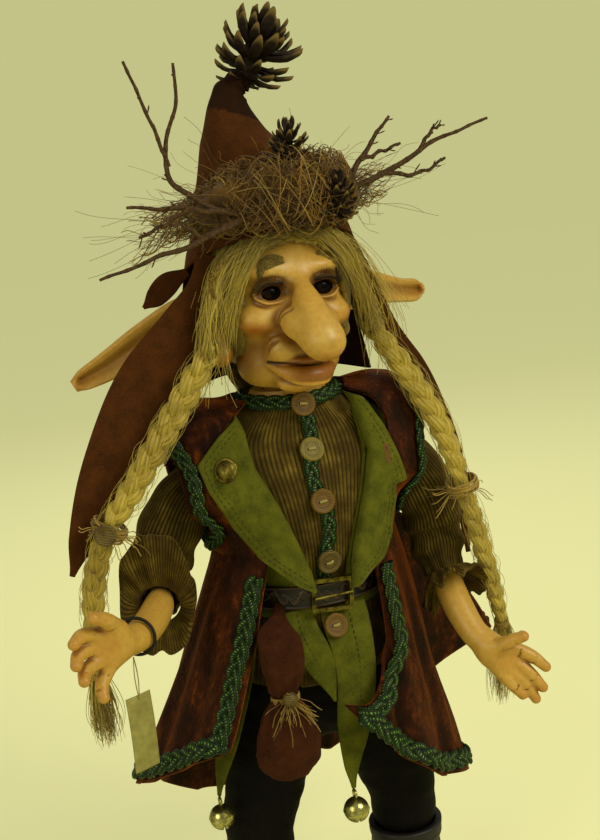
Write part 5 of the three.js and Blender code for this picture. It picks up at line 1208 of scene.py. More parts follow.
def build_bells(doll):
    """Jingle bells: a ball of two shells with a raised band, a slit below, and a wire ring."""
    for name, (x, y, z) in BELLS.items():
        ring = np.array([x, y, z - 3.9])
        centre = ring - [0, 0, 10.6]
        t = np.linspace(0.03, math.pi - 0.03, 60)
        radius = 8 * np.sin(t) + 0.35 * hump(t, math.pi / 2, 0.06)
        rings = turned(np.stack([radius, 8 * np.cos(t)], 1), centre, (0, 0, 1), 72)
        beside, ahead, _ = np.moveaxis(np.abs(rings - centre), -1, 0)
        slit = (beside < 0.9) | (np.hypot(beside, ahead - 5.5) < 1.5)
        slit = slit & (rings[..., 2] < centre[2] - 2.4)
        shape = Shape().loft(centre + (rings - centre) * np.where(slit, 0.78, 1.0)[..., None])
        shape.grid(torus(ring, (1, 0, 0), 2.6, 0.8), around=True, looped=True)
        piece(f"{name}_brass", shape, finish("bell"), name, [name], outward=True)


SLEEVES = {
    "right": [[-64, 0, 338, 14, 15], [-75, 0, 326, 16, 19], [-87, 0, 305, 18.5, 20], [-94, 0, 288, 18.5, 19],
              [-97, -8, 276, 17, 17], [-99.5, -17, 273.5, 12.5, 12.5]],
    "left": [[65, 0, 338, 14, 15], [77, 0, 324, 16, 19], [87.5, 0, 300, 18.5, 20], [91, 0, 280, 18, 19],
             [90, -7, 265, 17, 17], [89.5, -15, 251.5, 12.5, 12.5]],
}
FRILLS = {
    "right": ((-100, -19.5, 273), (-103, -29, 281), (23, 40), (-0.33, -0.93, -0.12)),
    "left": ((89.5, -18, 249.5), (90, -28, 240), (21, 28), (-0.02, -0.72, -0.69)),
}
FRILL_WAVES, FRILL_DEPTH, FRILL_CLOTH, GATHER = 7, 3.2, 1.6, 12.5
SLEEVE_WALES, SLEEVE_SIDES, SLEEVE_STEPS, FRILL_WALES = 50, 300, 52, 76


def build_sleeves(doll):
    """Corduroy sleeves with wales along the arm, creased at the elbow, and their wide frills."""
    def cloth(angle, f):
        crease = 1.3 * np.sin(f * 26 + 1.3 * np.sin(angle + 0.8)) * smoothstep(f, 0.12, 0.4)
        gather = 0.7 * np.cos(angle * 11) * (smoothstep(f, 0.7, 1) + smoothstep(f, 0.35, 0.1))
        return 0.5 * pile_ridge(angle * SLEEVE_WALES / 2) - 0.7 + crease * smoothstep(f, 1.0, 0.85) + gather

    def lining(angle, f):
        return cloth(angle, f) * 0.6 - 1.9

    for name, stations in SLEEVES.items():
        outer, inner = (swept(stations, (0, 1, 0), SLEEVE_SIDES, SLEEVE_STEPS, wave)
                        for wave in (cloth, lining))
        angle = np.arange(SLEEVE_SIDES) / SLEEVE_SIDES * TAU
        # The ridge height is also the tint: painted highlight on the ridges, painted shade between them.
        ridge = np.broadcast_to(pile_ridge(angle * SLEEVE_WALES / 2), outer.shape[:2]).ravel()
        shape = Shape().sheet(outer, inner, around=True, tint=np.concatenate([ridge, ridge * 0]))
        made = piece(f"{name}_sleeve_cloth", shape, finish("corduroy"), None, [f"{name}_sleeve"],
                     outward=True)
        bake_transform(made)
        at, centre, half, along = FRILLS[name]
        build_frill(name, np.array(at), np.array(centre), half, unit(along))


def build_frill(name, at, centre, half, way):
    """Gathered frill: a ring from the wrist gather to a wide rim. Its folds run out from the
    gather as sines of the angle along the arm's way, its wales run outwards too."""
    across = unit(np.array([1, 0, 0]) - way * way[0])
    up = np.cross(across, way)
    count, rows = 560, 20
    f = np.linspace(0, 1, rows)[:, None]
    angle = (np.arange(count) / count * TAU)[None]
    swirl = angle + 0.12 * np.sin(angle * 3)
    fold = FRILL_DEPTH * f * np.sin(swirl * FRILL_WAVES) + 1.3 * np.sqrt(f) * np.sin(swirl * 15 + 1.1)
    curl = -2.6 * smoothstep(f, 0.75, 1)
    ridge = pile_ridge(angle * FRILL_WALES / 2 + 0.4 * np.sin(5 * f))
    squeeze = 1 + 0.035 * np.sin(swirl * FRILL_WAVES + 1.2) * f

    def grid(lift):
        """The frill's points, lifted off its middle surface."""
        wide, high = (lerp(GATHER, size, f) * squeeze for size in half)
        base = at + (centre - at) * (f ** 1.5)[..., None]
        return (base + way * (fold + curl + lift)[..., None] + across * (np.cos(angle) * wide)[..., None]
                + up * (np.sin(angle) * high)[..., None])

    outer, inner = grid(FRILL_CLOTH / 2 + 0.45 * ridge), grid(-FRILL_CLOTH / 2 - 0.25 * ridge)
    # The ridge height is also the tint: painted highlight on the ridges, painted shade between them.
    piece(f"{name}_frill_cloth", Shape().sheet(outer, inner, around=True, tint=np.tile(ridge.ravel(), 2)),
          finish("corduroy"), f"{name}_forearm", [f"{name}_cuff_frill"], outward=True)


TAG_HALF, TAG_TURN = (8.5, 23), math.radians(24)


def build_wrist(doll):
    """Elastic bracelet on the right wrist, and the bare card tag on its thread."""
    shape = Shape()
    shape.grid(torus([-122.5, -58, 270.6], (-0.55, -0.83, 0.05), 10.8, 1.0, 72), around=True, looped=True)
    piece("bracelet_elastic", shape, finish("elastic"), "right_forearm", ["bracelet"],
          outward=True)
    centre, knot = np.array([-126, -57, 212.0]), np.array([-126, -57, 258.6])
    x = np.linspace(-TAG_HALF[0], TAG_HALF[0], 18)[None]
    z = np.linspace(-TAG_HALF[1], TAG_HALF[1], 40)[:, None]
    across = np.array([math.cos(TAG_TURN), math.sin(TAG_TURN), 0])
    out = np.array([-math.sin(TAG_TURN), math.cos(TAG_TURN), 0])
    bend = 0.9 * (z / TAG_HALF[1]) ** 2 + 0.3 * (x / TAG_HALF[0]) ** 2
    card = centre + across * x[..., None] + out * bend[..., None] + np.array([0, 0, 1]) * z[..., None]
    piece("tag_card", Shape().sheet(card - out * 0.3, card + out * 0.3), finish("card"), "tag", ["tag"],
          outward=True)
    f = np.linspace(0, 1, 14)[:, None]
    lines = [lerp(centre + [0, 0, 21], knot, f) + across * s * np.sin(math.pi * f) * 1.1 for s in (-1, 1)]
    piece("tag_thread", Shape().strands(np.stack(lines), 0.35, 6), finish("thread"), "tag")


# Porcelain and stuffed forms, cut from fields of signed distance
def ball(p, at, radii):
    """Signed distance to an ellipsoid: k0 (k0 - 1) / k1, with k0 the point's length in units of
    the radii and k1 its length in units of their squares."""
    v = p - np.asarray(at, float)
    r = np.broadcast_to(np.asarray(radii, float), (3,))
    k0 = np.linalg.norm(v / r, axis=-1)
    k1 = np.linalg.norm(v / r**2, axis=-1)
    return k0 * (k0 - 1) / np.maximum(k1, 1e-6)


def rope(p, stations, fine=5):
    """Signed distance to a round rope through stations [x, y, z, radius]: the least distance to
    its short straight pieces, each less its own radius."""
    s = np.asarray(stations, float)
    f = np.linspace(0, 1, (len(s) - 1) * fine + 1)
    centre = curve(s, f) if len(s) > 2 else lerp(s[:1, :3], s[1:, :3], f[:, None])
    radius = row_at(s[:, 3:4], f * (len(s) - 1))[:, 0]
    best = np.full(p.shape[:-1], 1e3)
    for a, b, ra, rb in zip(centre[:-1], centre[1:], radius[:-1], radius[1:]):
        way = b - a
        t = np.clip((p - a) @ way / max(way @ way, 1e-9), 0, 1)
        best = np.minimum(best, np.linalg.norm(p - a - t[..., None] * way, axis=-1) - lerp(ra, rb, t))
    return best


def soft_min(a, b, k):
    """The lesser of a and b, rounded over a width k where they are close."""
    h = np.clip(0.5 + 0.5 * (b - a) / k, 0, 1)
    return lerp(b, a, h) - k * h * (1 - h)


class Field:
    """Signed distances, negative inside, on a box of cells, in millimetres."""

    def __init__(self, low, high, cell):
        self.low, self.cell = np.asarray(low, float), cell
        self.count = np.ceil((np.asarray(high) - self.low) / cell).astype(int) + 1
        self.axes = [self.low[k] + cell * np.arange(self.count[k]) for k in range(3)]
        self.value = np.full(self.count, 50.0)

    def block(self, stations, margin):
        """Slices and points of the part of the box round a few places, widened by a margin."""
        s = np.atleast_2d(np.asarray(stations, float))[:, :3]
        low = np.clip(np.floor((s.min(0) - margin - self.low) / self.cell), 0, self.count - 1).astype(int)
        high = np.clip(np.ceil((s.max(0) + margin - self.low) / self.cell) + 1, 1, self.count).astype(int)
        where = tuple(slice(a, b) for a, b in zip(low, high))
        return where, np.stack(np.meshgrid(*(x[w] for x, w in zip(self.axes, where)), indexing="ij"), -1)

    def join_ball(self, at, radii, k):
        """Joins an ellipsoid, rounded where it meets the rest over a width k."""
        where, p = self.block([at], max(np.atleast_1d(radii)) + k + 3)
        self.value[where] = soft_min(self.value[where], ball(p, at, radii), k)

    def cut_ball(self, at, radii, k):
        """Cuts an ellipsoid out, its edge rounded over a width k."""
        where, p = self.block([at], max(np.atleast_1d(radii)) + k + 2)
        self.value[where] = -soft_min(-self.value[where], ball(p, at, radii), k)

    def join_rope(self, stations, k):
        """Joins a rope in the same way."""
        where, p = self.block(stations, max(s[3] for s in stations) + k + 3)
        self.value[where] = soft_min(self.value[where], rope(p, stations), k)

    def cut_rope(self, stations, k):
        """Cuts a rope out in the same way."""
        where, p = self.block(stations, max(s[3] for s in stations) + k + 2)
        self.value[where] = -soft_min(-self.value[where], rope(p, stations), k)

    def cut_above(self, where, height, k):
        """Cuts off what has a positive height in a block, the edge rounded over a width k."""
        self.value[where] = -soft_min(-self.value[where], -height, k)

    def sample(self, p):
        """Trilinear value of the field at points."""
        t = np.clip((p - self.low) / self.cell, 0, np.asarray(self.count) - 1.001)
        i = t.astype(int)
        f = t - i
        total = 0
        for corner in np.ndindex(2, 2, 2):
            share = np.prod(np.where(np.array(corner), f, 1 - f), axis=-1)
            total = total + share * self.value[tuple((i + corner)[..., k] for k in range(3))]
        return total

    def land(self, p, way):
        """Points sent along a direction until they meet the surface."""
        p, way = np.array(p, float), unit(way)
        for _ in range(120):
            p = p + way * np.clip(self.sample(p), -2, 2)[..., None] * 0.7
        return p

    def hollow(self, points, normals, reach):
        """How deep points lie in a hollow, 0 to 1: how much nearer than `reach` the surface is to
        the place `reach` off each of them."""
        return np.clip((reach - self.sample(points + normals * reach)) / reach, 0, 1)

    def surface(self):
        """Surface-nets mesh of the zero level: one point a mixed cell, at the mean of the edge
        crossings, and one quad round each crossed grid edge, turned to face out."""
        v = self.value
        inside = v < 0
        nx, ny, nz = (n - 1 for n in v.shape)
        corners = [(i, j, k) for i in (0, 1) for j in (0, 1) for k in (0, 1)]
        total = sum(inside[i:i + nx, j:j + ny, k:k + nz].astype(np.int8) for i, j, k in corners)
        cells = np.argwhere((total > 0) & (total < 8))
        values = np.stack([v[tuple((cells + c).T)] for c in corners], 1)
        place_of = np.array(corners, float)
        points, hits = np.zeros((len(cells), 3)), np.zeros(len(cells))
        for a in range(8):
            for b in range(a + 1, 8):
                if np.abs(place_of[a] - place_of[b]).sum() == 1:
                    va, vb = values[:, a], values[:, b]
                    cross = (va < 0) != (vb < 0)
                    t = np.where(cross, va / np.where(cross, va - vb, 1), 0)
                    points += np.where(cross[:, None], lerp(place_of[a], place_of[b], t[:, None]), 0)
                    hits += cross
        points = self.low + (cells + points / hits[:, None]) * self.cell
        index = np.full((nx, ny, nz), -1)
        index[tuple(cells.T)] = np.arange(len(cells))
        quads = []
        for axis in range(3):
            step = np.eye(3, dtype=int)[axis]
            a = inside[1:-1, 1:-1, 1:-1]
            moved = inside[tuple(slice(1 + s, n + s) for s, n in zip(step, (nx, ny, nz)))]
            at = np.argwhere(a != moved) + 1
            first = inside[tuple(at.T)]
            e1, e2 = np.eye(3, dtype=int)[(axis + 1) % 3], np.eye(3, dtype=int)[(axis + 2) % 3]
            ring = [index[tuple((at - s).T)] for s in (0 * e1, e1, e1 + e2, e2)]
            quad = np.stack(ring, 1)
            quads.append(np.where(first[:, None], quad, quad[:, ::-1]))
        quads = np.concatenate(quads)
        return points, quads[(quads >= 0).all(axis=1)]

    def settled(self, points):
        """Points moved onto the zero level along the field's slope, twice."""
        for _ in range(2):
            e = self.cell * 0.5
            slope = np.stack([(self.sample(points + d) - self.sample(points - d)) / (2 * e)
                              for d in np.eye(3) * e], -1)
            size = np.maximum((slope**2).sum(-1, keepdims=True), 0.3)
            points = points - 0.8 * self.sample(points)[:, None] * slope / size
        return points, unit(slope)

    def cast(self):
        """Points, normals and quads of the surface, smoothed once and moved back onto it."""
        points, quads = self.surface()
        points, normals = self.settled(smooth_points(points, quads))
        return points, normals, quads


def smooth_points(points, quads):
    """Points moved halfway to the mean of their quad neighbours."""
    ends = np.concatenate([quads, np.roll(quads, -1, 1)], 0).reshape(2, -1)
    a, b = np.concatenate([ends[0], ends[1]]), np.concatenate([ends[1], ends[0]])
    count = np.maximum(np.bincount(a, minlength=len(points)), 1)[:, None]
    mean = np.stack([np.bincount(a, points[b, k], len(points)) for k in range(3)], 1) / count
    return (points + mean) / 2


SKIN, BLUSH, SHADE, LIP, SOCKET_SHADE = "d5aa4a", "b06218", "8a5a18", "8f5414", "4a2810"
NOSE = [[0, -38, 460, 5.5], [1, -46, 452, 6.8], [1.5, -57, 441, 9.2], [3, -67, 428.5, 10.8],
        [4, -71, 422.5, 10]]
NOSE_SIDES = [
    [[-8, -51, 435, 6.4], [-4.5, -60, 429.5, 7.6], [0, -68, 424, 9.0]],
    [[12, -51, 434, 6.0], [9, -60, 429.5, 7.2], [6, -68, 424, 9.0]],
]
LOWER_LIP = [[-20, -37, 409, 2.2], [-14, -44, 405, 4.0], [-7, -47.5, 402.3, 5.2], [2, -48.5, 401, 5.4],
             [10, -46, 401, 5.0], [16, -41, 403, 3.4]]
LIP_RIM = [[-19, -39.2, 406.5, 0.9], [-14, -46.5, 401.2, 1.1], [-7, -51, 397.6, 1.25], [2, -51.8, 396.2, 1.3],
           [10, -49.2, 396.2, 1.2], [15.6, -44, 398.6, 1.0]]
UPPER_LIP = [[-21, -38.5, 411.6, 1.0], [-13, -46, 411.2, 1.4], [-3, -50.5, 410.4, 2.0], [8, -48.6, 409.8, 2.4],
             [17, -41, 408.6, 1.8]]
MOUTH = [[-22.5, -38.8, 411.0, 0.8], [-13, -48.4, 409.6, 0.9], [-2, -53.4, 408.6, 0.9], [9, -51, 407.6, 0.9],
         [18.5, -42.5, 407.2, 0.8]]
UNDER_LIP = [[-19.5, -40, 404, 0.7], [-12, -48, 397.5, 1.0], [-3, -51.5, 394, 1.1], [8, -50, 393.2, 1.0],
             [15, -44.5, 395.8, 0.7]]
NOSTRILS, NOSTRIL = (-3.2, 9.0), (2.6, 4.2, 2.0)
JAW_RIGHT = [[-36, -2, 438, 6], [-41, -10, 428, 6.2], [-42.3, -17, 416, 7]]
JAW_LEFT = [[36, 4, 438, 6], [40, 4, 428, 5.5], [41, 4, 418, 6.2]]
# Creases beside the nose and mouth, in the lids and at the eye corners, with their softness
FOLDS = [
    ([[-12.5, -50.5, 429, 0.7], [-17, -46, 424, 1.3], [-21.5, -41.5, 418, 1.3], [-25, -36, 411, 0.8]], 1.7),
    ([[15, -52, 427, 0.7], [20, -45, 421, 1.2], [23, -39, 413, 0.8]], 2.4),
    ([[-7, -56.5, 441.5, 0.5], [-12, -53, 439, 0.8], [-14.8, -49.5, 434, 0.8], [-13.2, -50, 429, 0.6]], 1.4),
    ([[-8, -46.8, 445.6, 0.4], [-13, -45.4, 443.6, 0.55], [-19, -43.6, 443.4, 0.5],
      [-25, -39, 445.5, 0.3]], 1.4),
    ([[10, -46.4, 444.6, 0.4], [15, -44.6, 442.6, 0.55], [21, -42, 442.6, 0.45],
      [26, -37.5, 444.5, 0.3]], 1.4),
    ([[-26, -38.5, 449.2, 0.5], [-30, -34.5, 448.6, 0.5], [-33, -30, 449.4, 0.3]], 1.3),
    ([[-25.5, -38.8, 447.2, 0.4], [-29.5, -34.6, 445.4, 0.45], [-32, -31, 444.6, 0.3]], 1.2),
]
# Skull, chin, cheeks, brows, lips, nostril wings, nose tip and jowls: centre, radii, softness
FACE_FORMS = [
    ((0, -2, 446), (40, 45, 50), 1), ((-2, -18, 410), (26, 23, 20), 9),
    ((-21.5, -31.5, 436), (14, 13, 9.5), 5), ((21.5, -30.5, 434), (13.5, 13, 9.5), 5),
    ((-15, -35.5, 463.5), (14, 8.6, 5.6), 6), ((15, -35.5, 463), (14, 8.6, 5.6), 6),
    ((-3.5, -37, 414), (17, 11, 9), 6), ((-3, -36.5, 396.5), (13, 8.5, 6.5), 5),
    ((-6.6, -54.5, 432.5), (7.4, 8.5, 7.4), 6), ((11, -54, 431.5), (6.8, 8, 7), 6),
    ((-13, -42.5, 418.5), (8, 7.5, 7), 6), ((3.8, -71.5, 423), (10.4, 8.6, 9.4), 3),
    ((-22, -18, 407), (11, 15, 12), 8), ((19, -18, 407), (10, 15, 12), 8),
]
# Colours over the bisque, in their order: share, centre and size of each soft spot. BLUSH on
# the cheeks, nose tip, chin and side of the jaw is the doll's paint; BLUSH beside the nose bridge
# and the SHADE and 7a4a14 spots are painted shade; the dcc878 spots are painted highlights.
COLOUR_AND_SHADE_SPOTS = [
    (BLUSH, (0.95, (-27, -38, 431), (10, 12, 5)), (0.9, (31, -34, 428), (8, 12, 6))),
    (BLUSH, (0.85, (-42, -20, 413), (7, 9, 8)), (0.3, (4, -80, 414), (10, 9, 5))),
    # Beside the nose bridge (the last spot here and the first of the next row): painted shade in the blush
    # colour.
    (BLUSH, (0.35, (3, -80, 413), (9, 9, 5)), (0.35, (-5, -47, 449), (4.5, 8, 9))),
    (BLUSH, (0.3, (7, -47, 449), (3, 8, 9)), (0.3, (-6, -50, 393), (14, 14, 5))),
    # This row, 7a4a14 below and the last row: painted shade on the sides of the jaw, under the right cheek and
    # under the nose.
    (SHADE, (0.85, (-29, -24, 410), (11, 16, 11)), (0.8, (26, -22, 408), (11, 16, 12))),
    ("7a4a14", (0.6, (-24, -32, 420), (6, 9, 4))),
    # dcc878: painted highlights on the cheek, beside the mouth, on the nose tip and on the brow.
    ("dcc878", (0.5, (-14, -46, 420), (5, 6, 5)), (0.35, (-22, -44, 438), (7, 8, 4))),
    ("dcc878", (0.4, (2, -80, 428), (6, 8, 7)), (0.3, (-8, -45, 466), (14, 10, 7))),
    (SHADE, (0.55, (-19, -36, 417), (8, 10, 8)), (0.5, (2, -54, 417), (12, 9, 4))),
]
EYES = {"right": np.array([-15.2, -33.4, 450.6]), "left": np.array([17, -33, 450.0])}
EYE_RADIUS, GAZE = 8.0, (0.22, -1, 0.02)
OPENING_AT, OPENING = np.array([0.2, -12.2, 0.1]), (8.2, 8.5, 4.7)
UPPER_LID = np.array([[-10.5, -5.4, 0.3], [-5, -9.8, 5.2], [3, -10.6, 5.8], [9.3, -7.2, 1.4]])
LOWER_LID = np.array([[-10, -6.2, -1.6], [-4, -9.8, -5.0], [4, -10, -4.9], [9, -7.6, -1.6]])
HEAD_BOX = ((-52, -86, 368), (52, 50, 500))


def spot(p, at, size):
    """Soft spot: the exponential of minus the squared distance from a place, in units of its size."""
    return np.exp(-(((p - np.asarray(at, float)) / size) ** 2).sum(-1))


def lid(eye, line, radii):
    """Stations of an eyelid rope round an eye ball."""
    return np.concatenate([eye + line, np.reshape(radii, (-1, 1))], 1)


def build_head(doll):
    """Porcelain head: skull, cheeks, brow, nose and jaw joined softly, lids over the eye balls,
    mouth and folds cut as thin ropes. The paint is worked out point by point."""
    field = Field(*HEAD_BOX, doll.head_voxel)
    for at, radii, k in FACE_FORMS:
        field.join_ball(at, radii, k)
    field.join_rope(NOSE, 4.5)
    for side in NOSE_SIDES:
        field.join_rope(side, 5)
    field.join_rope([[0, -3, 366, 13.5], [0, -3, 404, 15]], 5)
    for at in EYES.values():
        field.cut_ball(at + [0, -13.5, 1.2], (10.0, 7.5, 7.0), 4)
        field.join_ball(at + [0, -0.6, 0], 9.6, 1.6)
        field.join_rope(lid(at, UPPER_LID, [1.3, 1.8, 1.9, 1.2]), 1.6)
        field.join_rope(lid(at, LOWER_LID, [0.9, 1.15, 1.15, 0.9]), 1.5)
    for at in EYES.values():
        field.cut_ball(at + OPENING_AT, OPENING, 0.7)
        field.cut_ball(at, EYE_RADIUS + 0.35, 0.4)
    for stations, k in ((JAW_RIGHT, 4), (JAW_LEFT, 4), (LOWER_LIP, 1.6), (LIP_RIM, 0.9), (UPPER_LIP, 1.6)):
        field.join_rope(stations, k)
    for stations, k in ((MOUTH, 0.8), (UNDER_LIP, 1.6), *FOLDS):
        field.cut_rope(stations, k)
    for x in NOSTRILS:
        field.cut_ball((x, -63.5, 417.3), NOSTRIL, 2.0)
    field.cut_rope([[0.5, -52.5, 420, 1.2], [0, -53, 416, 1.0]], 2.0)
    where, p = field.block(HEAD_BOX, 1)
    field.value[where] += 0.12 * waves(p, 9, 201)
    p, normals, quads = field.cast()
    tone = painted_face(p, field.hollow(p, normals, 3.0), field.hollow(p, normals, 9.0))
    piece("head_porcelain", Shape().add(p, [quads]), finish("porcelain"), "head", ["head"],
          paint=tone)
    for name, centre in EYES.items():
        build_eye(name, centre)
    build_brows_and_lashes(field)
    for name in EARS:
        build_ear(name)


def painted_face(p, deep, wide):
    """Linear colour of each point of the face: soft spots of blush and shade, then a brown wash in
    narrow and wide hollows, the lips, and the lids."""
    tone = np.ones((len(p), 1)) * rgb(SKIN)

    # Lays a colour over the face: blush and lip paint, painted shade and painted highlights alike.
    def wash(colour, share):
        nonlocal tone
        tone = lerp(tone, rgb(colour), np.clip(share, 0, 1)[:, None])

    for colour, *spots in COLOUR_AND_SHADE_SPOTS:
        wash(colour, sum(share * spot(p, at, size) for share, at, size in spots))
    # Painted shade under the chin, then in narrow and wide hollows (an occlusion measure).
    wash(SHADE, smoothstep(p[:, 2], 396, 384) * 0.8)
    wash(SHADE, 0.9 * smoothstep(deep, 0.12, 0.6))
    wash(SHADE, 0.45 * smoothstep(wide, 0.25, 0.7))
    lower = rope(p, LOWER_LIP)
    lips = np.minimum(lower - 0.2, rope(p, UPPER_LIP) - 0.1)
    wash(LIP, 0.9 * smoothstep(lips, 1.0, 0.0) * smoothstep(p[:, 0], -24, -6))
    wash("c58e2a", 0.85 * smoothstep(lower, 0.8, 0.0) * spot(p, (-13, -46, 403), (6.5, 7, 5)))
    wash("c99a3a", 0.9 * smoothstep(rope(p, LIP_RIM), 0.7, 0.0))
    wash("2c1405", 0.95 * smoothstep(rope(p, MOUTH), 0.9, 0.1))
    for name, at in EYES.items():
        height = p[:, 2] - at[2]
        # Painted shade over each upper lid and along the upper rim of the opening.
        wash(SOCKET_SHADE, 0.95 * spot(p, at + [0, -10, 5.2], (10, 9, 3.6)))
        rim = np.abs(ball(p, at + OPENING_AT, OPENING))
        near = spot(p, at + [0, -9, 0], (11, 9, 8))
        wash(SOCKET_SHADE, 1.1 * smoothstep(rim, 3.2, 0.9) * near * smoothstep(height, -4.5, -1))
        wash("8a5a30", 0.6 * smoothstep(rim, 1.0, 0.3) * near * smoothstep(height, -2, -4))
        corner = -11.5 if name == "right" else 11
        # Painted shade in the outer and inner corners of the eye.
        wash(SOCKET_SHADE, 0.8 * spot(p, at + [corner, -6, 0.3], (5, 6, 2.4))
             + 0.5 * spot(p, at + [-0.85 * corner, -9, 0], (3, 5, 3)))
    return tone


# Paint of the glass eye: colour, and the angles from the pupil's middle between which it begins
EYE_RINGS = [("22130a", 19, 23), ("060302", 40, 47), ("6a5530", 51, 56)]


def build_eye(name, centre):
    """Glass eye: a ball whose rings of paint go from pupil to dark iris to a tan white."""
    t = np.linspace(0.01, math.pi - 0.01, 70)
    rings = turned(np.stack([EYE_RADIUS * np.sin(t), EYE_RADIUS * np.cos(t)], 1), centre, GAZE, 64)
    tone = rgb("050302") + np.zeros((70, 3))
    for colour, low, high in EYE_RINGS:
        tone = lerp(tone, rgb(colour), smoothstep(np.degrees(t), low, high)[:, None])
    paint = np.concatenate([np.repeat(tone, 64, 0), tone[:1], tone[-1:]])
    piece(f"{name}_eye_glass", Shape().loft(rings), finish("glass"), "head", [f"{name}_eye"],
          outward=True, paint=paint)


# Brows: the side, the outline as [x, z, half width], and the number of hairs
BROWS = [
    (-1, [[-21.8, 461.0, 0.9], [-20.4, 465.3, 1.9], [-16.5, 468.4, 2.9], [-11.8, 469.4, 3.0],
          [-7.4, 469.2, 1.9]], 420),
    (1, [[16, 470, 0.8], [19.5, 469.6, 1.5], [23, 467, 1.5], [26, 463, 0.8]], 120),
]


def build_brows_and_lashes(field):
    """Brows: flat crescents of short mohair laid on the forehead. Lashes: fine tapering hairs
    fanned from the upper lids."""
    rng = np.random.default_rng(211)
    brow = Shape()
    for sign, outline, count in BROWS:
        s = np.asarray(outline, float)
        t = rng.uniform(0, 1, count)
        mid = curve(s, t)
        ahead = curve(s, np.clip(t + 0.02, 0, 1)) - curve(s, np.clip(t - 0.02, 0, 1))
        way = unit(ahead[:, :2])
        off = rng.uniform(-1, 1, count)
        base = mid[:, :2] + np.stack([-way[:, 1], way[:, 0]], 1) * (off * mid[:, 2])[:, None]
        g = np.linspace(0, 1, 6)
        long = 3.4 * sign * rng.uniform(0.5, 1.2, (count, 1, 1))
        stray = rng.normal(0, 0.35, (count, 1, 2)) * g[None, :, None]
        flat = base[:, None] + way[:, None] * (g - 0.5)[None, :, None] * long + stray
        dome = 0.25 + 1.9 * np.sqrt(np.clip(1 - off**2, 0, 1)) * rng.uniform(0.3, 1, count)
        start = np.stack([flat[..., 0], np.full(flat.shape[:2], -75.0), flat[..., 1]], -1)
        hairs = field.land(start, (0, 1, 0))
        bow = dome[:, None] * (0.4 + 0.6 * np.sin(g * math.pi))[None]
        hairs = hairs + np.array([0, -1, 0.15]) * bow[..., None]
        brow.strands(hairs, 0.26 * np.array([0.4, 1, 1, 1, 0.8, 0.3])[None], 4, rng.uniform(0.1, 0.75, count))
    piece("brow_mohair", brow, finish("brow"), "head")
    lashes = Shape()
    for at, sign in zip(EYES.values(), (-1, 1)):
        count = 30
        t = np.linspace(0, 1, count)
        a = np.radians(lerp(176, 48, t)) if sign < 0 else np.radians(lerp(132, 8, t))
        start = [at[0] + OPENING_AT[0] + 8.4 * np.cos(a), np.full(count, -60.0), at[2] + 5.4 * np.sin(a)]
        root = field.land(np.stack(start, 1), (0, 1, 0))
        out = np.stack([np.cos(a) + 0.25 * sign, np.full(count, -0.45), np.sin(a) + 0.25], 1)
        swell = 0.72 + 0.28 * np.sin(math.pi * np.clip(t + 0.1, 0, 1))
        long = rng.uniform(5.0, 7.6, (count, 1)) * swell[:, None]
        g = np.linspace(0, 1, 8)[None, :, None]
        hairs = root[:, None] + unit(out)[:, None] * long[:, None] * g + np.array([0, 0, 1.7]) * g**2
        lashes.strands(hairs, 0.27 * (1 - 0.8 * np.linspace(0, 1, 8))[None], 4)
    piece("eye_lashes", lashes, finish("lash"), "head")


EARS = {
    "right": [[-34, 0, 440, 12, 5], [-56, 1, 439, 13, 5.5], [-80, 6, 430, 10.5, 5], [-105, 11, 416, 9, 4.5],
              [-121, 14, 409, 6.5, 5], [-127, 15, 406, 4, 3.5]],
    "left": [[34, 0, 440, 12, 5], [56, 8, 441, 13, 5.5], [77, 22, 437, 10, 5], [97, 35, 432, 8, 5],
             [110, 41, 430, 7.5, 5.5], [116, 43, 430, 4, 3.5]],
}


def build_ear(name):
    """Long ear: rings along its axis, their front pressed into a hollow between two rolled rims,
    with a blush at the rims and a brown wash in the hollow."""
    sides, steps = 96, 130
    rings = swept(EARS[name], (0, 0, 1), sides, steps)
    f = np.linspace(0, 1, steps + 1)[:, None]
    side = np.cos(np.arange(sides) / sides * TAU)[None]
    front = np.clip(-(rings - rings.mean(axis=1, keepdims=True))[..., 1], 0, None)
    hollow = smoothstep(f, 0.12, 0.3) * smoothstep(f, 0.97, 0.8) * hump(side, 0, 0.52)
    rim = 0.9 * smoothstep(f, 0.1, 0.3) * smoothstep(f, 1.0, 0.9) * hump(np.abs(side), 0.86, 0.13)
    fold = 0.8 * hump(f, 0.42 + 0.1 * side, 0.05) * (front > 1) * hollow
    rings = rings + np.array([0, 1.0, 0]) * (front * hollow * 1.25 - rim * (front > 0) - fold)[..., None]
    tone = rgb(SKIN) + np.zeros(rings.shape)
    # Painted shade in the hollow.
    tone = lerp(tone, rgb(SHADE), (0.75 * hollow * (front > 0.5))[..., None])
    tone = lerp(tone, rgb(BLUSH), (0.35 * hump(f, 0.95, 0.14) + 0.5 * smoothstep(f, 0.2, 0.0))[..., None])
    flat = tone.reshape(-1, 3)
    piece(f"{name}_ear_porcelain", Shape().loft(rings), finish("porcelain"), "head", outward=True,
          paint=np.concatenate([flat, flat[:1], flat[-1:]]))


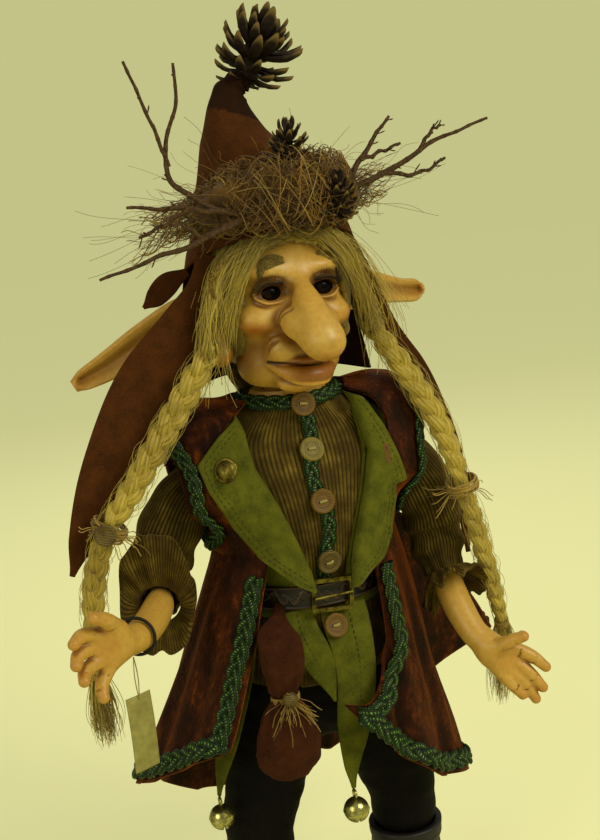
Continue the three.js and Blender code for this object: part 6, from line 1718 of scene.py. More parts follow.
ARMS = {
    "right": {
        "forearm": [[-93, 0, 280, 5], [-96, -9, 277, 5.5], [-101, -22, 273, 9.0], [-112, -42, 270, 9.6],
                    [-124, -60, 270.5, 8.6], [-132, -67, 272, 8.6]],
        "palm": [((-139, -72, 275), (11, 8, 13)), ((-143.5, -75.5, 274), (8.5, 5.5, 12)),
                 ((-137, -73, 282), (7, 6, 6))],
        "hollow": ((-143, -84, 275), (7, 5, 8)),
        "fingers": [
            [[-133, -70, 279, 5.4], [-137, -76, 286, 5.0], [-143, -83, 293.5, 4.3], [-149, -87.5, 297, 3.5]],
            [[-140, -72, 280, 4.8], [-148, -76, 283.5, 4.5], [-156, -81.5, 286.5, 4.1],
             [-161.5, -87.5, 285, 3.4]],
            [[-140, -73, 276, 4.8], [-150, -77, 277, 4.5], [-159, -83, 277, 4.1], [-162, -89, 273.5, 3.4]],
            [[-139, -72, 271, 4.8], [-149, -76.5, 268.5, 4.4], [-157, -82.5, 266.5, 4.0],
             [-159, -88.5, 263.5, 3.3]],
            [[-136, -71, 268, 4.8], [-143.5, -75, 262, 4.3], [-149, -80, 255, 3.9],
             [-149.3, -84.5, 250, 3.2]],
        ],
        "elbow": (-93, 0, 280),
        "back": (0.55, 0.83, 0.1),
    },
    "left": {
        "forearm": [[90, 0, 268, 5], [90, -7, 260, 5.5], [89, -17, 250, 9.0], [88, -32, 237, 9.6],
                    [91, -48, 221, 8.8], [95, -54, 215, 9]],
        "palm": [((99, -58, 209), (11, 7.5, 10)), ((105, -61, 204), (8.5, 6, 10)),
                 ((98, -60, 212), (6, 6, 6))],
        "hollow": ((104, -70, 206), (7, 5, 7)),
        "fingers": [
            [[95, -58, 212, 5.2], [100, -65, 215, 4.8], [106, -71, 219.5, 4.2], [112, -75, 222, 3.4]],
            [[101, -58, 211, 4.8], [111, -62, 209.5, 4.5], [121, -67, 204, 4.1], [128, -71, 196.5, 3.3]],
            [[102, -58, 206, 4.8], [110.5, -62, 201.5, 4.5], [119, -67.5, 192.5, 4.1],
             [125, -71, 183.5, 3.3]],
            [[100, -58, 203, 4.8], [107, -61.5, 196.5, 4.4], [115, -66.5, 186.5, 4.0],
             [120, -70, 176.5, 3.2]],
            [[96, -57, 204, 4.6], [100.5, -60.5, 196.5, 4.2], [107, -65, 187, 3.8], [112, -68, 180.3, 3.1]],
        ],
        "elbow": (90, 0, 268),
        "back": (-0.2, 0.85, 0.45),
    },
}


def crease_knuckles(field, finger, back):
    """Knuckle creases: three stations across the finger on its front and on its back, cut as a
    thin rope a little into the skin, at the two joints."""
    for at, after, share in ((1, 2, 0.1), (2, 3, 0.0)):
        side = unit(np.cross(unit(finger[after, :3] - finger[at, :3]), back))
        knuckle = lerp(finger[at, :3], finger[after, :3], share)
        r = finger[at, 3]
        for flip in (-1, 1):
            out = back * flip * r
            field.cut_rope([[*(knuckle - side * r * 0.7 + out * 0.80), 0.35], [*(knuckle + out * 1.06), 0.42],
                            [*(knuckle + side * r * 0.7 + out * 0.80), 0.35]], 0.9)


def build_hands(doll):
    """Porcelain forearms and hands: palm, thumb and four fingers joined softly, with knuckle
    creases cut across, a hollow in the palm and a nail on the back of each fingertip."""
    for name, arm in ARMS.items():
        fingers = [np.asarray(finger, float) for finger in arm["fingers"]]
        everything = np.concatenate([arm["forearm"], *fingers])[:, :3]
        field = Field(everything.min(0) - 12, everything.max(0) + 12, doll.hand_voxel)
        field.join_rope(arm["forearm"], 2)
        for at, radii in arm["palm"]:
            field.join_ball(at, radii, 5)
        for finger in fingers:
            field.join_rope(finger, 2.2)
        field.cut_ball(*arm["hollow"], 4)
        back = unit(arm["back"])
        nails = []
        for finger in fingers:
            crease_knuckles(field, finger, back)
            way, tip, r = unit(finger[3, :3] - finger[2, :3]), finger[3, :3], finger[3, 3]
            nails.append(tip + back * r * 0.72 + way * r * 0.15)
            field.join_ball(nails[-1], (2.0, 2.0, 2.0), 0.5)
        field.cut_ball(arm["elbow"], 9.5, 0.3)
        points, normals, quads = field.cast()
        tips = sum(spot(points, finger[-1, :3], 4.5) for finger in fingers)
        nail = sum(spot(points, at, 1.9) for at in nails)
        palm = spot(points, arm["hollow"][0], 9)
        tone = rgb(SKIN)
        # The first colour is painted shade in the creases and hollows, from an occlusion measure.
        for colour, share in (
            (SHADE, 0.8 * smoothstep(field.hollow(points, normals, 2.4), 0.12, 0.6)),
            (BLUSH, np.clip(0.5 * tips, 0, 0.5)), ("dcc07a", np.clip(nail * 0.7, 0, 0.7)),
            (BLUSH, 0.3 * palm),
        ):
            tone = lerp(tone, rgb(colour), share[:, None])
        piece(f"{name}_hand_porcelain", Shape().add(points, [quads]), finish("porcelain"),
              f"{name}_forearm", [f"{name}_forearm_hand"], paint=tone)


BREECHES_BOX = ((-84, -46, 60), (84, 50, 252))
LEG = [[23, 1, 196, 26], [31, 0, 168, 26.5], [42, 0, 136, 25.5], [50, 0, 110, 23.5], [51, 0, 97, 21.5]]


def build_breeches(doll):
    """Velvet breeches: seat and two legs joined softly round the knee balls, with drawn folds."""
    field = Field(*BREECHES_BOX, 2.0)
    field.join_ball((0, 1, 205), (48, 38, 48), 4)
    for side in (-1, 1):
        field.join_rope([[side * x, *rest] for x, *rest in LEG], 8)
        field.join_ball(KNEE * [side, 1, 1], 22, 2)
    where, p = field.block(BREECHES_BOX, 1)
    folds = 0.9 * waves(p * [1, 1, 1.8], 44, 221) + 0.5 * waves(p * [0.6, 0.6, 2], 20, 222)
    field.value[where] += folds * smoothstep(p[..., 2], 96, 116)
    field.cut_above(where, p[..., 2] - 249, 1.5)
    points, _, quads = field.cast()
    piece("breeches_velvet", Shape().add(points, [quads]), finish("black_velvet"), "body",
          ["breeches"])


def build_boots(doll):
    """Soft leather boots: a rounded foot on a flat sole and a wrinkled shaft cupped at the knee."""
    for name, sign in (("right", -1), ("left", 1)):
        x = sign * KNEE[0]
        box = ((x - 32, -66, -4), (x + 32, 34, 92))
        field = Field(*box, 1.2)
        field.join_rope([[x, 10, 13, 14], [x, -8, 13, 15.5], [x, -30, 12, 15.8], [x, -44, 10, 14.2]], 4)
        field.join_rope([[x, 6, 14, 16.5], [x, 5, 34, 18], [x, 2, 60, 22], [x, 0, 78, 25]], 6)
        where, p = field.block(box, 1)
        z = p[..., 2]
        wrinkle = 0.9 * np.sin(z * 0.55 + 0.05 * p[..., 0] + 0.8 * waves(p, 40, 231))
        wrinkle = wrinkle * smoothstep(z, 18, 34) * smoothstep(z, 76, 60)
        field.value[where] += wrinkle + 0.25 * waves(p, 12, 232)
        field.cut_above(where, 0.3 - z, 1.2)
        field.cut_above(where, z - 79.5, 1.2)
        field.value[where] += 0.8 * hump(z, 4.2, 0.7)
        field.cut_ball(KNEE * [sign, 1, 1], 23.2, 0.4)
        points, _, quads = field.cast()
        piece(f"{name}_boot_leather", Shape().add(points, [quads]), finish("boot"),
              f"{name}_boot", [f"{name}_boot"])


# The torso's calico is darkened: painted shade at the neck.
CARRIED = {"torso": "calico", "shoulder_plate": "plain_bisque", "right_upper_arm": "plain_bisque",
           "left_upper_arm": "plain_bisque", "buckle_frame": "brass", "buckle_prong": "brass"}


def build_carried(doll):
    """Finishes of the nodes that keep their CAD mesh: the stuffed body, plate, arms and buckle."""
    for name, look in CARRIED.items():
        mesh = bpy.data.objects[name].data
        mesh.materials.clear()
        mesh.materials.append(finish(look))


CATKIN = [[-40.5, -46, 475], [-50.4, -48, 466.3], [-52.4, -48, 459], [-50.6, -47, 453]]


def build_catkin(doll):
    """Hazel catkin on the hat's rim: rows of small round bracts set by the golden angle."""
    count = 90
    path = curve(CATKIN, np.linspace(0, 1, count))
    along = unit(np.gradient(path, axis=0))
    one, two = square_to(along, [0.2, -1, 0.1])
    a = np.arange(count)[:, None] * GOLDEN_ANGLE
    swell = 0.7 + 0.9 * np.sin(np.linspace(0.25, 0.92, count) * math.pi)
    at = path + (one * np.cos(a) + two * np.sin(a)) * swell[:, None] * 0.8
    core = [[*point, 0.8] for point in path[::11]]
    shape = Shape().loft(swept(core, (1, 0, 0), 12, 60))
    shape.dotted(np.stack([at - along * 0.5, at + along * 0.5], 1), 0.62)
    piece("catkin", shape, finish("catkin"), "head", outward=True)


# Hair, hat and its trimmings
HEAD = np.array([0, -2, 446.0])
SKULL = np.array([40, 45, 50.0])
RIM_LINE = np.array([[-90, 501], [90, 439.0]])
HAT = [[0, 4, 438, 56, 60], [0, 3, 466, 53, 56], [-2, 2, 482, 49, 52], [-6, 1, 500, 40, 43],
       [-11, 0, 520, 30.5, 33], [-16, 0, 541, 20, 21], [-16.5, 0, 557, 13, 13.5], [-13, 0, 567, 9, 9],
       [-7, -1, 571.5, 6.5, 6.5], [-2, -2, 570, 4, 4]]
HAT_LEAF = [[-50, 11, 465, 2.5, 1], [-62, 15, 459, 7, 1], [-71, 18, 451, 6, 1], [-78, 20, 446, 1.2, 1]]
FLAPS = {
    "right": [[-45, -19, 476, 6], [-51, -22, 457, 9], [-64, -25, 440, 13], [-88, -29, 408, 21],
              [-107, -31, 381, 20], [-126, -31, 350, 16], [-142, -29, 322, 8], [-150, -28, 304, 1.6]],
    "left": [[51, 6, 472, 6], [60, 8, 448, 8], [74, 10, 412, 9], [91, 11, 382, 10], [105, 11, 352, 8],
             [114, 11, 322, 7], [119, 12, 290, 5], [120, 12, 252, 1.6]],
}
FLAP_HALF = 1.1
PLAITS = {
    "right": [[-54, -41, 425, 6.5], [-72, -42, 402, 8], [-91, -43, 378, 8], [-112, -44, 351, 7.5],
              [-128, -42, 330, 6.5], [-138, -32, 300, 7], [-141, -24, 268, 6.5], [-142, -16, 237, 4.5],
              [-141, -12, 208, 6], [-140, -11, 188, 2.5]],
    "left": [[51, -18, 424, 6.5], [70, -31, 388, 7.5], [86, -37, 352, 7.5], [97, -37, 314, 6],
             [108, -32, 276, 6.5], [119, -24, 238, 6], [128, -14, 208, 4.5], [130, -8, 178, 6],
             [127, -5, 147, 2.5]],
}
PLAIT_END = {"right": 7.0 / 9, "left": 6.0 / 8}
TIES = {"right": (-128, -42, 330), "left": (97, -36, 314)}
FACE_WINDOW = np.array([[0, 481], [20, 476], [32, 462], [35, 440], [33, 412], [26, 380.0]])


def rim_z(y):
    """Height of the hat's sloping rim at a depth y."""
    return np.interp(y, RIM_LINE[:, 0], RIM_LINE[:, 1])


def build_hat(doll):
    """Pointed felt hat: rings along its bent axis, cut by the sloping rim, with a lining 2 mm
    inside, soft dents, and a darker band under the cone. A small leaf stands behind its side."""
    def dents(angle, f):
        return (0.9 * np.sin(angle * 3 + f * 14) * smoothstep(f, 0.35, 0.6)
                + 0.7 * np.sin(f * 60) * smoothstep(f, 0.68, 0.8) * smoothstep(f, 1.0, 0.9))
    fine = swept(HAT, (1, 0, 0), 120, 500, dents)
    walls = []
    for lift in (0.0, -FELT):
        centre = curve(HAT, np.linspace(0, 1, 501))[:, None]
        reach = np.linalg.norm(fine - centre, axis=2, keepdims=True)
        shrunk = centre + (fine - centre) * np.clip((reach + lift) / reach, 0.3, 1)
        start = np.argmax(shrunk[..., 2] > rim_z(shrunk[..., 1]), axis=0)
        share = np.linspace(0, 1, 84)[:, None]
        index = start[None] + share * (500 - start[None])
        low = np.minimum(index.astype(int), 499)
        column = np.arange(120)[None]
        walls.append(lerp(shrunk[low, column], shrunk[low + 1, column], (index - low)[..., None]))
    outer, inner = walls
    rings = np.concatenate([inner[::-1], outer])
    # Felt above this slanting line gets a low tint: painted shade of the folded tip under the cone.
    tone = np.where(rings[..., 2] > 548 - 0.35 * rings[..., 0], 0.12, 0.5)
    shape = Shape().loft(rings, tint=tone)
    shape.loft(swept(HAT_LEAF, (0, 0, 1), 32, 40, flatten=3))
    piece("hat_felt", shape, finish("brown_felt"), "head", ["hat"], outward=True)


def build_flaps(doll):
    """Ear flaps of the hat: long leaves of felt with a stitched edge and a stitched middle line."""
    for name, line in FLAPS.items():
        stations = [s + [FLAP_HALF] for s in line]
        rings = swept(stations, (1, 0, 0), 64, 160, flatten=3.5)
        middle = rings.mean(axis=1, keepdims=True)
        bend = 1.6 * waves(rings, 60, 41) + 0.5 * waves(rings, 17, 42)
        f = np.linspace(0, 1, len(rings))[:, None]
        rings = rings + np.array([0, 1.0, 0]) * (bend * smoothstep(f, 0.1, 0.3))[..., None]
        shape = Shape().loft(rings)
        cloth = piece(f"hat_{name}_flap_felt", shape, finish("brown_felt"), None,
                      [f"hat_{name}_flap"], outward=True)
        rows = Shape()
        for column in (3, 16, 29):
            line = rings[14:-12, (64 - column) % 64]
            inset = lerp(line, middle[14:-12, 0], 0.12)
            rows.dotted(stitches(inset + [0, -0.35, 0]), 0.32)
        thread = piece(f"hat_{name}_flap_stitching", rows, finish("brown_thread"))
        for made in (cloth, thread):
            drape(made, name)


def drape(made, name):
    """Blends a hanging piece between the head and the body."""
    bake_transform(made)


NAPE_HALF, NAPE_LOW, NAPE_CORNER_OUT, NAPE_LOW_Z, NAPE_CORNER_DOWN = 74, 53, 14, 392, 5


def build_nape(doll):
    """Nape flap: a curved sheet that goes on from the hat's wall behind, down to the neck."""
    angle = np.linspace(-NAPE_HALF, NAPE_HALF, 90)[None]
    f = np.linspace(0, 1, 40)[:, None]
    corner = np.abs(angle / NAPE_HALF) ** 3
    s, c = np.sin(np.radians(angle)), np.cos(np.radians(angle))
    hat = np.asarray(HAT, float)
    wide, deep, middle = (np.interp(rim_z(HAT[0][4] * c), hat[:8, 2], hat[:8, k]) for k in (3, 4, 1))
    low = NAPE_LOW + NAPE_CORNER_OUT * corner
    top_y = middle + (deep - FELT) * c
    flare = 1.2 * np.sin(np.radians(angle) * 9) * f ** 2

    def grid(offset):
        return np.stack([
            lerp(wide - FELT, low, f) * s + (offset + flare) * s,
            lerp(top_y, low * c, f) + (offset + flare) * c,
            lerp(rim_z(top_y) - 1.2, NAPE_LOW_Z - NAPE_CORNER_DOWN * corner, f),
        ], -1)

    # Its felt is darker than the hat's: painted shade behind the head.
    piece("hat_nape_felt", Shape().sheet(grid(FELT), grid(0)), finish("dark_felt"), "head",
          ["hat_nape_flap"], outward=True)


def along_plait(name, f):
    """Centre, sideways and outward directions, and half size, of a plait at shares f."""
    stations = np.asarray(PLAITS[name], float)
    centre = curve(stations, f)
    tangent = unit(np.gradient(centre, axis=0))
    side = unit(np.cross(tangent, [0.25, -1.0, 0.1]))
    out = np.cross(side, tangent)
    size = row_at(stations[:, 3:4], f * (len(stations) - 1))[:, 0]
    return centre, tangent, side, -out, size


def build_plaits(doll):
    """Plaits of three strands, each swaying as sin(a) and lifting as sin(2a); a strand is a
    grooved bundle, and fine loose hairs stand off it. A loose tuft ends each plait."""
    for name, sign in (("right", -1), ("left", 1)):
        rng = np.random.default_rng(51 + sign)
        f = np.linspace(0, PLAIT_END[name], 280)
        centre, _, side, out, size = along_plait(name, f)
        reach = run_along(centre)
        turn = TAU * reach / 38
        tie = hump(np.linalg.norm(centre - np.array(TIES[name]), axis=1), 0, 8)
        shape = Shape()
        for k in range(3):
            a = turn + k * TAU / 3
            path = (centre + side * (np.sin(a) * size * 0.46 * (1 - 0.35 * tie))[:, None]
                    + out * (np.sin(2 * a) * size * 0.30)[:, None])
            way = unit(np.gradient(path, axis=0))
            one = unit(np.cross(way, out))
            two = np.cross(one, way)
            count = 44
            angle = np.arange(count) / count * TAU
            twist = reach[:, None] / 26 + angle[None]
            groove = (1 + 0.07 * np.sin(twist * 9) + 0.05 * np.sin(twist * 17 + 1.7)
                      + 0.03 * np.sin(twist * 5 + reach[:, None] / 7))
            fat = (size * 0.52 * (1 - 0.3 * tie))[:, None] * groove
            rings = (path[:, None] + one[:, None] * (np.cos(angle) * fat)[..., None]
                     + two[:, None] * (np.sin(angle) * fat * 0.80)[..., None])
            # Strands darker in their grooves and lighter on their ridges: painted shade and painted highlight.
            tone = 0.62 + 0.35 * (groove - 1) / 0.15
            shape.loft(rings, reach, np.arange(count + 1) / count, tint=tone)
        count = 190
        start = rng.uniform(0, 0.93, count)
        span = rng.uniform(0.05, 0.12, count)
        g = np.linspace(0, 1, 14)[None]
        index = np.clip(start[:, None] + span[:, None] * g, 0, 1) * (len(f) - 1)

        def at_index(values):
            return np.stack([np.interp(index, np.arange(len(f)), row) for row in values.T], -1)

        thick = at_index(size[:, None])[..., 0]
        whirl = rng.uniform(0, TAU, (count, 1)) + rng.uniform(-1.5, 1.5, (count, 1)) * g
        lift = thick * (1.08 + 0.35 * rng.uniform(0, 1, (count, 1)) * np.sin(g * math.pi))
        loose = (at_index(centre) + at_index(side) * (np.cos(whirl) * lift)[..., None]
                 + at_index(out) * (np.sin(whirl) * lift * 0.9)[..., None])
        shape.strands(loose, 0.16, 3, rng.uniform(0.4, 1, count))
        count = 240
        end, way = centre[-1], unit(centre[-1] - centre[-6])
        g = np.linspace(0, 1, 13)
        line = curve(PLAITS[name], lerp(PLAIT_END[name] - 0.01, 1.0, g))
        spread = rng.normal(0, 1, (count, 3)) * [1, 0.7, 0.3]
        fan = (1.6 + 3.6 * np.sin(g * 2.3))[None, :, None] * spread[:, None] * 0.8
        wisp = 1.5 * curls(rng, g[None, :, None], count, 4, 9) * g[None, :, None]
        cutoff = rng.uniform(0.55, 1.0, (count, 1))
        t = g[None] * cutoff
        spine = np.stack([np.interp(t, g, line[:, k]) for k in range(3)], -1)
        shape.strands(spine + fan + wisp, 0.3 * (1 - 0.6 * g)[None], 3, rng.uniform(0.3, 1, count))
        band = Shape()
        wind = np.linspace(0, TAU * 4, 90)
        ring = (end + side[-1] * (np.cos(wind) * 4.6)[:, None] + out[-1] * (np.sin(wind) * 4.4)[:, None]
                - way * lerp(2, -2, wind / wind[-1])[:, None])
        band.strands(ring[None], 0.5, 6)
        drape(piece(f"{name}_plait_hair", shape, finish("mohair"), None, [f"{name}_plait"]), name)
        drape(piece(f"{name}_plait_band", band, finish("raffia")), name)


def outside_head(p, lift):
    """Points moved straight out from the head's centre until they are `lift` clear of the skull."""
    v = (p - HEAD) / (SKULL + lift[..., None])
    r = np.linalg.norm(v, axis=-1, keepdims=True)
    return np.where(r < 1, HEAD + (p - HEAD) / np.maximum(r, 1e-3), p)


def bezier(points, f):
    """Cubic Bezier curves: points, four arrays (strands, 3); f, shares along."""
    a, b, c, d = (p[:, None] for p in points)
    f = f[None, :, None]
    return a * (1 - f)**3 + 3 * b * (1 - f)**2 * f + 3 * c * (1 - f) * f**2 + d * f**3


def build_wig(doll):
    """Mohair wig: a cap over the skull with a window for the face, and strands combed from a
    middle parting over the temples into the plaits, each a cubic curve held clear of the skull."""
    polar = np.linspace(0.02, 2.35, 68)[:, None]
    angle = np.linspace(0, TAU, 141)[:-1][None]
    way = np.stack([
        np.sin(polar) * np.sin(angle), -np.sin(polar) * np.cos(angle), np.cos(polar) + 0 * angle,
    ], -1)

    def cap(lift):
        return HEAD + way * (SKULL + lift)

    outer, inner = cap(4.6), cap(1.2)
    middle = (outer[:-1] + outer[1:]) / 2
    middle = (middle + np.roll(middle, -1, 1)) / 2
    window = np.interp(middle[..., 2], FACE_WINDOW[::-1, 1], FACE_WINDOW[::-1, 0], right=0) - 1.5
    keep = ~((np.abs(middle[..., 0]) < window) & (middle[..., 1] < -4))
    shape = Shape().sheet(outer, inner, around=True, keep=keep, tint=0.35)
    piece("wig_cap", shape, finish("mohair"), "head", ["wig"], outward=True)
    strands = Shape()
    for name, sign, seed in (("right", -1, 61), ("left", 1, 62)):
        rng = np.random.default_rng(seed)
        count = doll.hair_strands
        root = np.array(PLAITS[name][0][:3], float)
        back = rng.uniform(0, 1, count) ** 1.3
        fall = rng.uniform(0, 1, count)
        start = np.stack([
            sign * (1.5 + 12 * fall * (1 - back)), -44 + 60 * back - 2 * fall,
            484 + 10 * np.sin(back * 2.2) - 5 * fall * (1 - back),
        ], 1) + rng.normal(0, 1.3, (count, 3))
        side = np.stack([
            sign * (42 + 12 * rng.uniform(0, 1, count)), lerp(-34, 8, back) + rng.normal(0, 2, count),
            478 - 8 * back + rng.normal(0, 3, count),
        ], 1)
        low = root + np.stack([
            -sign * rng.uniform(0, 9, count), lerp(2, 22, back), lerp(26, 22, back) + rng.normal(0, 3, count),
        ], 1)
        end = root + rng.normal(0, 2.9, (count, 3)) + unit(np.array(PLAITS[name][1][:3]) - root) * 5
        f = np.linspace(0, 1, 15)
        paths = bezier((start, side, low, end), f)
        curl = 1.1 * curls(rng, f[None, :, None], count, 5, 12)
        paths = paths + curl * (np.sin(f * math.pi) ** 0.7)[None, :, None]
        paths = outside_head(paths, rng.uniform(2.6, 8.0, (count, 1)) + 0 * paths[..., 0])
        radius = 0.42 * (0.55 + 0.45 * np.sin(np.pi * np.clip(f, 0.05, 0.95)))
        tone = np.clip(rng.normal(0.62, 0.22, count), 0, 1)
        strands.strands(paths, radius[None] * np.ones((count, 1)), 3, tone)
        count = 60
        begin = start[:count]
        stop = np.stack([
            sign * rng.uniform(42, 66, count), rng.uniform(-52, -18, count), rng.uniform(388, 440, count),
        ], 1)
        bow = np.stack([
            sign * rng.uniform(34, 60, count), rng.uniform(-50, -20, count), rng.uniform(455, 490, count),
        ], 1)
        bend = lerp(bow, stop, 0.6) + rng.normal(0, 5, (count, 3))
        wisps = outside_head(bezier((begin, bow, bend, stop), f), np.full((count, len(f)), 6.0))
        wisps = wisps + 1.6 * curls(rng, f[None, :, None], count, 5, 13) * f[None, :, None]
        strands.strands(wisps, 0.17, 3, rng.uniform(0.5, 1, count))
        count = 70
        across = rng.uniform(0, 1, (count, 1))
        begin, brow, cheek = (
            np.concatenate([sign * lerp(low_x, high_x, across), y + deep * across, z - fall * across], 1)
            + rng.normal(0, loose, (count, 3))
            for low_x, high_x, y, deep, z, fall, loose in (
                (2, 22, -38, 6, 492, 4, 1.5), (14, 34, -50, 8, 482, 4, 2), (36, 44, -44, 6, 466, 2, 2.5))
        )
        stop = np.concatenate([
            sign * lerp(38, 50, across), -40 + 4 * across, rng.uniform(420, 446, (count, 1)),
        ], 1)
        clear = rng.uniform(3.5, 7.0, (count, 1)) + np.zeros((1, len(f)))
        locks = outside_head(bezier((begin, brow, cheek, stop), f), clear)
        locks = locks + 0.9 * curls(rng, f[None, :, None], count, 5, 12)
        strands.strands(locks, 0.3 * (1 - 0.6 * f)[None], 3, rng.uniform(0.55, 1, count))
    piece("wig_strands", strands, finish("mohair"), "head")
    rng = np.random.default_rng(63)
    count = doll.hair_strands
    a = np.radians(rng.uniform(-56, 56, count))
    out = np.stack([np.sin(a), np.cos(a), 0 * a], 1)
    begin = out * [44, 44, 1] + [0, 0, 416] + rng.normal(0, 1.5, (count, 3))
    middle = out * [34, 44, 1] + [0, -2, 398] + rng.normal(0, 2.0, (count, 3))
    low = out * [27, 38, 1] + [0, -3, 386] + rng.normal(0, 2.5, (count, 3))
    tip = out * [23, 32, 1] + np.stack([0 * a, 0 * a - 4, rng.uniform(375, 383, count)], 1)
    tip = tip + rng.normal(0, 1.4, (count, 3)) * [1, 1, 0.2]
    # Nape locks get a low tint, darker than the other strands: painted shade behind the neck.
    locks = Shape().strands(bezier((begin, middle, low, tip), np.linspace(0, 1, 10)), 0.4, 3,
                            np.clip(rng.normal(0.35, 0.2, count), 0, 1))
    piece("wig_nape_hair", locks, finish("mohair"), "head")


CONES = {
    "hat_tip_cone": ((-4.6, -2, 573.5), (0.42, 0, 0.9), 34, 27, 58),
    "front_cone": ((0, -45, 519), (0.05, -0.35, 0.9), 26, 15, 46),
    "side_cone": ((24, -56, 491), (-0.1, -0.5, 0.85), 24, 15, 46),
}


def cone_scale():
    """One scale of unit reach as a closed sheet: narrow at its root, widening to a rounded spade
    whose tip curls up. Returns its points, faces and how near each point is to the edge."""
    u, v = np.linspace(0, 1, 8)[:, None], np.linspace(-1, 1, 7)[None]
    width = 0.07 + 0.095 * np.sin(np.clip(u, 0, 1) ** 1.4 * 2.3)
    width = width * np.where(u > 0.86, 0.72, 1.0)
    x = u * (1 - 0.06 * v**2 * (u > 0.8)) + 0 * v
    y = width * v
    z = 0.20 * u**3 - 0.06 * v**2 * u
    thick = 0.022 + 0.03 * hump(u, 0.93, 0.08) * (1 - v**2)
    top = np.stack([x, y, z + thick], -1)
    low = np.stack([x, y, z - thick], -1)
    shape = Shape().sheet(top, low)
    rim = np.maximum(0.6 * np.abs(v) ** 3, smoothstep(u, 0.78, 0.95)) * smoothstep(u, 0.35, 0.7)
    return shape.points[0], shape.faces, np.concatenate([rim.ravel(), rim.ravel()])


def build_cones(doll):
    """Open pine cones: scales set round a core by the golden angle, longest in the middle, lying
    back at the base and standing up towards the tip."""
    points, faces, rim = cone_scale()
    for name, (at, way, length, radius, count) in CONES.items():
        rng = np.random.default_rng(71 + count)
        way = unit(way)
        one, two = square_to(way)
        basis = np.stack([one, two, way])
        f = (np.arange(count) + 0.5) / count
        reach = radius * (0.46 + 0.54 * np.sin(np.pi * (0.10 + 0.80 * f))) * rng.uniform(0.74, 1.05, count)
        pitch = np.radians(lerp(-26, 46, f) + rng.normal(0, 9, count))
        turn = np.arange(count) * GOLDEN_ANGLE
        local = points[None] * reach[:, None, None] * np.array([1.04, 0.82, 1.35])
        x = local[..., 0] * np.cos(pitch)[:, None] - local[..., 2] * np.sin(pitch)[:, None]
        z = local[..., 0] * np.sin(pitch)[:, None] + local[..., 2] * np.cos(pitch)[:, None]
        y = local[..., 1]
        px = x * np.cos(turn)[:, None] - y * np.sin(turn)[:, None]
        py = x * np.sin(turn)[:, None] + y * np.cos(turn)[:, None]
        pz = z + (length * lerp(0.03, 0.80, f))[:, None]
        world = np.asarray(at, float) + np.stack([px, py, pz], -1) @ basis
        shape = Shape()
        shape.loft(turned([[radius * 0.16, 0], [radius * 0.26, length * 0.1], [radius * 0.24, length * 0.5],
                           [radius * 0.1, length * 0.85], [0.3, length * 0.95]], at, way, 20), tint=0.1)
        for k in range(count):
            shape.add(world[k], faces, None, rim)
        piece(f"{name}_scales", shape, finish("cone"), "head", [name], outward=True)


TWIGS = {
    "right_twigs": [
        [[-26, -50, 497, 2.2], [-55, -54, 487, 1.7], [-85, -58, 480, 1.2], [-116, -60, 473, 0.8]],
        [[-55, -54, 487, 1.4], [-66, -57, 496, 1.1], [-74, -58, 497, 0.8]],
        [[-27, -50, 497, 1.9], [-44, -50, 501, 1.8], [-60, -49, 504, 1.5], [-80, -52, 507, 1.1],
         [-95, -53, 509, 0.8]],
        [[-60, -49, 504, 1.3], [-76, -51, 497, 1.1], [-90, -51, 492, 0.8]],
        [[-40, -50, 500, 1.8], [-52, -46, 507, 1.7], [-66, -42, 520, 1.5], [-66, -40, 540, 1.2],
         [-57, -38, 562, 1.0], [-56, -38, 583, 0.8]],
        [[-66, -41, 528, 1.2], [-72, -40, 550, 1.0], [-84, -40, 586, 0.8]],
    ],
    "left_twigs": [
        [[32, -48, 504, 2.2], [58, -50, 511, 1.7], [80, -52, 522, 1.4], [102, -53, 530, 1.0],
         [124, -54, 536, 0.8]],
        [[58, -50, 511, 1.4], [80, -51, 509, 1.1], [96, -52, 516, 0.8]],
        [[80, -52, 522, 1.2], [88, -53, 532, 1.0], [94, -54, 535, 0.8]],
        [[33, -48, 504, 1.8], [42, -46, 516, 1.6], [56, -44, 532, 1.2], [66, -45, 543, 0.8]],
        [[45, -46, 520, 1.3], [58, -44, 523, 1.1], [72, -44, 527, 0.8]],
    ],
}


def build_twigs(doll):
    """Forked twigs: knotted tubes along the branches, with buds and short spurs standing off."""
    for name, branches in TWIGS.items():
        rng = np.random.default_rng(81 + len(branches))
        shape = Shape()
        for stations in branches:
            def knots(angle, f, s=len(stations)):
                knot = 0.22 * np.abs(np.sin(f * math.pi * (s * 2 + 1))) ** 12
                return knot + 0.07 * np.sin(angle * 3 + f * 40)
            rings = swept(stations, (0, 1, 0), 12, 70, knots)
            f = np.linspace(0, 1, 71)[:, None, None]
            crook = 0.9 * np.sin(f * 17 + rng.uniform(0, 6)) * np.sin(f * math.pi)
            rings = rings + crook * np.array([0.2, 0.4, 0.9])
            shape.loft(rings, lengths(rings))
            centre = rings.mean(axis=1)
            for at in rng.integers(14, 68, 5):
                way = unit(centre[min(at + 2, 70)] - centre[at - 2])
                out = unit(np.cross(way, rng.normal(size=3)))
                long = rng.uniform(1.6, 5.5)
                f1 = np.linspace(0, 1, 7)[:, None]
                spur = centre[at] + out * long * f1 + way * long * 0.9 * f1 ** 1.4
                shape.strands(spur[None], np.array([0.62, 0.5, 0.42, 0.38, 0.5, 0.46, 0.15])[None] * 0.9, 6)
        piece(f"{name}_bark", shape, finish("twig"), "head", [name], outward=True)


NEST = [[-47, -14, 500, 9, 7], [-38, -34, 504, 14, 11], [-16, -48, 507, 17, 13], [10, -51, 508, 18, 13],
        [32, -42, 506, 16, 12], [46, -22, 500, 9, 7]]


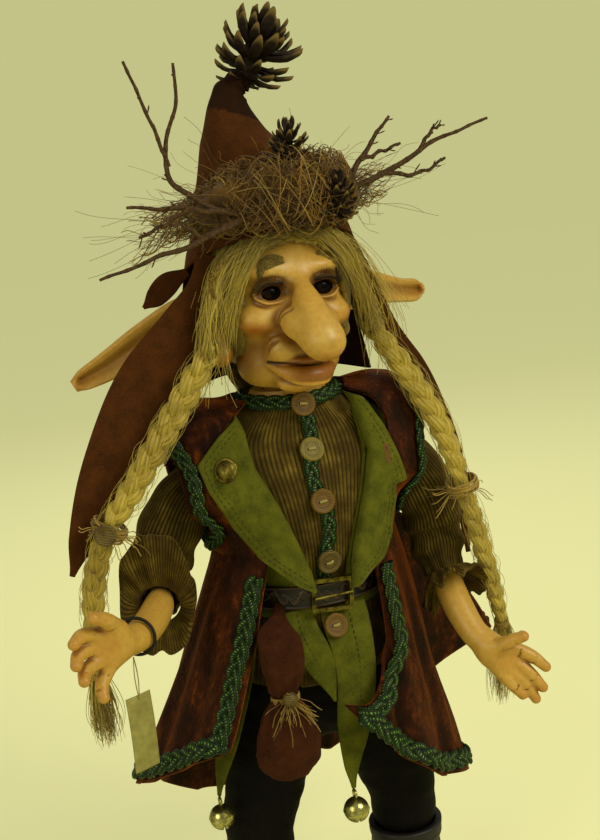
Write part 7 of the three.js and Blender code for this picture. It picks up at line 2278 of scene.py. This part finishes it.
def build_nest(doll):
    """Nest round the front of the hat: a dark lumpy core, with curling fibres wound along and
    round it as drifting helices, and golden ones at its left end."""
    def lumps(angle, f):
        return 1.4 * np.sin(angle * 3 + f * 17) + 1.1 * np.sin(angle * 2 - f * 26) - 2.2
    rings = swept(NEST, (0, 0, 1), 60, 120, lumps)
    lumpy = 1.0 * waves(rings, 6, 91) + 0.6 * waves(rings, 2.5, 92)
    rings = rings + outward_normals(rings) * lumpy[..., None]
    piece("nest_core", Shape().loft(rings, tint=0.12), finish("nest_fibre"), "head",
          ["nest"], outward=True)
    rng = np.random.default_rng(93)
    for name, look, count, low, high in (("nest_moss", "nest_fibre", doll.nest_strands, -0.05, 1.0),
                                         ("nest_raffia", "raffia", doll.nest_strands // 3, 0.45, 1.05)):
        f = np.linspace(0, 1, 16)[None]
        start = rng.uniform(low, high, (count, 1))
        if look == "raffia":
            start[: count // 3] = rng.uniform(-0.16, 0.12, (count // 3, 1))
        t = start + rng.uniform(0.06, 0.30, (count, 1)) * rng.choice([-1, 1], (count, 1)) * f
        s = np.asarray(NEST, float)
        centre = curve(s, np.clip(t.ravel(), 0, 1)).reshape(count, 16, 3)
        size = row_at(s[:, 3:], np.clip(t, 0, 1) * 5)
        over = (t - np.clip(t, 0, 1))[..., None] * np.array([110, 20, 30])
        a = rng.uniform(0, TAU, (count, 1)) + rng.uniform(-3.5, 3.5, (count, 1)) * f
        wide = rng.uniform(0.75, 1.42, (count, 1))
        drift = 0.18 * np.sin(f * rng.uniform(4, 14, (count, 1)) + rng.uniform(0, TAU, (count, 1)))
        r = wide + drift
        radial = np.stack([0.25 * np.cos(a * 0 + start * 6), -np.sin(a), np.cos(a)], -1)
        lift = np.stack([0 * r, size[..., 1] * r, size[..., 0] * r * 0.92], -1)
        paths = centre + over + radial * np.where(lift == 0, 3.0, lift)
        shape = Shape().strands(paths, rng.uniform(0.16, 0.36, (count, 1)) * np.ones((1, 16)), 3,
                                np.clip(rng.normal(0.45, 0.28, count), 0, 1))
        stray = count // 5
        base = paths[:stray, 8]
        way = unit(base - np.array([0, 0, 500.0])) * [1, 0.3, 1]
        way = way + rng.normal(0, 0.5, (stray, 3)) * [1, 0.35, 1]
        g = np.linspace(0, 1, 14)[None, :, None]
        long = rng.uniform(8, 34, (stray, 1, 1))
        curl = 2.2 * np.sin(g * rng.uniform(3, 9, (stray, 1, 3)) + rng.uniform(0, 6, (stray, 1, 3)))
        hairs = base[:, None] + way[:, None] * long * g + curl * g
        shape.strands(hairs, 0.13, 3, rng.uniform(0.1, 1, stray))
        piece(name, shape, finish(look), "head")


def build_ties(doll):
    """Raffia wound round each plait and flap, with loose ends, and the small button on the right."""
    for name in ("right", "left"):
        rng = np.random.default_rng(101 + len(name))
        f = np.linspace(0, 1, 400)
        centre, tangent, side, out, _ = along_plait(name, f)
        k = int(np.argmin(np.linalg.norm(centre - np.array(TIES[name]), axis=1)))
        at, way = centre[k], tangent[k]
        one, two = side[k], out[k]
        shape = Shape()
        for turn in range(14):
            a = np.linspace(0, TAU, 40)
            r = rng.uniform(8.4, 10.6) + 0.3 * np.sin(a * 3 + turn)
            shift = rng.uniform(-4, 4) + 1.6 * np.sin(a + turn)
            loop = at + one * (np.cos(a) * r)[:, None] + two * (np.sin(a) * r)[:, None] + way * shift[:, None]
            shape.strands(loop[None], rng.uniform(0.4, 0.75), 6, [rng.uniform(0.2, 0.9)])
        count = 26
        a = rng.uniform(0, TAU, count)
        base = at + one * (np.cos(a) * 9)[:, None] + two * (np.sin(a) * 9)[:, None]
        swing = unit(base - at) * rng.uniform(3, 14, (count, 1)) + rng.normal(0, 4, (count, 3)) + [0, 0, -3]
        g = np.linspace(0, 1, 9)[None, :, None]
        ends = base[:, None] + swing[:, None] * g + 0.8 * np.sin(g * 7 + a[:, None, None]) * g
        shape.strands(ends, 0.3, 4, rng.uniform(0, 1, count))
        drape(piece(f"{name}_tie_raffia", shape, finish("raffia"), None,
                    [f"{name}_flap_tie"]), name)
        if name == "right":
            look = unit((-0.29, -0.95, 0.1))
            profile = [[0.1, 0], [5.6, 0], [6.3, 0.4], [6.5, 1.2], [6.1, 2.3], [5.5, 2.6], [4.8, 2.3],
                       [4.2, 1.9], [2.2, 1.8], [0.1, 1.8]]
            rings = turned(profile, at + look * 11.4, look, 40)
            drape(piece("flap_button_wood", Shape().loft(rings), finish("dark_button"), None,
                        ["flap_button"], outward=True), name)


# Stage
CAMERA_TARGET = Vector((0.007, 0.0, 0.365))
CAMERA_DISTANCE = 0.8
SKY, GROUND = "f1eed0", "e8e8ac"
CAMERA_AZIMUTH, CAMERA_HEIGHT_ANGLE, CAMERA_ROLL = math.radians(-18), math.radians(12), math.radians(6.2)


def build_stage(doll):
    """Camera at the photograph's angle, a plain pale floor and soft studio light."""
    a, e = CAMERA_AZIMUTH, CAMERA_HEIGHT_ANGLE
    level = Vector((math.cos(a), math.sin(a), 0))
    back = Vector((math.sin(a) * math.cos(e), -math.cos(a) * math.cos(e), math.sin(e)))
    upright = back.cross(level)
    right = math.cos(CAMERA_ROLL) * level - math.sin(CAMERA_ROLL) * upright
    up = math.sin(CAMERA_ROLL) * level + math.cos(CAMERA_ROLL) * upright
    place = Matrix((right, up, back)).transposed().to_4x4()
    place.translation = CAMERA_TARGET + CAMERA_DISTANCE * back
    data = bpy.data.cameras.new("camera")
    data.sensor_fit = "VERTICAL"
    data.angle = doll.view_angle
    data.clip_start, data.clip_end = 0.01, 50
    camera = bpy.data.objects.new("camera", data)
    camera.matrix_world = place
    scene = bpy.context.scene
    scene.collection.objects.link(camera)
    scene.camera = camera
    scene.view_settings.view_transform = "Standard"
    world = bpy.data.worlds.new("studio")
    world.use_nodes = True
    tree = world.node_tree
    sky, ground = rgb(SKY), rgb(GROUND)
    lit = tree.nodes["Background"]
    lit.inputs["Color"].default_value = srgb(SKY)
    lit.inputs["Strength"].default_value = doll.fill_light
    seen = add(tree, "Background", {"Color": (*(ground * (sky * doll.fill_light + doll.floor_glow)), 1)})
    direct = worked(tree, add(tree, "LightPath", output="Is Camera Ray"), "MAXIMUM",
                    add(tree, "LightPath", output="Is Transmission Ray"))
    mixed = add(tree, "MixShader", {0: direct, 1: lit.outputs[0], 2: seen})
    tree.links.new(mixed, tree.nodes["World Output"].inputs["Surface"])
    scene.world = world
    for name, at, size, power, tint in (
        ("key", (0.75, -1.1, 1.25), 0.9, doll.key_light, "fff6e0"),
        ("side", (-1.2, -0.7, 0.8), 0.9, doll.key_light * 0.35, "fff3dc"),
        ("back", (0.3, 1.2, 1.2), 1.0, doll.key_light * 0.3, "fffaf0"),
    ):
        lamp = bpy.data.lights.new(name, "AREA")
        lamp.shape, lamp.size, lamp.energy = "DISK", size, power
        lamp.color = srgb(tint)[:3]
        made = bpy.data.objects.new(name, lamp)
        made.location = at
        made.rotation_euler = (Vector((0, 0, 0.36)) - Vector(at)).to_track_quat("-Z", "Y").to_euler()
        scene.collection.objects.link(made)
    rim = np.arange(96) / 96 * TAU
    disc = np.stack([np.cos(rim) * 6000, np.sin(rim) * 6000, np.full(96, -0.6)], 1)
    mesh = bpy.data.meshes.new("floor")
    mesh.from_pydata((disc * MM).tolist(), [], [list(range(96))])
    material, tree = new_material("pale_floor", 0.9, 0.0, Base_Color=srgb(GROUND),
                                  Emission_Color=srgb(GROUND))
    glow = worked(tree, add(tree, "LightPath", output="Is Camera Ray"), "MULTIPLY", doll.floor_glow)
    tree.links.new(glow, tree.nodes["Principled BSDF"].inputs["Emission Strength"])
    mesh.materials.append(material)
    floor = bpy.data.objects.new("floor", mesh)
    scene.collection.objects.link(floor)


class DollSettings(bpy.types.PropertyGroup):
    """Sizes and counts that the builders read."""
    view_angle: bpy.props.FloatProperty(
        name="View angle", description="Vertical angle that the camera sees",
        default=2 * math.atan(420 / 1280), subtype="ANGLE", unit="ROTATION")
    fill_light: bpy.props.FloatProperty(
        name="Fill light", description="Strength of the even light from all round", default=0.34)
    key_light: bpy.props.FloatProperty(
        name="Key light", description="Power of the largest lamp in watts", default=13.0)
    floor_glow: bpy.props.FloatProperty(
        name="Floor glow", description="Extra light of floor and background, for the camera only",
        default=0.38)
    hair_strands: bpy.props.IntProperty(
        name="Hair strands", description="Strands in each side of the wig", default=900, min=10)
    nest_strands: bpy.props.IntProperty(
        name="Nest strands", description="Fibres in the nest on the hat", default=900, min=10)
    head_voxel: bpy.props.FloatProperty(
        name="Head cell", description="Grid cell that the face is cut from, in millimetres", default=0.8)
    hand_voxel: bpy.props.FloatProperty(
        name="Hand cell", description="Grid cell that the hands are cut from, in millimetres", default=0.7)


class BuildPiece:
    """Shared run of every operator here: it calls the class's own builder with the settings."""
    bl_options = {"REGISTER", "UNDO"}

    def execute(self, context):
        type(self).build(context.scene.doll)
        return {"FINISHED"}


def operator(label, build):
    """Operator class for one builder, its name from the builder's and its text from its docstring."""
    key = build.__name__.removeprefix("build_")
    return type(f"DOLL_OT_{key}", (BuildPiece, bpy.types.Operator), {
        "__doc__": build.__doc__, "bl_idname": f"doll.{key}", "bl_label": label, "build": staticmethod(build),
    })


OPERATORS = [
    operator("Stage", build_stage),
    operator("Shirt", build_shirt),
    operator("Waistcoat", build_waistcoat),
    operator("Lapels", build_lapels),
    operator("Coat", build_coat),
    operator("Coat gimp", build_coat_gimp),
    operator("Shirt gimp", build_shirt_gimp),
    operator("Belt", build_belt),
    operator("Buttons", build_buttons),
    operator("Pouch", build_pouch),
    operator("Bells", build_bells),
    operator("Sleeves", build_sleeves),
    operator("Wrist", build_wrist),
    operator("Head", build_head),
    operator("Hands", build_hands),
    operator("Breeches", build_breeches),
    operator("Boots", build_boots),
    operator("Hat", build_hat),
    operator("Flaps", build_flaps),
    operator("Nape flap", build_nape),
    operator("Plaits", build_plaits),
    operator("Wig", build_wig),
    operator("Cones", build_cones),
    operator("Twigs", build_twigs),
    operator("Nest", build_nest),
    operator("Ties", build_ties),
    operator("Catkin", build_catkin),
    operator("Carried nodes", build_carried),
]


class DOLL_PT_panel(bpy.types.Panel):
    """Panel that lists the operators in the order in which they run."""
    bl_label = "Porcelain elf doll"
    bl_idname = "DOLL_PT_panel"
    bl_space_type = "VIEW_3D"
    bl_region_type = "UI"
    bl_category = "Doll"

    def draw(self, context):
        for kind in OPERATORS:
            self.layout.operator(kind.bl_idname)


CLASSES = [DollSettings, *OPERATORS, DOLL_PT_panel]


def register():
    """Registers every class and the settings."""
    for kind in CLASSES:
        bpy.utils.register_class(kind)
    bpy.types.Scene.doll = bpy.props.PointerProperty(type=DollSettings)


def unregister():
    """Takes them away again, the last first."""
    del bpy.types.Scene.doll
    for kind in reversed(CLASSES):
        bpy.utils.unregister_class(kind)


def main():
    """Runs every builder and writes the extents before and after."""
    register()
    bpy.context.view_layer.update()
    for kind in OPERATORS:
        getattr(bpy.ops.doll, kind.bl_idname.split(".")[1])()


if __name__ == "__main__":
    main()
